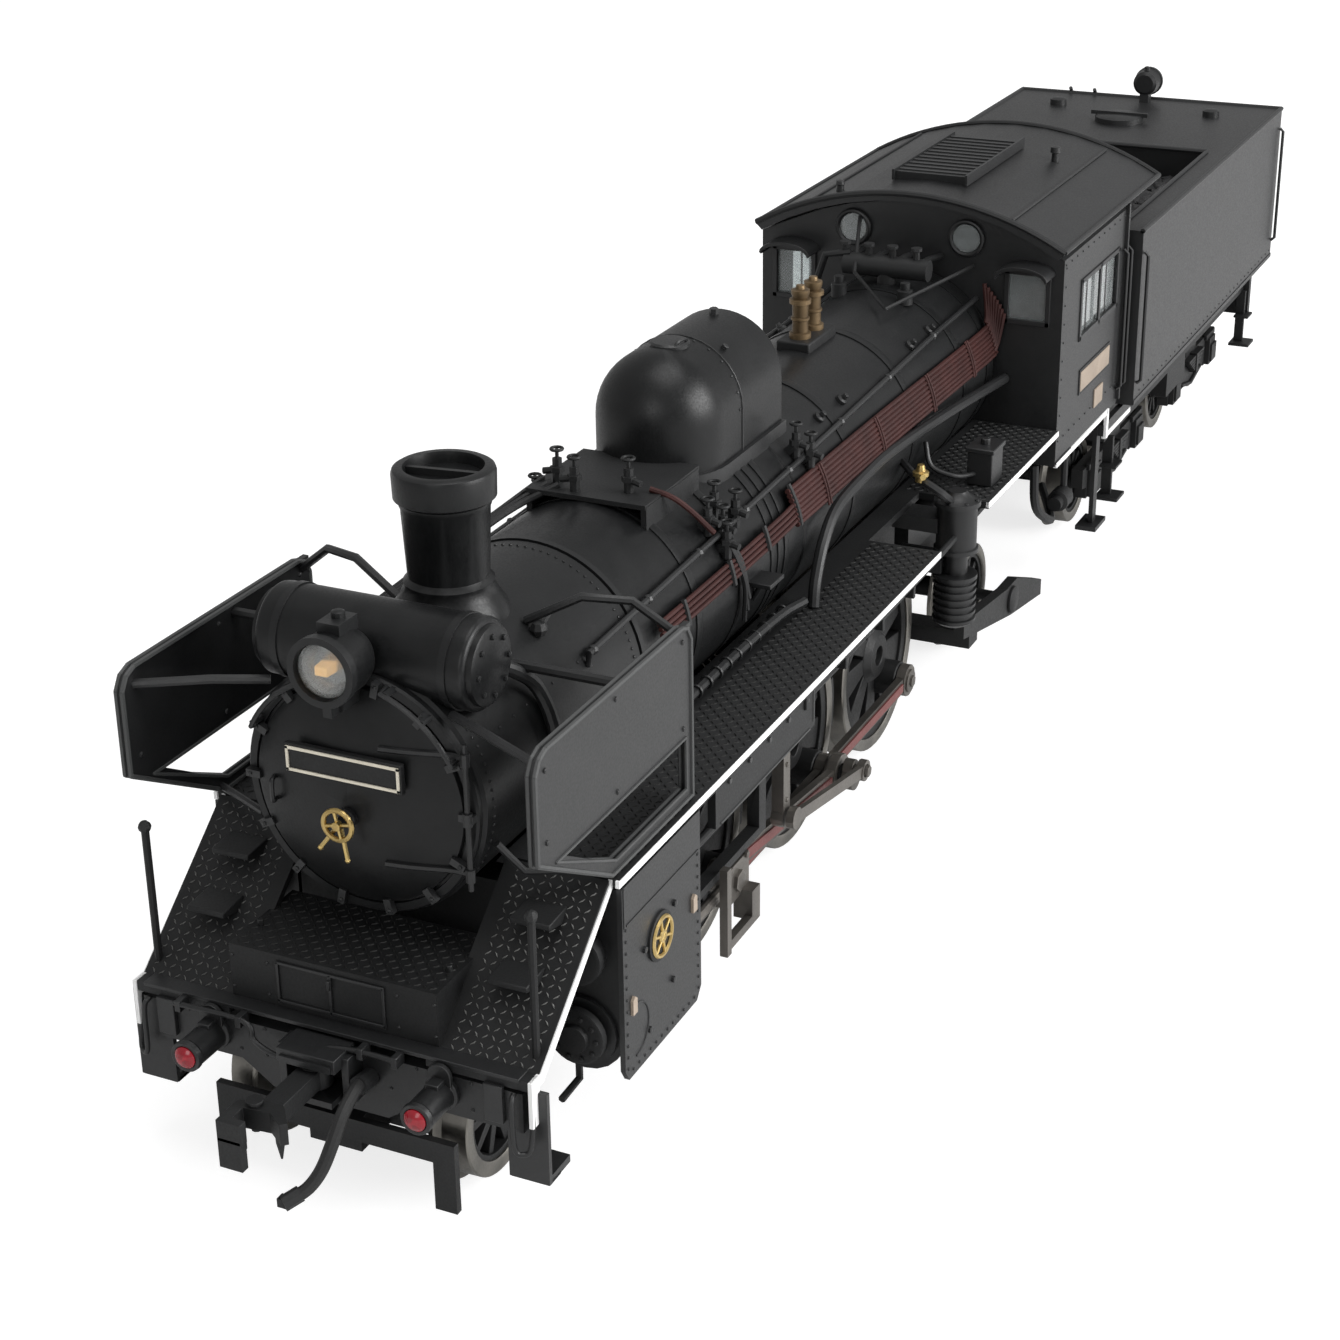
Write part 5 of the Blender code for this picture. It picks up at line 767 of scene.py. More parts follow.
def valve_cluster(shape, centre, side):
    """Clack valve group: body, spindle and small handwheel."""
    x, y, z = centre
    shape.tube(upright(x, y, z - 1.1, z + 1.3), 0.42)
    shape.nut((x, y, z + 0.2), UP, 0.62, 0.4)
    shape.tube(upright(x, y, z + 1.2, z + 2.1), 0.16, 6)
    shape.ring((x, y, z + 2.1), UP, 0.5, 0.13, 14, 6)
    shape.tube([(x, y, z + 0.3), (x + 0.2, y + side * 1.2, z + 0.1)], 0.3)


def make_boiler_valves():
    shape = Shape()
    shape.box((53.2, 63.6), (-5.4, 5.4), (39.6, 40.0))
    for y in (-5.2, 5.2):
        shape.box((53.4, 63.5), around(y, 0.25), (37.0, 39.8))
    for x, y in ((61.4, -3.6), (62.6, -1.4), (61.2, 2.8)):
        valve_cluster(shape, (x, y, 40.8), math.copysign(1, y))
    for x, degrees, radius in CLACKS:
        spot = on_boiler(x, degrees, radius)
        valve_cluster(shape, spot, math.copysign(1, degrees))
        shape.tube([on_boiler(x, degrees, 9.5), spot], 0.5)
    for d in (56, 50, 62):
        shape.pipe(boiler_path((56.4, d, 10.6), (55.5, d + 12, 10.3), (54.6, d + 26, 10.2),
                               (54.0, d + 45, 10.3)), 0.22, 6)
    for k in range(3):
        drop = 0.4 * k
        path = [(62.4 - 0.6 * k, -3.0 - k, 40.2), (66.0, -6.0 - drop, 38.6), (76.0, -7.4 - drop, 37.2),
                (90.0, -7.6 - drop, 36.6)]
        shape.pipe(path, 0.3 - 0.05 * k)
    for x, degrees in ((84.0, 40), (88.0, -40), (81.0, -30)):
        spot = on_boiler(x, degrees, 10.1)
        shape.ball(spot, 0.7)
        shape.tube([on_boiler(x, degrees, 9.4), spot], 0.35)
        shape.tube([spot, spot + Vector((-1.6, 0, 0.6))], 0.25, 6)
    piece("boiler_valves", shape, "matte")


def make_boiler_steps():
    steps = Shape()
    for x, degrees in ((51.0, 92), (83.5, 99), (51.0, -92)):
        spot = on_boiler(x, degrees, 10.4)
        steps.box(around(x, 1.5), around(spot.y, 1.2), around(spot.z, 0.2))
        steps.tube([spot, on_boiler(x, degrees + math.copysign(12, degrees), 9.6)], 0.25, 6)
    for side in BOTH:
        for x in (30.0, 24.5, 6.0, 0.5):
            plug = [(-0.1, 0.55), (0.3, 0.55), (0.4, 0.3), (0.9, 0.25)]
            steps.turn(plug, on_boiler(x, 44 * side, 9.75), out_of_boiler(44 * side), 10)
    piece("boiler_steps", steps, "paint", bevel=0.05)


def make_turret():
    turret = Shape()
    turret.tube(lateral(TURRET_X, 4.6, TURRET_Z), 1.15, 14)
    for y in (-4.6, -2.0, 0.6, 3.2):
        valve = [(0, 0.7), (0.4, 0.7), (0.5, 0.4), (1.5, 0.35), (1.6, 0.6), (1.9, 0.6)]
        turret.turn(valve, (TURRET_X, y, 41.8), UP, 8)
        turret.pipe([(-6.3, y, TURRET_Z), (-8.6, y, 41.6), (-12.3, y * 1.1, 41.2)], 0.34)
    turret.tube(upright(TURRET_X, 0, 39.2, TURRET_Z), 1.0, 12)
    turret.tube([(-5.4, -4.0, 42.6), (-4.9, -6.6, 42.2), (-4.9, -8.0, 38.0)], 0.4)
    for y in (3.6, -3.6):
        turret.turn([(0, 0.8), (1.4, 0.8), (1.5, 0.5), (2.2, 0.5)], (-1.2, y, 39.0), UP, 12)
    turret.tube([(-12.2, -5.6, 44.6), (-3.0, -2.6, 41.2), (4.5, 3.6, 40.0), (-12.0, 7.2, 40.6)], 0.2, 6)
    piece("steam_turret", turret, "matte")


# Platforms, front end and deflectors.

def chequer(shape, origin, along, across, length, width):
    """Rows of small raised ticks on a plate, leaning alternately."""
    along = Vector(along).normalized()
    across = Vector(across).normalized()
    up = along.cross(across).normalized()
    if up.z < 0:
        up = -up
    rows = int(length / TICK_PITCH)
    cols = int(width / TICK_PITCH)
    for i in range(rows):
        for j in range(cols):
            sign = 1 if (i + j) % 2 else -1
            centre = Vector(origin) + along * (i + 0.5) * length / rows + across * (j + 0.5) * width / cols
            way = (along * math.cos(TICK_LEAN) + across * sign * math.sin(TICK_LEAN)).normalized()
            a = way * TICK_HALF_LENGTH
            b = up.cross(way) * TICK_HALF_WIDTH
            base = [centre - a, centre - b, centre + a, centre + b]
            top = [centre - a * 0.6 + up * TICK_HEIGHT, centre + a * 0.6 + up * TICK_HEIGHT]
            points = [p - up * TICK_SINK for p in base] + top
            shape.add(points, [(0, 1, 5, 4), (1, 2, 5), (2, 3, 4, 5), (3, 0, 4), (0, 3, 2, 1)])


def make_boards():
    ticks = Shape()
    worn = Shape()
    lines = Shape()
    edge = Shape()
    slope = Vector((SLOPE_TOP[0] - SLOPE_FOOT[0], 0, SLOPE_TOP[1] - SLOPE_FOOT[1]))
    strip = [(SLOPE_TOP[0] - 0.3, 23.62), (SLOPE_FOOT[0] - 0.1, 14.3), (BEAM_X + 0.1, 14.3),
             (BEAM_X + 0.1, 10.6), (BEAM_X - 1.0, 10.6), (BEAM_X - 1.0, 13.5), (SLOPE_FOOT[0] - 0.4, 13.5),
             (SLOPE_TOP[0] - 0.3, 22.95)]
    for side in BOTH:
        out = (0, side, 0)
        chequer(ticks, (25.4, side * 10.4, BOARD_Z), FORWARD, out, 67.0, 6.5)
        chequer(ticks, (-11.8, side * 8.4, BOARD_Z), FORWARD, out, 22.6, 8.4)
        for x in ((25.0, 93.2), (-12.1, 11.0)):
            lines.box(x, mirror(side, BOARD_Y - 0.25, BOARD_Y + 0.06), (BOARD_Z - 0.6, BOARD_Z - 0.02))
        edge.box((25.4, 92.0), mirror(side, 14.6, 15.0), (20.9, 23.1))
        edge.box((25.4, 79.0), mirror(side, 16.2, 16.8), (22.3, 23.0))
        for x in (30.0, 38.0, 47.0, 56.0):
            edge.prism([(x, 20.9), (x + 0.5, 20.9), (x + 0.5, 23.0), (x, 23.0)], "XZ", side * 14.8,
                       side * 16.6)
        foot = Vector((SLOPE_FOOT[0], side * 9.2, SLOPE_FOOT[1]))
        chequer(worn, foot, slope, out, slope.length - 0.3, 6.9)
        lines.prism(strip, "XZ", side * 16.3, side * 16.62)
        for t in (0.42, 0.74):
            spot = foot + slope * t
            step = ((-0.4, -0.2), (1.9, 0.3), (1.9, 0.75), (-0.9, 0.9))
            edge.prism([(spot.x + x, spot.z + z) for x, z in step], "XZ", *mirror(side, 11.0, 14.2))
    chequer(ticks, (96.4, -8.4, 18.7), FORWARD, LEFT, 8.0, 16.8)
    piece("chequer_plate", ticks, "tick")
    piece("worn_chequer_plate", worn, "worn")
    piece("white_lines", lines, "white")
    piece("board_brackets", edge, "matte", bevel=0.08)


def make_front_box():
    trim = Shape()
    face = (104.6, 104.78)
    for y in (-4.6, -0.2, 4.2):
        trim.box(face, (y, y + 0.22), (14.8, 18.2))
    for z in (14.9, 18.0):
        trim.box(face, (-4.6, 4.4), (z, z + 0.22))
    for y in (-8.4, -5.4, 5.4, 8.4):
        for z in (15.2, 17.8):
            trim.rivet((face[0], y, z), FORWARD)
    trim.tube(upright(104.9, -0.1, 17.0, 17.8), 0.16, 6)
    trim.box((103.4, 105.9), (-15.6, 15.6), (14.1, 14.4))
    for y in (-7.9, 7.9):
        trim.tube(upright(101.5, y, 18.6, 19.2), 0.25)
    piece("front_box_trim", trim, "paint", bevel=0.04)


def make_beam_fittings():
    fittings = Shape()
    for side in BOTH:
        y = side * LAMP_Y
        fittings.turn([(105.7, 1.35), (106.2, 1.35), (106.3, 1.15), (109.2, 1.15), (109.3, 1.25),
                       (109.75, 1.2), (109.75, 0.9), (109.4, 0.85), (109.4, 0)], (0, y, LAMP_Z), FORWARD)
        hood = [(y + a, 13.3 + b) for a, b in (polar(d, 0.95) for d in range(180, -1, -20))]
        fittings.prism([(y - 0.95, 12.6), *hood, (y + 0.95, 12.6)], "YZ", 106.0, 106.4)
        fittings.box((106.0, 107.4), around(y, 0.5), (12.8, 13.2))
        fittings.pipe(flip(side, (105.9, 15.2, 13.2), (106.5, 15.3, 12.6), (106.5, 15.4, 9.2),
                           (106.3, 15.9, 8.6), (105.9, 16.4, 9.2), (105.2, 16.4, 13.0)), 0.22, 6)
        fittings.box((105.8, 106.2), mirror(side, 12.9, 14.4), (10.6, 13.6))
        for z in (10.8, 13.0):
            for k in range(6):
                fittings.rivet((BEAM_X, side * (3.0 + 2.2 * k), z), FORWARD, 0.17)
        fittings.box((103.2, 104.8), mirror(side, 14.2, 17.2), (5.4, 5.75))
    lever = [(106.7, -12.4, 13.9), (106.7, -6.4, 13.9), (106.9, -5.4, 12.6), (107.1, -3.4, 12.0),
             (107.1, -1.2, 12.4), (107.0, 0.4, 13.6), (106.7, 3.0, 13.9), (106.7, 6.4, 13.9)]
    fittings.pipe(lever, 0.22)
    for y in (-12.0, -6.8, 3.4, 6.2):
        fittings.box((105.7, 106.9), around(y, 0.25), (13.3, 14.2))
    fittings.box((105.8, 108.6), (-2.4, 2.4), (12.8, 13.9))
    for y in ((-2.9, -2.3), (2.3, 2.9)):
        fittings.box((105.8, 107.6), y, (9.6, 13.6))
    piece("beam_fittings", fittings, "paint", bevel=0.05)
    lenses = Shape()
    for side in BOTH:
        lenses.turn([(109.4, 0.86), (109.8, 0.86), (110.05, 0.6), (110.15, 0.25), (110.17, 0)],
                    (0, side * LAMP_Y, LAMP_Z), FORWARD)
    piece("marker_lenses", lenses, "red_lens")


def knuckle(forward, pivot, reach):
    """Coupler with a hooked head whose flat outer bar hangs below it, swinging about the pivot."""
    shape = Shape()

    def at(x, y):
        return (pivot + forward * x, forward * y)

    hook = [(-3.4, -0.9), (-2.6, -2.4), (0, -2.4), (0, -0.4), (-0.7, -0.4), (-0.7, -1.5), (-2.0, -1.5),
            (-2.2, 0.6), (-1.2, 2.0), (-1.6, 2.4), (-3.0, 1.3), (-3.4, 0.9)]
    bar = [(-0.7, -2.4), (0, -2.4), (0, -0.5), (-0.7, -0.5)]
    shank = [(0.6 - reach, -0.85), (-3.2, -0.85), (-3.2, 0.85), (0.6 - reach, 0.85)]
    for outline, low, high in ((hook, 10.9, 12.6), (bar, 8.75, 11.2), (shank, 11.0, 12.5)):
        shape.prism([at(reach + x, y) for x, y in outline], "XY", low, high)
    shape.turn([(10.85, 1.2), (12.55, 1.2)], (*at(0, 0), 0), UP)
    shape.turn([(10.6, 0.4), (12.75, 0.4), (12.85, 0.65), (13.05, 0.65)], (*at(reach - 2.6, -0.9), 0), UP, 10)
    shape.turn([(8.6, 0.08), (10.0, 0.34), (11.2, 0.36)], (*at(reach - 2.7, 0.9), 0), UP, 8)
    return shape


def make_couplers():
    piece("coupler_head_front", knuckle(1, 107.3, 8.9), "matte", "coupler_front", ["front_coupler"],
          bevel=0.12)
    piece("coupler_head_rear", knuckle(-1, -110.5, 5.7), "matte", "coupler_rear", ["rear_coupler"],
          bevel=0.12)
    hose = Shape()
    hose.pipe([(106.0, 3.6, 11.5), (107.2, 3.6, 11.7), (108.5, 3.8, 11.7), (110.3, 3.9, 10.9),
               (111.5, 3.7, 9.2), (112.2, 3.2, 7.5), (113.0, 2.6, 6.4), (113.9, 1.9, 5.9),
               (114.5, 1.5, 5.75)], 0.5, 10)
    piece("front_hose", hose, "rubber", replaces=["brake_hose"])
    ends = Shape()
    ends.tube([(105.9, 3.6, 11.4), (107.6, 3.65, 11.7)], 0.72, 10)
    ends.tube([(113.5, 2.2, 6.1), (114.6, 1.45, 5.72)], 0.6)
    ends.box((114.0, 114.7), (1.0, 2.0), (5.4, 6.1))
    piece("hose_fittings", ends, "matte")


def make_deflectors():
    outline = [(104.0, 30.3), (104.0, 36.9), (103.4, 37.9), (102.4, 38.3), (81.2, 38.3), (80.2, 38.0),
               (79.6, 37.0), (79.6, 24.1), (93.2, 24.1)]
    window = [(101.4, 29.3), (80.6, 29.3), (80.6, 25.0), (92.6, 25.0)]
    for word, side in SIDES.items():
        rim = Shape()
        for loop, radius in ((outline, 0.2), (window, 0.15)):
            for y in DEFLECTOR_Y:
                points = [(x, side * y, z) for x, z in loop]
                for a, b in zip(points, points[1:] + points[:1]):
                    rim.tube([a, b], radius, 6)
                    rim.ball(a, radius, 6)
        piece(f"deflector_rim_{word}", rim, "grey")
        stays = Shape()
        stays.tube(flip(side, (80.6, 16.3, 37.5), (81.6, 13.0, 40.1), (83.0, 9.6, 40.4), (84.0, 5.4, 38.2)),
                   0.35)
        stays.tube(flip(side, (102.6, 16.3, 37.0), (100.4, 11.0, 37.4), (98.4, 7.4, 37.2)), 0.35)
        stays.tube(flip(side, (93.4, 16.4, 24.6), (95.6, 11.0, 24.4), (97.0, 9.6, 27.0)), 0.3)
        for x, z in ((102.6, 36.8), (81.0, 37.2), (92.0, 37.4), (102.6, 31.4), (81.0, 30.2), (92.0, 30.2)):
            for y, way in ((DEFLECTOR_Y[1], side), (DEFLECTOR_Y[0], -side)):
                stays.rivet((x, side * y, z), (0, way, 0), 0.24)
        piece(f"deflector_stays_{word}", stays, "paint")


# Cylinders and valve gear.

def cylinder_sheet(side):
    sheet = Shape()
    face = side * CYLINDER_FACE_Y
    out = (0, side, 0)
    outline = [(79.6, 22.9), (93.0, 22.9), (93.0, 7.6), (92.4, 6.6), (80.4, 6.6), (79.6, 7.6)]
    sheet.prism(outline, "XZ", side * 16.9, face)
    sheet.box((80.0, 92.4), mirror(side, 17.3, 17.38), (19.6, 19.75))
    sheet.prism([(92.6, 19.6), (92.8, 19.6), (92.8, 22.8), (92.6, 22.8)], "XZ", side * 17.3, side * 17.38)
    curve = [polar(a, 2.2) for a in range(0, 181, 15)]
    sheet.tube([(91.2 - x, face, 10.2 - z) for z, x in curve], 0.1, 6)
    for k in range(13):
        for x in (92.5, 80.1):
            sheet.rivet((x, face, 7.6 + k * 0.98), out)
    for k in range(12):
        sheet.rivet((80.9 + k * 0.98, face, 7.15), out)
    for x, z in ((89.6, 16.2), (84.4, 17.4), (84.8, 11.0), (89.0, 9.0)):
        sheet.nut((x, face, z), out, 0.28, 0.22)
    return sheet


def cylinder_covers(side):
    ends = Shape()
    y = side * CYLINDER_Y
    ends.turn([(-0.5, 2.3), (0.1, 2.3), (0.2, 2.1), (0.25, 1.2), (0.6, 1.1), (0.65, 0.5)],
              (94.0, y, DRIVER_Z), FORWARD, 28)
    for a, b in spots(10, 1.75):
        ends.nut((94.15, y + a, DRIVER_Z + b), FORWARD, 0.2, 0.2)
    for x, way in ((94.0, FORWARD), (78.6, BACKWARD)):
        ends.turn([(-0.5, 2.2), (0.1, 2.2), (0.2, 1.9), (0.3, 0.9), (1.0, 0.8)], (x, y, 17.0), way)
    for x in (91.0, 82.0):
        ends.tube(flip(side, (x, 12.4, 7.4), (x, 12.4, 4.6), (x + 2.6, 12.2, 4.2)), 0.3, 6)
    return ends


def make_cylinders():
    for word, side in SIDES.items():
        piece(f"cylinder_sheet_{word}", cylinder_sheet(side), "paint")
        tags = Shape()
        tag = ((-0.35, -0.7), (0.35, -0.7), (0.35, 0.5), (0, 0.8), (-0.35, 0.5))
        for x, z in ((91.6, 12.6), (81.0, 15.6)):
            tags.prism([(x + a, z + b) for a, b in tag], "XZ", side * 17.3, side * 17.55)
        piece(f"cylinder_tags_{word}", tags, "tan")
        boss = Shape()
        boss.turn([(0, 2.0), (0.22, 2.0), (0.26, 1.9), (0.26, 0)], (EMBLEM_X, side * 17.3, EMBLEM_Z),
                  (0, side, 0), 32)
        piece(f"emblem_disc_{word}", boss, "matte")
        emblem = Shape()
        hub = Vector((EMBLEM_X, side * 17.62, EMBLEM_Z))
        emblem.ring(hub, LEFT, 1.55, 0.17, 32, 6)
        emblem.ring(hub, LEFT, 0.4, 0.15, 16, 6)
        for x, z in spots(6, 1.5, math.radians(20)):
            emblem.tube([hub, hub + Vector((x, 0, z))], 0.13, 6)
        piece(f"emblem_wheel_{word}", emblem, "brass")
        piece(f"cylinder_covers_{word}", cylinder_covers(side), "matte")


def beam_between(shape, a, b, y, half, short=(0, 0)):
    """Thin strip in an upright plane from point a to b, each (x, z), stopping short of both."""
    a = Vector((a[0], 0, a[1]))
    b = Vector((b[0], 0, b[1]))
    way = (b - a).normalized()
    a, b = a + way * short[0], b - way * short[1]
    up = Vector((-way.z, 0, way.x)) * half
    ring = [a - up, b - up, b + up, a + up]
    shape.grid([[p + Vector((0, t, 0)) for p in ring] for t in y])


def make_side_rod(word, side, pins):
    flutes = Shape()
    for a, b in zip(pins, pins[1:]):
        beam_between(flutes, a, b, (side * 12.4, side * 12.62), 0.42, (1.9, 1.9))
    piece(f"side_rod_flutes_{word}", flutes, "flute", f"side_rod_{word}")
    caps = Shape()
    for k, (x, z) in enumerate(pins):
        caps.turn([(0, 1.15), (0.25, 1.15), (0.3, 1.0)], (x, side * 12.5, z), (0, side, 0), 18)
        if k != 1:
            caps.nut((x, side * 12.7, z), (0, side, 0), 0.6, 0.3)
    piece(f"side_rod_caps_{word}", caps, "rod", f"side_rod_{word}")


def make_rods():
    for word, side in SIDES.items():
        out = (0, side, 0)
        dx, dz = CRANK[word]
        pins = [(DRIVER_X[axle] + dx, DRIVER_Z + dz) for axle in ("rear", "main", "front")]
        make_side_rod(word, side, pins)
        flutes = Shape()
        beam_between(flutes, pins[1], WRIST[word], (side * 13.7, side * 13.92), 0.45, (2.4, 1.9))
        piece(f"main_rod_flute_{word}", flutes, "flute", f"main_rod_{word}")
        rx, rz = RETURN_CRANK[word]
        caps = Shape()
        caps.nut((DRIVER_X["main"] + rx, side * 16.3, DRIVER_Z + rz), out, 0.55, 0.35)
        piece(f"eccentric_cap_{word}", caps, "rod", f"eccentric_rod_{word}")
        gear = Shape()
        gear.nut((LINK_X, side * 15.3, 19.3), out, 0.7, 0.3)
        for z in (12.9, 16.2, 21.2):
            gear.rivet((LINK_X, side * 15.35, z), out, 0.25)
        piece(f"link_bolts_{word}", gear, "rod", f"expansion_link_{word}")
        head = Shape()
        x, z = WRIST[word]
        head.nut((x, side * 15.3, z), out, 0.95, 0.35)
        for bolt in (-1.6, 1.6):
            head.nut((x + bolt, side * 15.3, z + 1.6), out, 0.3, 0.25)
        piece(f"crosshead_bolts_{word}", head, "rod", f"crosshead_{word}")
        lines = Shape()
        for ends in BRACKET_LINES:
            lines.tube([(x, side * BRACKET_Y, z) for x, z in ends], 0.1, 6)
        for x in (56.0, 60.0, 64.0, 68.0, 72.0):
            lines.nut((x, side * 16.35, 21.6), out, 0.26, 0.2)
        piece(f"bracket_lines_{word}", lines, "grey")


# Wheels.

def spokes(shape, centre, count, lead, reach, halves, y):
    """Tapered spokes round a centre (x, z), from the first reach to the second."""
    c = Vector((centre[0], 0, centre[1]))
    for x, z in spots(count, 1.0, lead):
        way = Vector((x, 0, z))
        flat = Vector((-z, 0, x))
        ring = [c + way * reach[0] - flat * halves[0], c + way * reach[1] - flat * halves[1],
                c + way * reach[1] + flat * halves[1], c + way * reach[0] + flat * halves[0]]
        shape.grid([[(p.x, t, p.z) for p in ring] for t in y])


def tyre(shape, x, z, radius, side):
    back, face = WHEEL_BACK, WHEEL_FACE
    profile = [(back, -1.15), (back, 0.6), (back + 0.12, 0.76), (back + 0.4, 0.70), (back + 0.76, 0.04),
               (face - 0.1, 0), (face, -0.12), (face, -0.95), (face - 0.1, -1.15), (back, -1.15)]
    shape.turn([(side * y, radius + rise) for y, rise in profile], (x, 0, z), LEFT, 56)


def driver_centre(shape, x, hand, side, pin_end):
    """One driving wheel's rim, hub, spokes, balance weight and crank pin."""
    inner = side * (WHEEL_BACK + 0.5)
    outer = side * (WHEEL_FACE - 0.55)
    back = side * WHEEL_BACK
    face = side * (WHEEL_FACE + 0.1)
    lip = outer + side * 0.3
    axle = (x, 0, DRIVER_Z)
    rim = [(inner, 7.2), (inner, DRIVER_R - 1.0), (lip, DRIVER_R - 1.0), (lip, 7.3), (inner, 7.2)]
    shape.turn(rim, axle, LEFT, 56)
    hub = [(back, 0), (back, 2.8), (outer, 2.8), (outer + side * 0.45, 2.3), (face, 2.1), (face, 1.0),
           (outer, 0.9), (outer, 0)]
    shape.turn(hub, axle, LEFT, 32)
    dx, dz = CRANK[hand]
    lead = math.atan2(dz, dx)
    spokes(shape, (x, DRIVER_Z), 9, lead, (2.2, SPOKE_REACH), (0.75, 1.55), (inner, outer))
    arc = [polar(math.degrees(lead) + 180 + a, SPOKE_REACH) for a in range(-42, 43, 6)]
    shape.prism([(x + a, DRIVER_Z + b) for a, b in arc], "XZ", inner, outer + side * 0.35)
    pin = (x + dx, 0, DRIVER_Z + dz)
    shape.turn([(side * 8.6, 1.75), (side * 11.5, 1.75), (side * 11.55, 1.6)], pin, LEFT)
    shape.turn([(side * 11.4, 0.8), (side * pin_end, 0.8)], pin, LEFT, 14)


def make_return_crank(hand, side):
    x = DRIVER_X["main"]
    big, small = [(x + dx, DRIVER_Z + dz) for dx, dz in (CRANK[hand], RETURN_CRANK[hand])]
    near, far = side * 14.3, side * 15.3
    arm = Shape()
    beam_between(arm, big, small, (near, far), 0.75)
    arm.turn([(near, 1.3), (far, 1.3)], (big[0], 0, big[1]), LEFT, 18)
    arm.turn([(near, 0.85), (far, 0.85)], (small[0], 0, small[1]), LEFT, 16)
    arm.turn([(side * 15.2, 0.4), (side * 16.4, 0.4)], (small[0], 0, small[1]), LEFT, 12)
    piece(f"return_crank_{hand}", arm, "rod", "drive", bevel=0.06)


def make_drivers():
    for word, x in DRIVER_X.items():
        tyres = Shape()
        centres = Shape()
        for hand, side in SIDES.items():
            tyre(tyres, x, DRIVER_Z, DRIVER_R, side)
            driver_centre(centres, x, hand, side, 14.6 if word == "main" else 12.55)
            if word == "main":
                make_return_crank(hand, side)
        centres.tube(lateral(x, 9.0, DRIVER_Z), 1.2, 20)
        body = DRIVER_BODY[word]
        piece(f"driver_tyres_{word}", tyres, "steel", body)
        piece(f"driver_centres_{word}", centres, "matte", body, [f"driver_wheelset_{word}"], bevel=0.07)


def make_small_wheels(node, body, x, reach):
    tyres = Shape()
    centres = Shape()
    axle = (x, 0, SMALL_Z)
    for side in BOTH:
        tyre(tyres, x, SMALL_Z, SMALL_R, side)
        inner = side * (WHEEL_BACK + 0.6)
        outer = side * (WHEEL_FACE - 0.5)
        back = side * WHEEL_BACK
        lip = outer + side * 0.25
        rim = [(inner, 3.75), (inner, SMALL_R - 1.0), (lip, SMALL_R - 1.0), (lip, 3.8), (inner, 3.75)]
        centres.turn(rim, axle, LEFT, 40)
        hub = [(back, 0), (back, 1.5), (outer + side * 0.3, 1.4), (outer + side * 0.45, 1.1),
               (outer + side * 0.5, 0)]
        centres.turn(hub, axle, LEFT)
        spokes(centres, (x, SMALL_Z), 10, 0.0, (1.1, 4.0), (0.38, 0.32), (inner, outer))
    centres.tube(lateral(x, reach, SMALL_Z), 0.6, 12)
    centres.tube(lateral(x, 8.0, SMALL_Z), 1.1, 16)
    piece(f"{node}_tyres", tyres, "steel", body)
    piece(f"{node}_centres", centres, "matte", body, [node], bevel=0.05)


def make_wheels():
    make_drivers()
    make_small_wheels("pony_wheelset", "pony_axle", PONY_X, 10.0)
    make_small_wheels("trailing_wheelset", "trailing_axle", TRAILING_X, 14.6)
    for word, x in BOGIE_X.items():
        for number, offset in ((1, BOGIE_AXLE), (2, -BOGIE_AXLE)):
            make_small_wheels(f"{word}_bogie_wheelset_{number}", f"{word}_bogie_axle_{number}", x + offset,
                              11.3)


# Pumps and under-board gear.

def pump(side):
    shape = Shape()
    x = PUMP_X
    y = side * PUMP_Y
    shape.turn([(11.6, 1.2), (11.8, 1.6), (12.2, 2.15), (12.5, 2.15), (12.6, 1.9), (16.6, 1.9), (16.7, 2.2),
                (17.1, 2.2), (17.2, 1.2), (19.4, 1.2), (19.5, 2.2), (19.9, 2.2), (20.0, 2.0), (24.2, 2.0),
                (24.3, 2.3), (24.8, 2.3), (24.9, 1.9), (25.3, 1.2), (25.7, 0.9)], (x, y, 0), UP, 28)
    for k in range(5):
        z = 13.0 + 0.75 * k
        shape.turn([(z, 1.8), (z, 2.12), (z + 0.3, 2.12), (z + 0.3, 1.8)], (x, y, 0), UP, 28)
    for a, b in spots(8, 2.0):
        shape.nut((x + a, y + b, 24.8), UP, 0.2, 0.2)
    for dx in (-0.9, 0.9):
        shape.tube(upright(x + dx, y, 17.0, 19.6), 0.25, 6)
    shape.box(around(x, 1.6), mirror(side, 8.9, 14.0), (17.3, 18.7))
    shape.box(around(x, 1.6), mirror(side, 8.9, 13.6), (21.5, 23.0))
    shape.pipe([(x + 1.0, y, 24.6), (x + 2.6, y * 0.94, 26.2), (x + 2.2, side * 11.4, 27.4),
                (x + 1.0, side * 9.6, 28.2)], 0.42)
    shape.pipe([(x - 1.6, y, 21.6), (x - 3.8, y * 0.96, 21.0), (x - 4.2, y * 0.9, 18.0),
                (x - 5.0, y * 0.84, 15.6)], 0.36)
    return shape


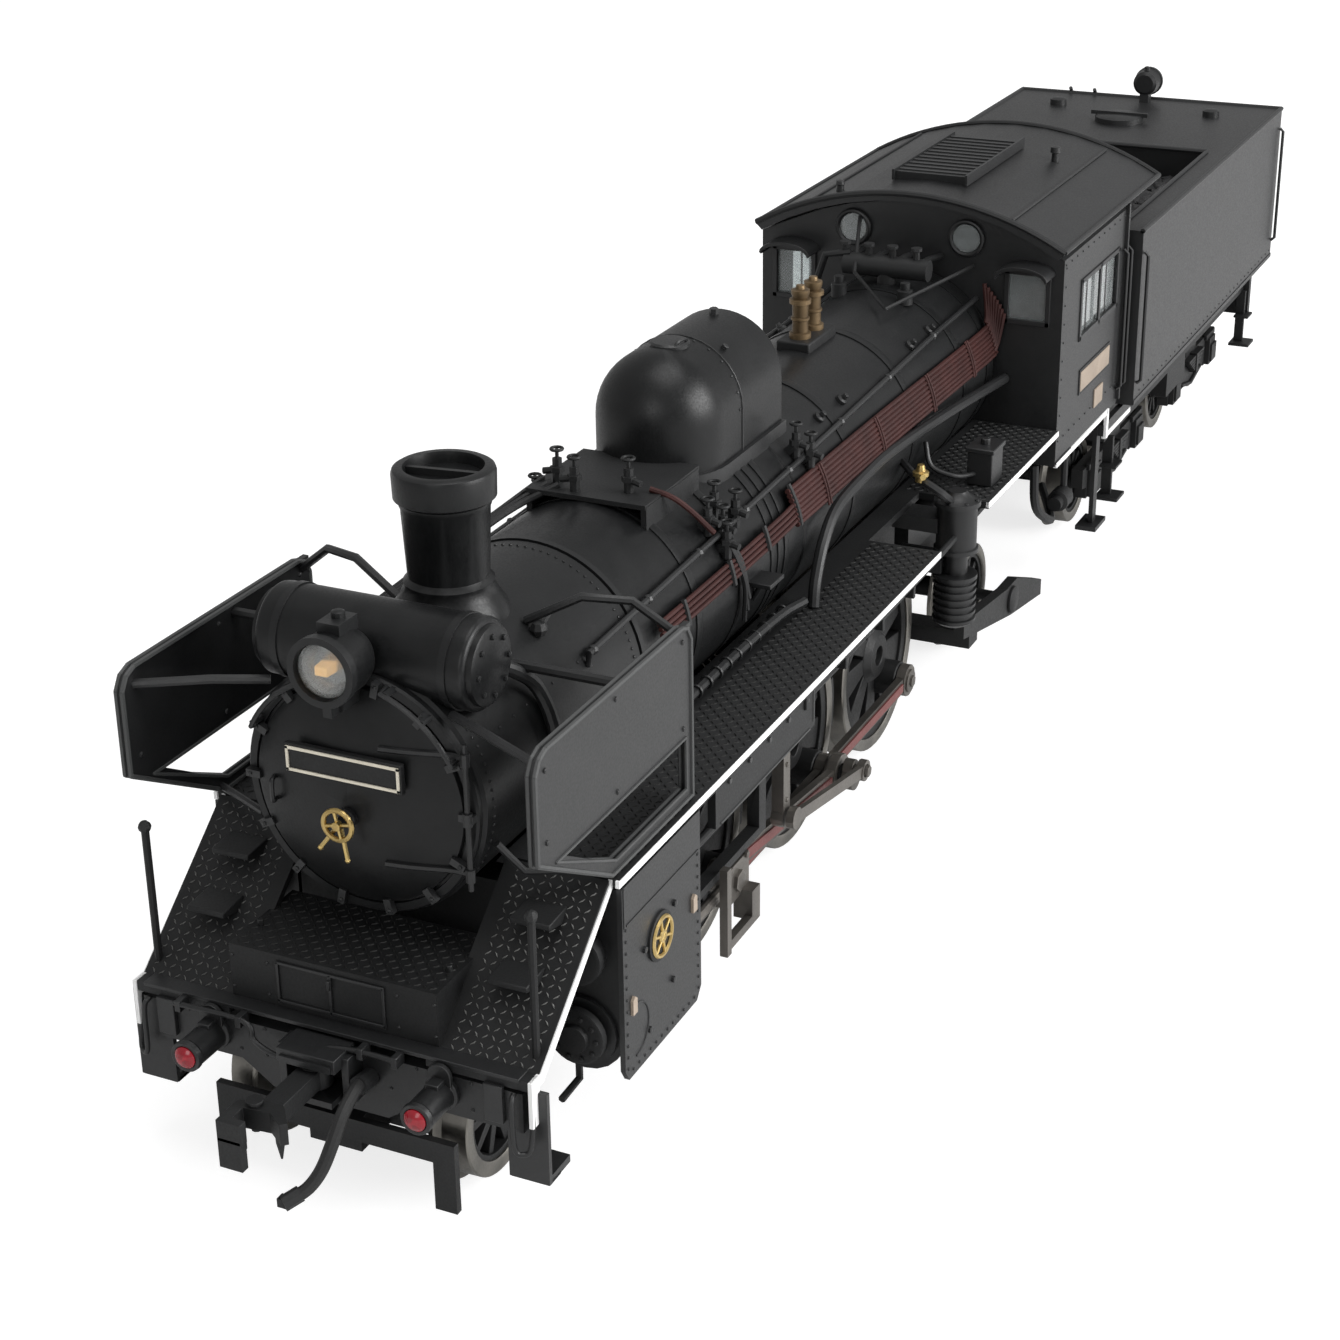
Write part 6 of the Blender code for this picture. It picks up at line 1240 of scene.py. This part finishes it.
def make_pumps():
    for node, (word, side) in zip(("air_compressor", "feed_pump"), SIDES.items()):
        piece(f"{node}_casting", pump(side), "paint", replaces=[node])
        box = Shape()
        box.box((3.8, 7.2), mirror(side, 13.6, 16.2), (23.8, 27.6))
        box.box((3.6, 7.4), mirror(side, 13.4, 16.4), (27.2, 27.7))
        box.tube(upright(5.5, side * 14.9, 27.6, 28.3), 0.5, 10)
        box.pipe(flip(side, (7.2, 14.4, 25.0), (9.6, 13.2, 25.4), (10.4, 11.0, 26.4), (9.6, 10.0, 28.6)),
                 0.28)
        piece(f"lubricator_{word}", box, "paint", bevel=0.12)
    brass = Shape()
    brass.turn([(0, 0.55), (0.5, 0.55), (0.6, 0.8), (1.0, 0.8), (1.1, 0.5), (1.7, 0.35)],
               (16.4, 12.0, 27.0), UP, 12)
    brass.tube([(16.4, 12.0, 27.6), (17.4, 12.6, 27.8)], 0.3)
    piece("governor_fitting", brass, "brass")


def brake_shoe(x):
    """Outline of a shoe that curves round the tyre of a wheel centred at x."""
    ways = [polar(a) for a in range(166, 195, 4)]
    arcs = [(9.65 * a, 9.65 * b) for a, b in ways] + [(10.5 * a, 10.5 * b) for a, b in reversed(ways)]
    return [(x + a, DRIVER_Z + b) for a, b in arcs]


def make_under_gear():
    gear = Shape()
    for side in BOTH:
        gear.tube(flip(side, (54.5, 15.2, 20.4), (20.0, 15.4, 21.2), (-11.0, 15.4, 22.6)), 0.35)
        for x in (53.6, 32.2, 10.9):
            gear.tube(upright(x, side * 8.6, 17.6, 4.6), 0.45)
            gear.prism(brake_shoe(x + 11.2), "XZ", side * 8.3, side * 9.8)
        gear.tube(flip(side, (58.0, 6.9, 4.4), (8.0, 6.9, 4.4)), 0.32)
        for x in (75.6, 54.2, 32.8):
            gear.pipe(flip(side, (x - 1.0, 9.2, 22.8), (x - 0.8, 9.0, 16.0), (x - 0.6, 8.7, 8.0),
                           (x + 0.6, 8.6, 3.0)), 0.28, 6)
        tank = flip(side, (-8.0, 9.8, 21.0), (8.0, 9.8, 21.0))
        gear.tube(tank, 1.7, 18)
        for end in tank:
            gear.ball(end, 1.66, 14)
        gear.pipe(flip(side, (-14.0, 14.2, 18.8), (-14.4, 14.4, 14.0), (-20.0, 14.4, 10.4),
                       (-24.0, 13.2, 9.8), (-30.0, 10.4, 10.4)), 0.5)
        gear.turn([(0, 1.2), (2.2, 1.2), (2.4, 0.8), (3.4, 0.8)], (-25.0, side * 14.4, 11.6), FORWARD, 14)
        gear.tube(upright(-25.0, side * 14.4, 11.6, 19.4), 0.4)
    piece("under_gear", gear, "matte")
    covers = Shape()
    for side in BOTH:
        covers.turn([(0, 1.5), (0.3, 1.5), (0.45, 1.2), (0.5, 0)], (TRAILING_X, side * 14.7, SMALL_Z),
                    (0, side, 0), 18)
    piece("trailing_box_covers", covers, "matte", "trailing", bevel=0.04)


# Cab.

def cab_side(frames, panes, side):
    """Side windows, rails, rivets and the sill behind the cab."""
    y = mirror(side, 16.8, 17.05)
    for x in ((-33.5, -32.9), (-26.5, -25.9), (-19.5, -18.9)):
        frames.box(x, y, (31.5, 38.3))
    for z in ((31.5, 32.0), (37.8, 38.3)):
        frames.box((-33.5, -18.9), y, z)
    for x in (-30.0, -22.6):
        frames.box((x, x + 0.3), mirror(side, 16.3, 16.6), (31.9, 37.9))
    panes.box((-33.2, -19.2), mirror(side, 16.35, 16.55), (31.9, 37.9))
    frames.box((-36.0, -35.5), mirror(side, 16.8, 17.3), (20.0, 42.6))
    for x in (-35.0, -36.6):
        frames.tube(flip(side, (x, 17.0, 21.4), (x, 17.5, 21.8), (x, 17.5, 37.2), (x, 17.0, 37.6)), 0.22, 6)
    frames.box((-18.0, -12.5), mirror(side, 16.85, 17.02), (19.7, 19.95))
    for x in range(-35, -12, 2):
        for z in (41.4, 22.2):
            frames.rivet((x, side * 16.9, z), (0, side, 0), 0.15)
    for z in range(23, 42, 2):
        frames.rivet((-13.2, side * 16.9, z), (0, side, 0), 0.15)
    frames.box((-42.5, -31.9), mirror(side, 16.1, 16.8), (16.6, 18.0))


def cab_front(frames, panes, side):
    """Front window with its visor, and the round window beside the boiler."""
    x = (-12.5, -12.1)
    panes.box((-12.75, -12.55), mirror(side, 11.0, 15.2), (35.2, 40.2))
    for y in ((10.6, 11.1), (15.1, 15.6)):
        frames.box(x, mirror(side, *y), (34.8, 40.6))
    for z in (34.8, 40.1):
        frames.box(x, mirror(side, 10.6, 15.6), (z, z + 0.5))
    arc = [polar(a) for a in range(0, 181, 15)]
    hood = [(13.1 + 2.9 * a, 40.4 + 1.3 * b) for a, b in arc]
    hood += [(13.1 + 2.65 * a, 40.2 + 1.1 * b) for a, b in reversed(arc)]
    frames.prism([(side * a, b) for a, b in hood], "YZ", -12.4, -9.2)
    frames.ring((-12.1, side * 6.3, 43.4), FORWARD, 1.75, 0.28, 28)
    panes.turn([(-12.3, 1.7), (-12.1, 1.7)], (0, side * 6.3, 43.4), FORWARD, 24)


def make_cab():
    frames = Shape()
    panes = Shape()
    plates = Shape()
    rims = Shape()
    lines = Shape()
    for side in BOTH:
        cab_side(frames, panes, side)
        cab_front(frames, panes, side)
        plates.box((-31.2, -20.2), mirror(side, 16.85, 17.08), (25.5, 27.7))
        rims.box((-31.5, -19.9), mirror(side, 16.82, 17.0), (25.2, 28.0))
        plates.box((-29.4, -26.2), mirror(side, 16.85, 17.05), (21.8, 23.9))
        lines.box((-32.2, -12.6), mirror(side, 16.7, 17.06), (19.3, 19.85))
        lines.box((-32.6, -31.9), mirror(side, 16.7, 17.06), (16.4, 19.8))
        lines.box((-42.6, -32.0), mirror(side, 16.5, 16.9), (16.3, 16.85))
    piece("cab_frames", frames, "paint", bevel=0.04)
    piece("cab_panes", panes, "pane")
    piece("cab_plates", plates, "tan", bevel=0.05)
    piece("cab_plate_rims", rims, "matte")
    piece("cab_lines", lines, "white")


def arch(y, lift=0.0):
    """Height of the cab roof's arc."""
    return ROOF_TOP_Z - ROOF_R + math.sqrt((ROOF_R + lift) ** 2 - y * y)


def make_roof():
    roof = Shape()
    for x, wide in ((ROOF_FRONT_X, 0.35), (ROOF_REAR_X, 0.3)):
        places = [ROOF_HALF * (i / ARC_STEPS - 1) for i in range(2 * ARC_STEPS + 1)]
        roof.tube([(x, y, arch(y, 0.05)) for y in places], wide)
    for side in BOTH:
        roof.tube(flip(side, (ROOF_REAR_X, 17.1, 43.1), (ROOF_FRONT_X, 17.1, 43.1)), 0.3)
        seam = arch(11.2, 0.1)
        roof.tube(flip(side, (-46.5, 11.2, seam), (-12.0, 11.2, seam)), 0.16, 6)
    for k in range(12):
        x = -19.0 - 1.5 * k
        roof.box((x - 0.45, x), (-3.8, 3.8), (48.2, 48.42))
    for y in (-4.2, 4.0):
        roof.box((-37.6, -17.8), (y, y + 0.25), (47.4, 48.55))
    roof.turn([(0, 0.45), (1.0, 0.4), (1.1, 0.6), (1.7, 0.55), (1.8, 0)], (-35.9, 8.4, arch(8.4) - 0.1), UP,
              12)
    roof.turn([(0, 0.45), (0.7, 0.4), (0.8, 0.5), (1.2, 0.45), (1.3, 0)], (-15.0, -9.0, arch(9.0) - 0.1),
              UP, 12)
    piece("cab_roof_trim", roof, "paint")


def make_backhead():
    inside = Shape()
    inside.turn([(-13.6, 8.4), (-14.4, 8.3), (-15.0, 7.6), (-15.2, 0)], (0, 0, BOILER_Z), FORWARD, 40)
    inside.turn([(0, 1.5), (0.5, 1.5), (0.6, 1.2)], (-15.2, 0, 26.4), BACKWARD)
    for y, z in ((-3, 33.5), (3, 33.5), (0, 35), (-5, 30), (5, 30)):
        inside.turn([(0, 0.9), (0.5, 0.9), (0.6, 0.7)], (BACKHEAD_X, y, z), BACKWARD, 16)
    for y in (-11.5, 11.5):
        inside.box((-28.0, -22.0), around(y, 2.2), (20.4, 25.0))
        inside.box((-28.4, -27.6), around(y, 2.2), (25.0, 30.0))
    inside.tube([(-16.0, 6.0, 34.0), (-19.5, 4.0, 35.5)], 0.3)
    piece("cab_backhead", inside, "matte", bevel=0.08)


# Tender.

def coal_lump(shape, x, y):
    size = DRAW.uniform(1.0, 1.9)
    top = COAL_TOP_Z - COAL_CROWN * (abs(y) / COAL_HALF_WIDTH) ** 2 - max(0, (x - COAL_SLOPE_X) * COAL_FALL)
    lump = bmesh.ops.create_icosphere(shape.bm, subdivisions=1, radius=1)["verts"]
    stretch = [size * DRAW.uniform(0.7, 1.2) for _ in range(3)]
    turn = Matrix.Rotation(DRAW.uniform(0, 6.28), 3, (DRAW.uniform(-1, 1), DRAW.uniform(-1, 1), 1))
    for v in lump:
        p = Vector([c * s for c, s in zip(v.co, stretch)]) * DRAW.uniform(0.82, 1.1)
        v.co = turn @ p + Vector((x, y, top - size * 0.5))


def make_coal():
    coal = Shape()
    for i in range(COAL_ROWS):
        for j in range(COAL_COLUMNS):
            x = COAL_START[0] + COAL_PITCH[0] * i + DRAW.uniform(-0.6, 0.6)
            y = COAL_START[1] + COAL_PITCH[1] * j + DRAW.uniform(-0.5, 0.5)
            coal_lump(coal, x, y)
    coal.prism([(-40.2, 31.4), (-78.6, 31.4), (-78.6, 35.4), (-56.0, 35.0), (-40.2, 32.2)], "XZ", -14.8, 14.8)
    piece("coal_lumps", coal, "coal", "tender", ["coal_load"])


def make_tank_trim():
    trim = Shape()
    for side in BOTH:
        trim.tube(flip(side, (TENDER_REAR_X, TENDER_Y, TENDER_TOP_Z),
                       (TENDER_FRONT_X, TENDER_Y, TENDER_TOP_Z)), 0.3)
        trim.tube(flip(side, (-79.0, 15.2, 39.0), (-39.0, 15.2, 39.0)), 0.25)
        for x in (-39.2, -107.4):
            trim.tube(flip(side, (x, 18.3, 21.0), (x, 18.75, 21.4), (x, 18.75, 36.0), (x, 18.3, 36.4)),
                      0.22, 6)
        trim.box((TENDER_REAR_X, TENDER_FRONT_X), mirror(side, 18.15, 18.3), (18.5, 19.0))
        for x in range(-107, -39, 2):
            trim.rivet((x, side * 18.2, 19.6), (0, side, 0), 0.13)
    trim.tube(lateral(-108.1, TENDER_Y, TENDER_TOP_Z), 0.3)
    trim.tube(lateral(-79.0, 15.2, 39.0), 0.3)
    trim.turn([(0, 3.2), (0.7, 3.2), (0.9, 2.9), (1.0, 0)], (-93.0, 0, 38.85), UP, 32)
    trim.box((-93.3, -92.7), (-3.8, 3.8), (39.6, 40.1))
    for y in (-10.5, 10.5):
        trim.turn([(0, 1.1), (0.8, 1.1), (1.0, 0.7)], (-100.0, y, 38.85), UP, 18)
    for y in (-11.2, -7.8):
        trim.tube([(-108.6, y, 19.0), (-109.0, y, 19.4), (-109.0, y, 38.6), (-108.0, y, 39.6)], 0.25, 6)
    for z in range(20, 39, 3):
        trim.tube([(-109.0, -11.2, z), (-109.0, -7.8, z)], 0.22, 6)
    trim.box((-108.6, -108.1), (-4.4, 4.4), (28.4, 30.4))
    piece("tender_trim", trim, "paint", "tender")


def make_tank_lamp():
    lamp = Shape()
    lamp.turn([(0, 1.2), (0.3, 1.6), (2.2, 1.75), (2.25, 1.9), (2.7, 1.9), (2.7, 1.5), (2.2, 1.4), (2.2, 0)],
              TANK_LAMP, BACKWARD, 24)
    lamp.box((-106.6, -105.0), (-0.6, 0.6), (38.8, 40.2))
    lamp.turn([(0, 0.4), (0.5, 0.4), (0.6, 0.2)], (-105.9, 0, 43.1), UP, 10)
    piece("tender_lamp_case", lamp, "paint", "tender", ["tender_lamp"])
    glass = Shape()
    glass.turn([(2.2, 1.42), (2.5, 1.4), (2.75, 0.9), (2.85, 0)], TANK_LAMP, BACKWARD, 24)
    piece("tender_lamp_glass", glass, "lens", "tender")


def make_tender_fittings():
    reds = Shape()
    cases = Shape()
    for side in BOTH:
        lamp = (-109.0, side * 11.5, 15.6)
        cases.turn([(0, 1.2), (1.6, 1.1), (1.65, 1.25), (2.0, 1.2)], lamp, BACKWARD, 18)
        reds.turn([(1.9, 0.85), (2.1, 0.8), (2.25, 0.4), (2.28, 0)], lamp, BACKWARD, 18)
        cases.tube(flip(side, (-109.2, 14.8, 17.6), (-109.8, 14.9, 17.0), (-109.8, 14.9, 11.6),
                        (-109.2, 15.4, 11.0)), 0.22, 6)
        for x in (-107.0, -41.0):
            cases.box(around(x, 0.3), mirror(side, 14.4, 15.6), (6.4, 13.6))
            cases.box(around(x, 1.6), mirror(side, 14.0, 16.8), (6.0, 6.4))
            cases.box(around(x, 1.4), mirror(side, 14.4, 16.4), (10.0, 10.3))
        cases.box((-78.0, -69.0), mirror(side, 10.0, 14.6), (9.6, 13.4))
    cases.tube([(-109.2, 12.8, 17.9), (-109.6, 4.0, 17.9), (-109.8, 0.6, 16.4), (-109.6, -2.0, 17.9),
                (-109.2, -12.8, 17.9)], 0.22, 6)
    cases.pipe([(-109.0, -3.8, 12.6), (-111.0, -4.0, 12.4), (-112.2, -4.1, 10.2), (-112.6, -4.0, 7.6)], 0.5)
    piece("tender_fittings", cases, "matte", "tender", bevel=0.05)
    piece("tender_red_lenses", reds, "red_lens", "tender")


def make_bogies():
    for word, x in BOGIE_X.items():
        shape = Shape()
        for side in BOTH:
            for axle in around(x, BOGIE_AXLE):
                shape.box(around(axle, 1.5), mirror(side, 11.9, 12.7), (4.6, 8.3))
                shape.box(around(axle, 1.2), mirror(side, 12.6, 13.0), (5.0, 7.4))
                shape.box(around(axle, 2.2), mirror(side, 11.9, 12.4), (8.2, 8.9))
            for k in range(5):
                drop = 0.42 * k
                shape.box(around(x, 3.9 - 0.7 * k), mirror(side, 12.0, 12.9), (8.1 - drop, 8.45 - drop))
            shape.box(around(x, 0.5), mirror(side, 11.9, 13.05), (6.0, 8.7))
            for dx in (-6.0, -4.4, 4.4, 6.0):
                shape.nut((x + dx, side * 12.0, 7.4), (0, side, 0), 0.3, 0.25)
            shape.tube(flip(side, (x - 5.0, 12.2, 5.4), (x, 12.2, 4.4), (x + 5.0, 12.2, 5.4)), 0.28, 6)
        piece(f"{word}_bogie_springs", shape, "matte", f"bogie_{word}", bevel=0.05)


# Stage.

def make_camera():
    az, el, roll = (math.radians(v) for v in (CAMERA_AZIMUTH, CAMERA_ELEVATION, CAMERA_ROLL))
    back = Vector((math.cos(az) * math.cos(el), math.sin(az) * math.cos(el), math.sin(el)))
    right = Vector((-math.sin(az), math.cos(az), 0))
    up = back.cross(right)
    across = math.cos(roll) * right + math.sin(roll) * up
    above = -math.sin(roll) * right + math.cos(roll) * up
    data = bpy.data.cameras.new("camera")
    data.sensor_width = 36
    data.lens = CAMERA_LENS
    data.shift_x, data.shift_y = CAMERA_SHIFT
    data.clip_start = 0.005
    camera = bpy.data.objects.new("camera", data)
    turn = Matrix((across, above, back)).transposed().to_4x4()
    camera.matrix_world = Matrix.Translation(CAMERA_PLACE) @ turn
    bpy.context.scene.collection.objects.link(camera)
    bpy.context.scene.camera = camera


def seen(tree):
    """1 for rays that show the background: camera and transmission."""
    path = tree.nodes.new("ShaderNodeLightPath")
    highest = tree.nodes.new("ShaderNodeMath")
    highest.operation = "MAXIMUM"
    for k, ray in enumerate(("Is Camera Ray", "Is Transmission Ray")):
        tree.links.new(path.outputs[ray], highest.inputs[k])
    return highest.outputs["Value"]


def make_floor():
    """White floor that takes light as a plain sheet, and shows itself to the camera nearly pure white."""
    mesh = bpy.data.meshes.new("floor")
    low, high = -FLOOR_SIZE, FLOOR_SIZE
    mesh.from_pydata([(low, low, 0), (high, low, 0), (high, high, 0), (low, high, 0)], [], [(0, 1, 2, 3)])
    floor = bpy.data.objects.new("floor", mesh)
    bpy.context.scene.collection.objects.link(floor)
    made = bpy.data.materials.new("floor_white")
    tree, shader = nodes_of(made)
    shader.inputs["Base Color"].default_value = FLOOR_BASE
    shader.inputs["Roughness"].default_value = 0.9
    shader.inputs["Specular IOR Level"].default_value = 0.0
    shown = new_node(tree, "ShaderNodeBsdfDiffuse", Color=FLOOR_SHOWN)
    light = new_node(tree, "ShaderNodeEmission", Strength=FLOOR_GLOW)
    total = tree.nodes.new("ShaderNodeAddShader")
    tree.links.new(shown.outputs["BSDF"], total.inputs[0])
    tree.links.new(light.outputs["Emission"], total.inputs[1])
    mix = tree.nodes.new("ShaderNodeMixShader")
    tree.links.new(seen(tree), mix.inputs["Fac"])
    tree.links.new(shader.outputs["BSDF"], mix.inputs[1])
    tree.links.new(total.outputs["Shader"], mix.inputs[2])
    tree.links.new(mix.outputs["Shader"], tree.nodes["Material Output"].inputs["Surface"])
    mesh.materials.append(made)


def make_world():
    world = bpy.data.worlds.new("studio")
    bpy.context.scene.world = world
    world.use_nodes = True
    tree = world.node_tree
    ground = tree.nodes["Background"]
    strength = spread(tree, seen(tree), 0.0, 1.0, WORLD_FILL, 1.0)
    tree.links.new(strength, ground.inputs["Strength"])
    ground.inputs["Color"].default_value = (1, 1, 1, 1)


def add_light(name, place, target, size, power):
    data = bpy.data.lights.new(name, "AREA")
    data.shape = "RECTANGLE"
    data.size, data.size_y = size
    data.energy = power
    light = bpy.data.objects.new(name, data)
    light.location = place
    light.rotation_euler = (Vector(target) - Vector(place)).to_track_quat("-Z", "Y").to_euler()
    bpy.context.scene.collection.objects.link(light)


def make_lights():
    add_light("key", (-0.10, 0.80, 0.34), (0.0, 0.0, 0.02), (0.6, 0.5), 9.0)
    add_light("top", (0.05, 0.10, 0.80), (0.02, 0.0, 0.02), (0.5, 0.5), 2.4)
    add_light("front", (0.75, 0.10, 0.35), (0.08, 0.0, 0.02), (0.3, 0.3), 0.8)


STEPS = (
    make_camera, dress_nodes, make_boiler, make_door, make_door_fittings, make_handwheel, make_front_plate,
    make_heater, make_headlight, make_chimney, make_dome, make_safety_valves, make_pipe_bundle,
    make_handrails, make_boiler_valves, make_boiler_steps, make_turret, make_boards, make_front_box,
    make_beam_fittings, make_couplers, make_deflectors, make_cylinders, make_rods, make_wheels, make_pumps,
    make_under_gear, make_cab, make_roof, make_backhead, make_coal, make_tank_trim, make_tank_lamp,
    make_tender_fittings, make_bogies, make_floor, make_world, make_lights,
)
for step in STEPS:
    step()
bpy.context.scene.view_settings.view_transform = "Standard"
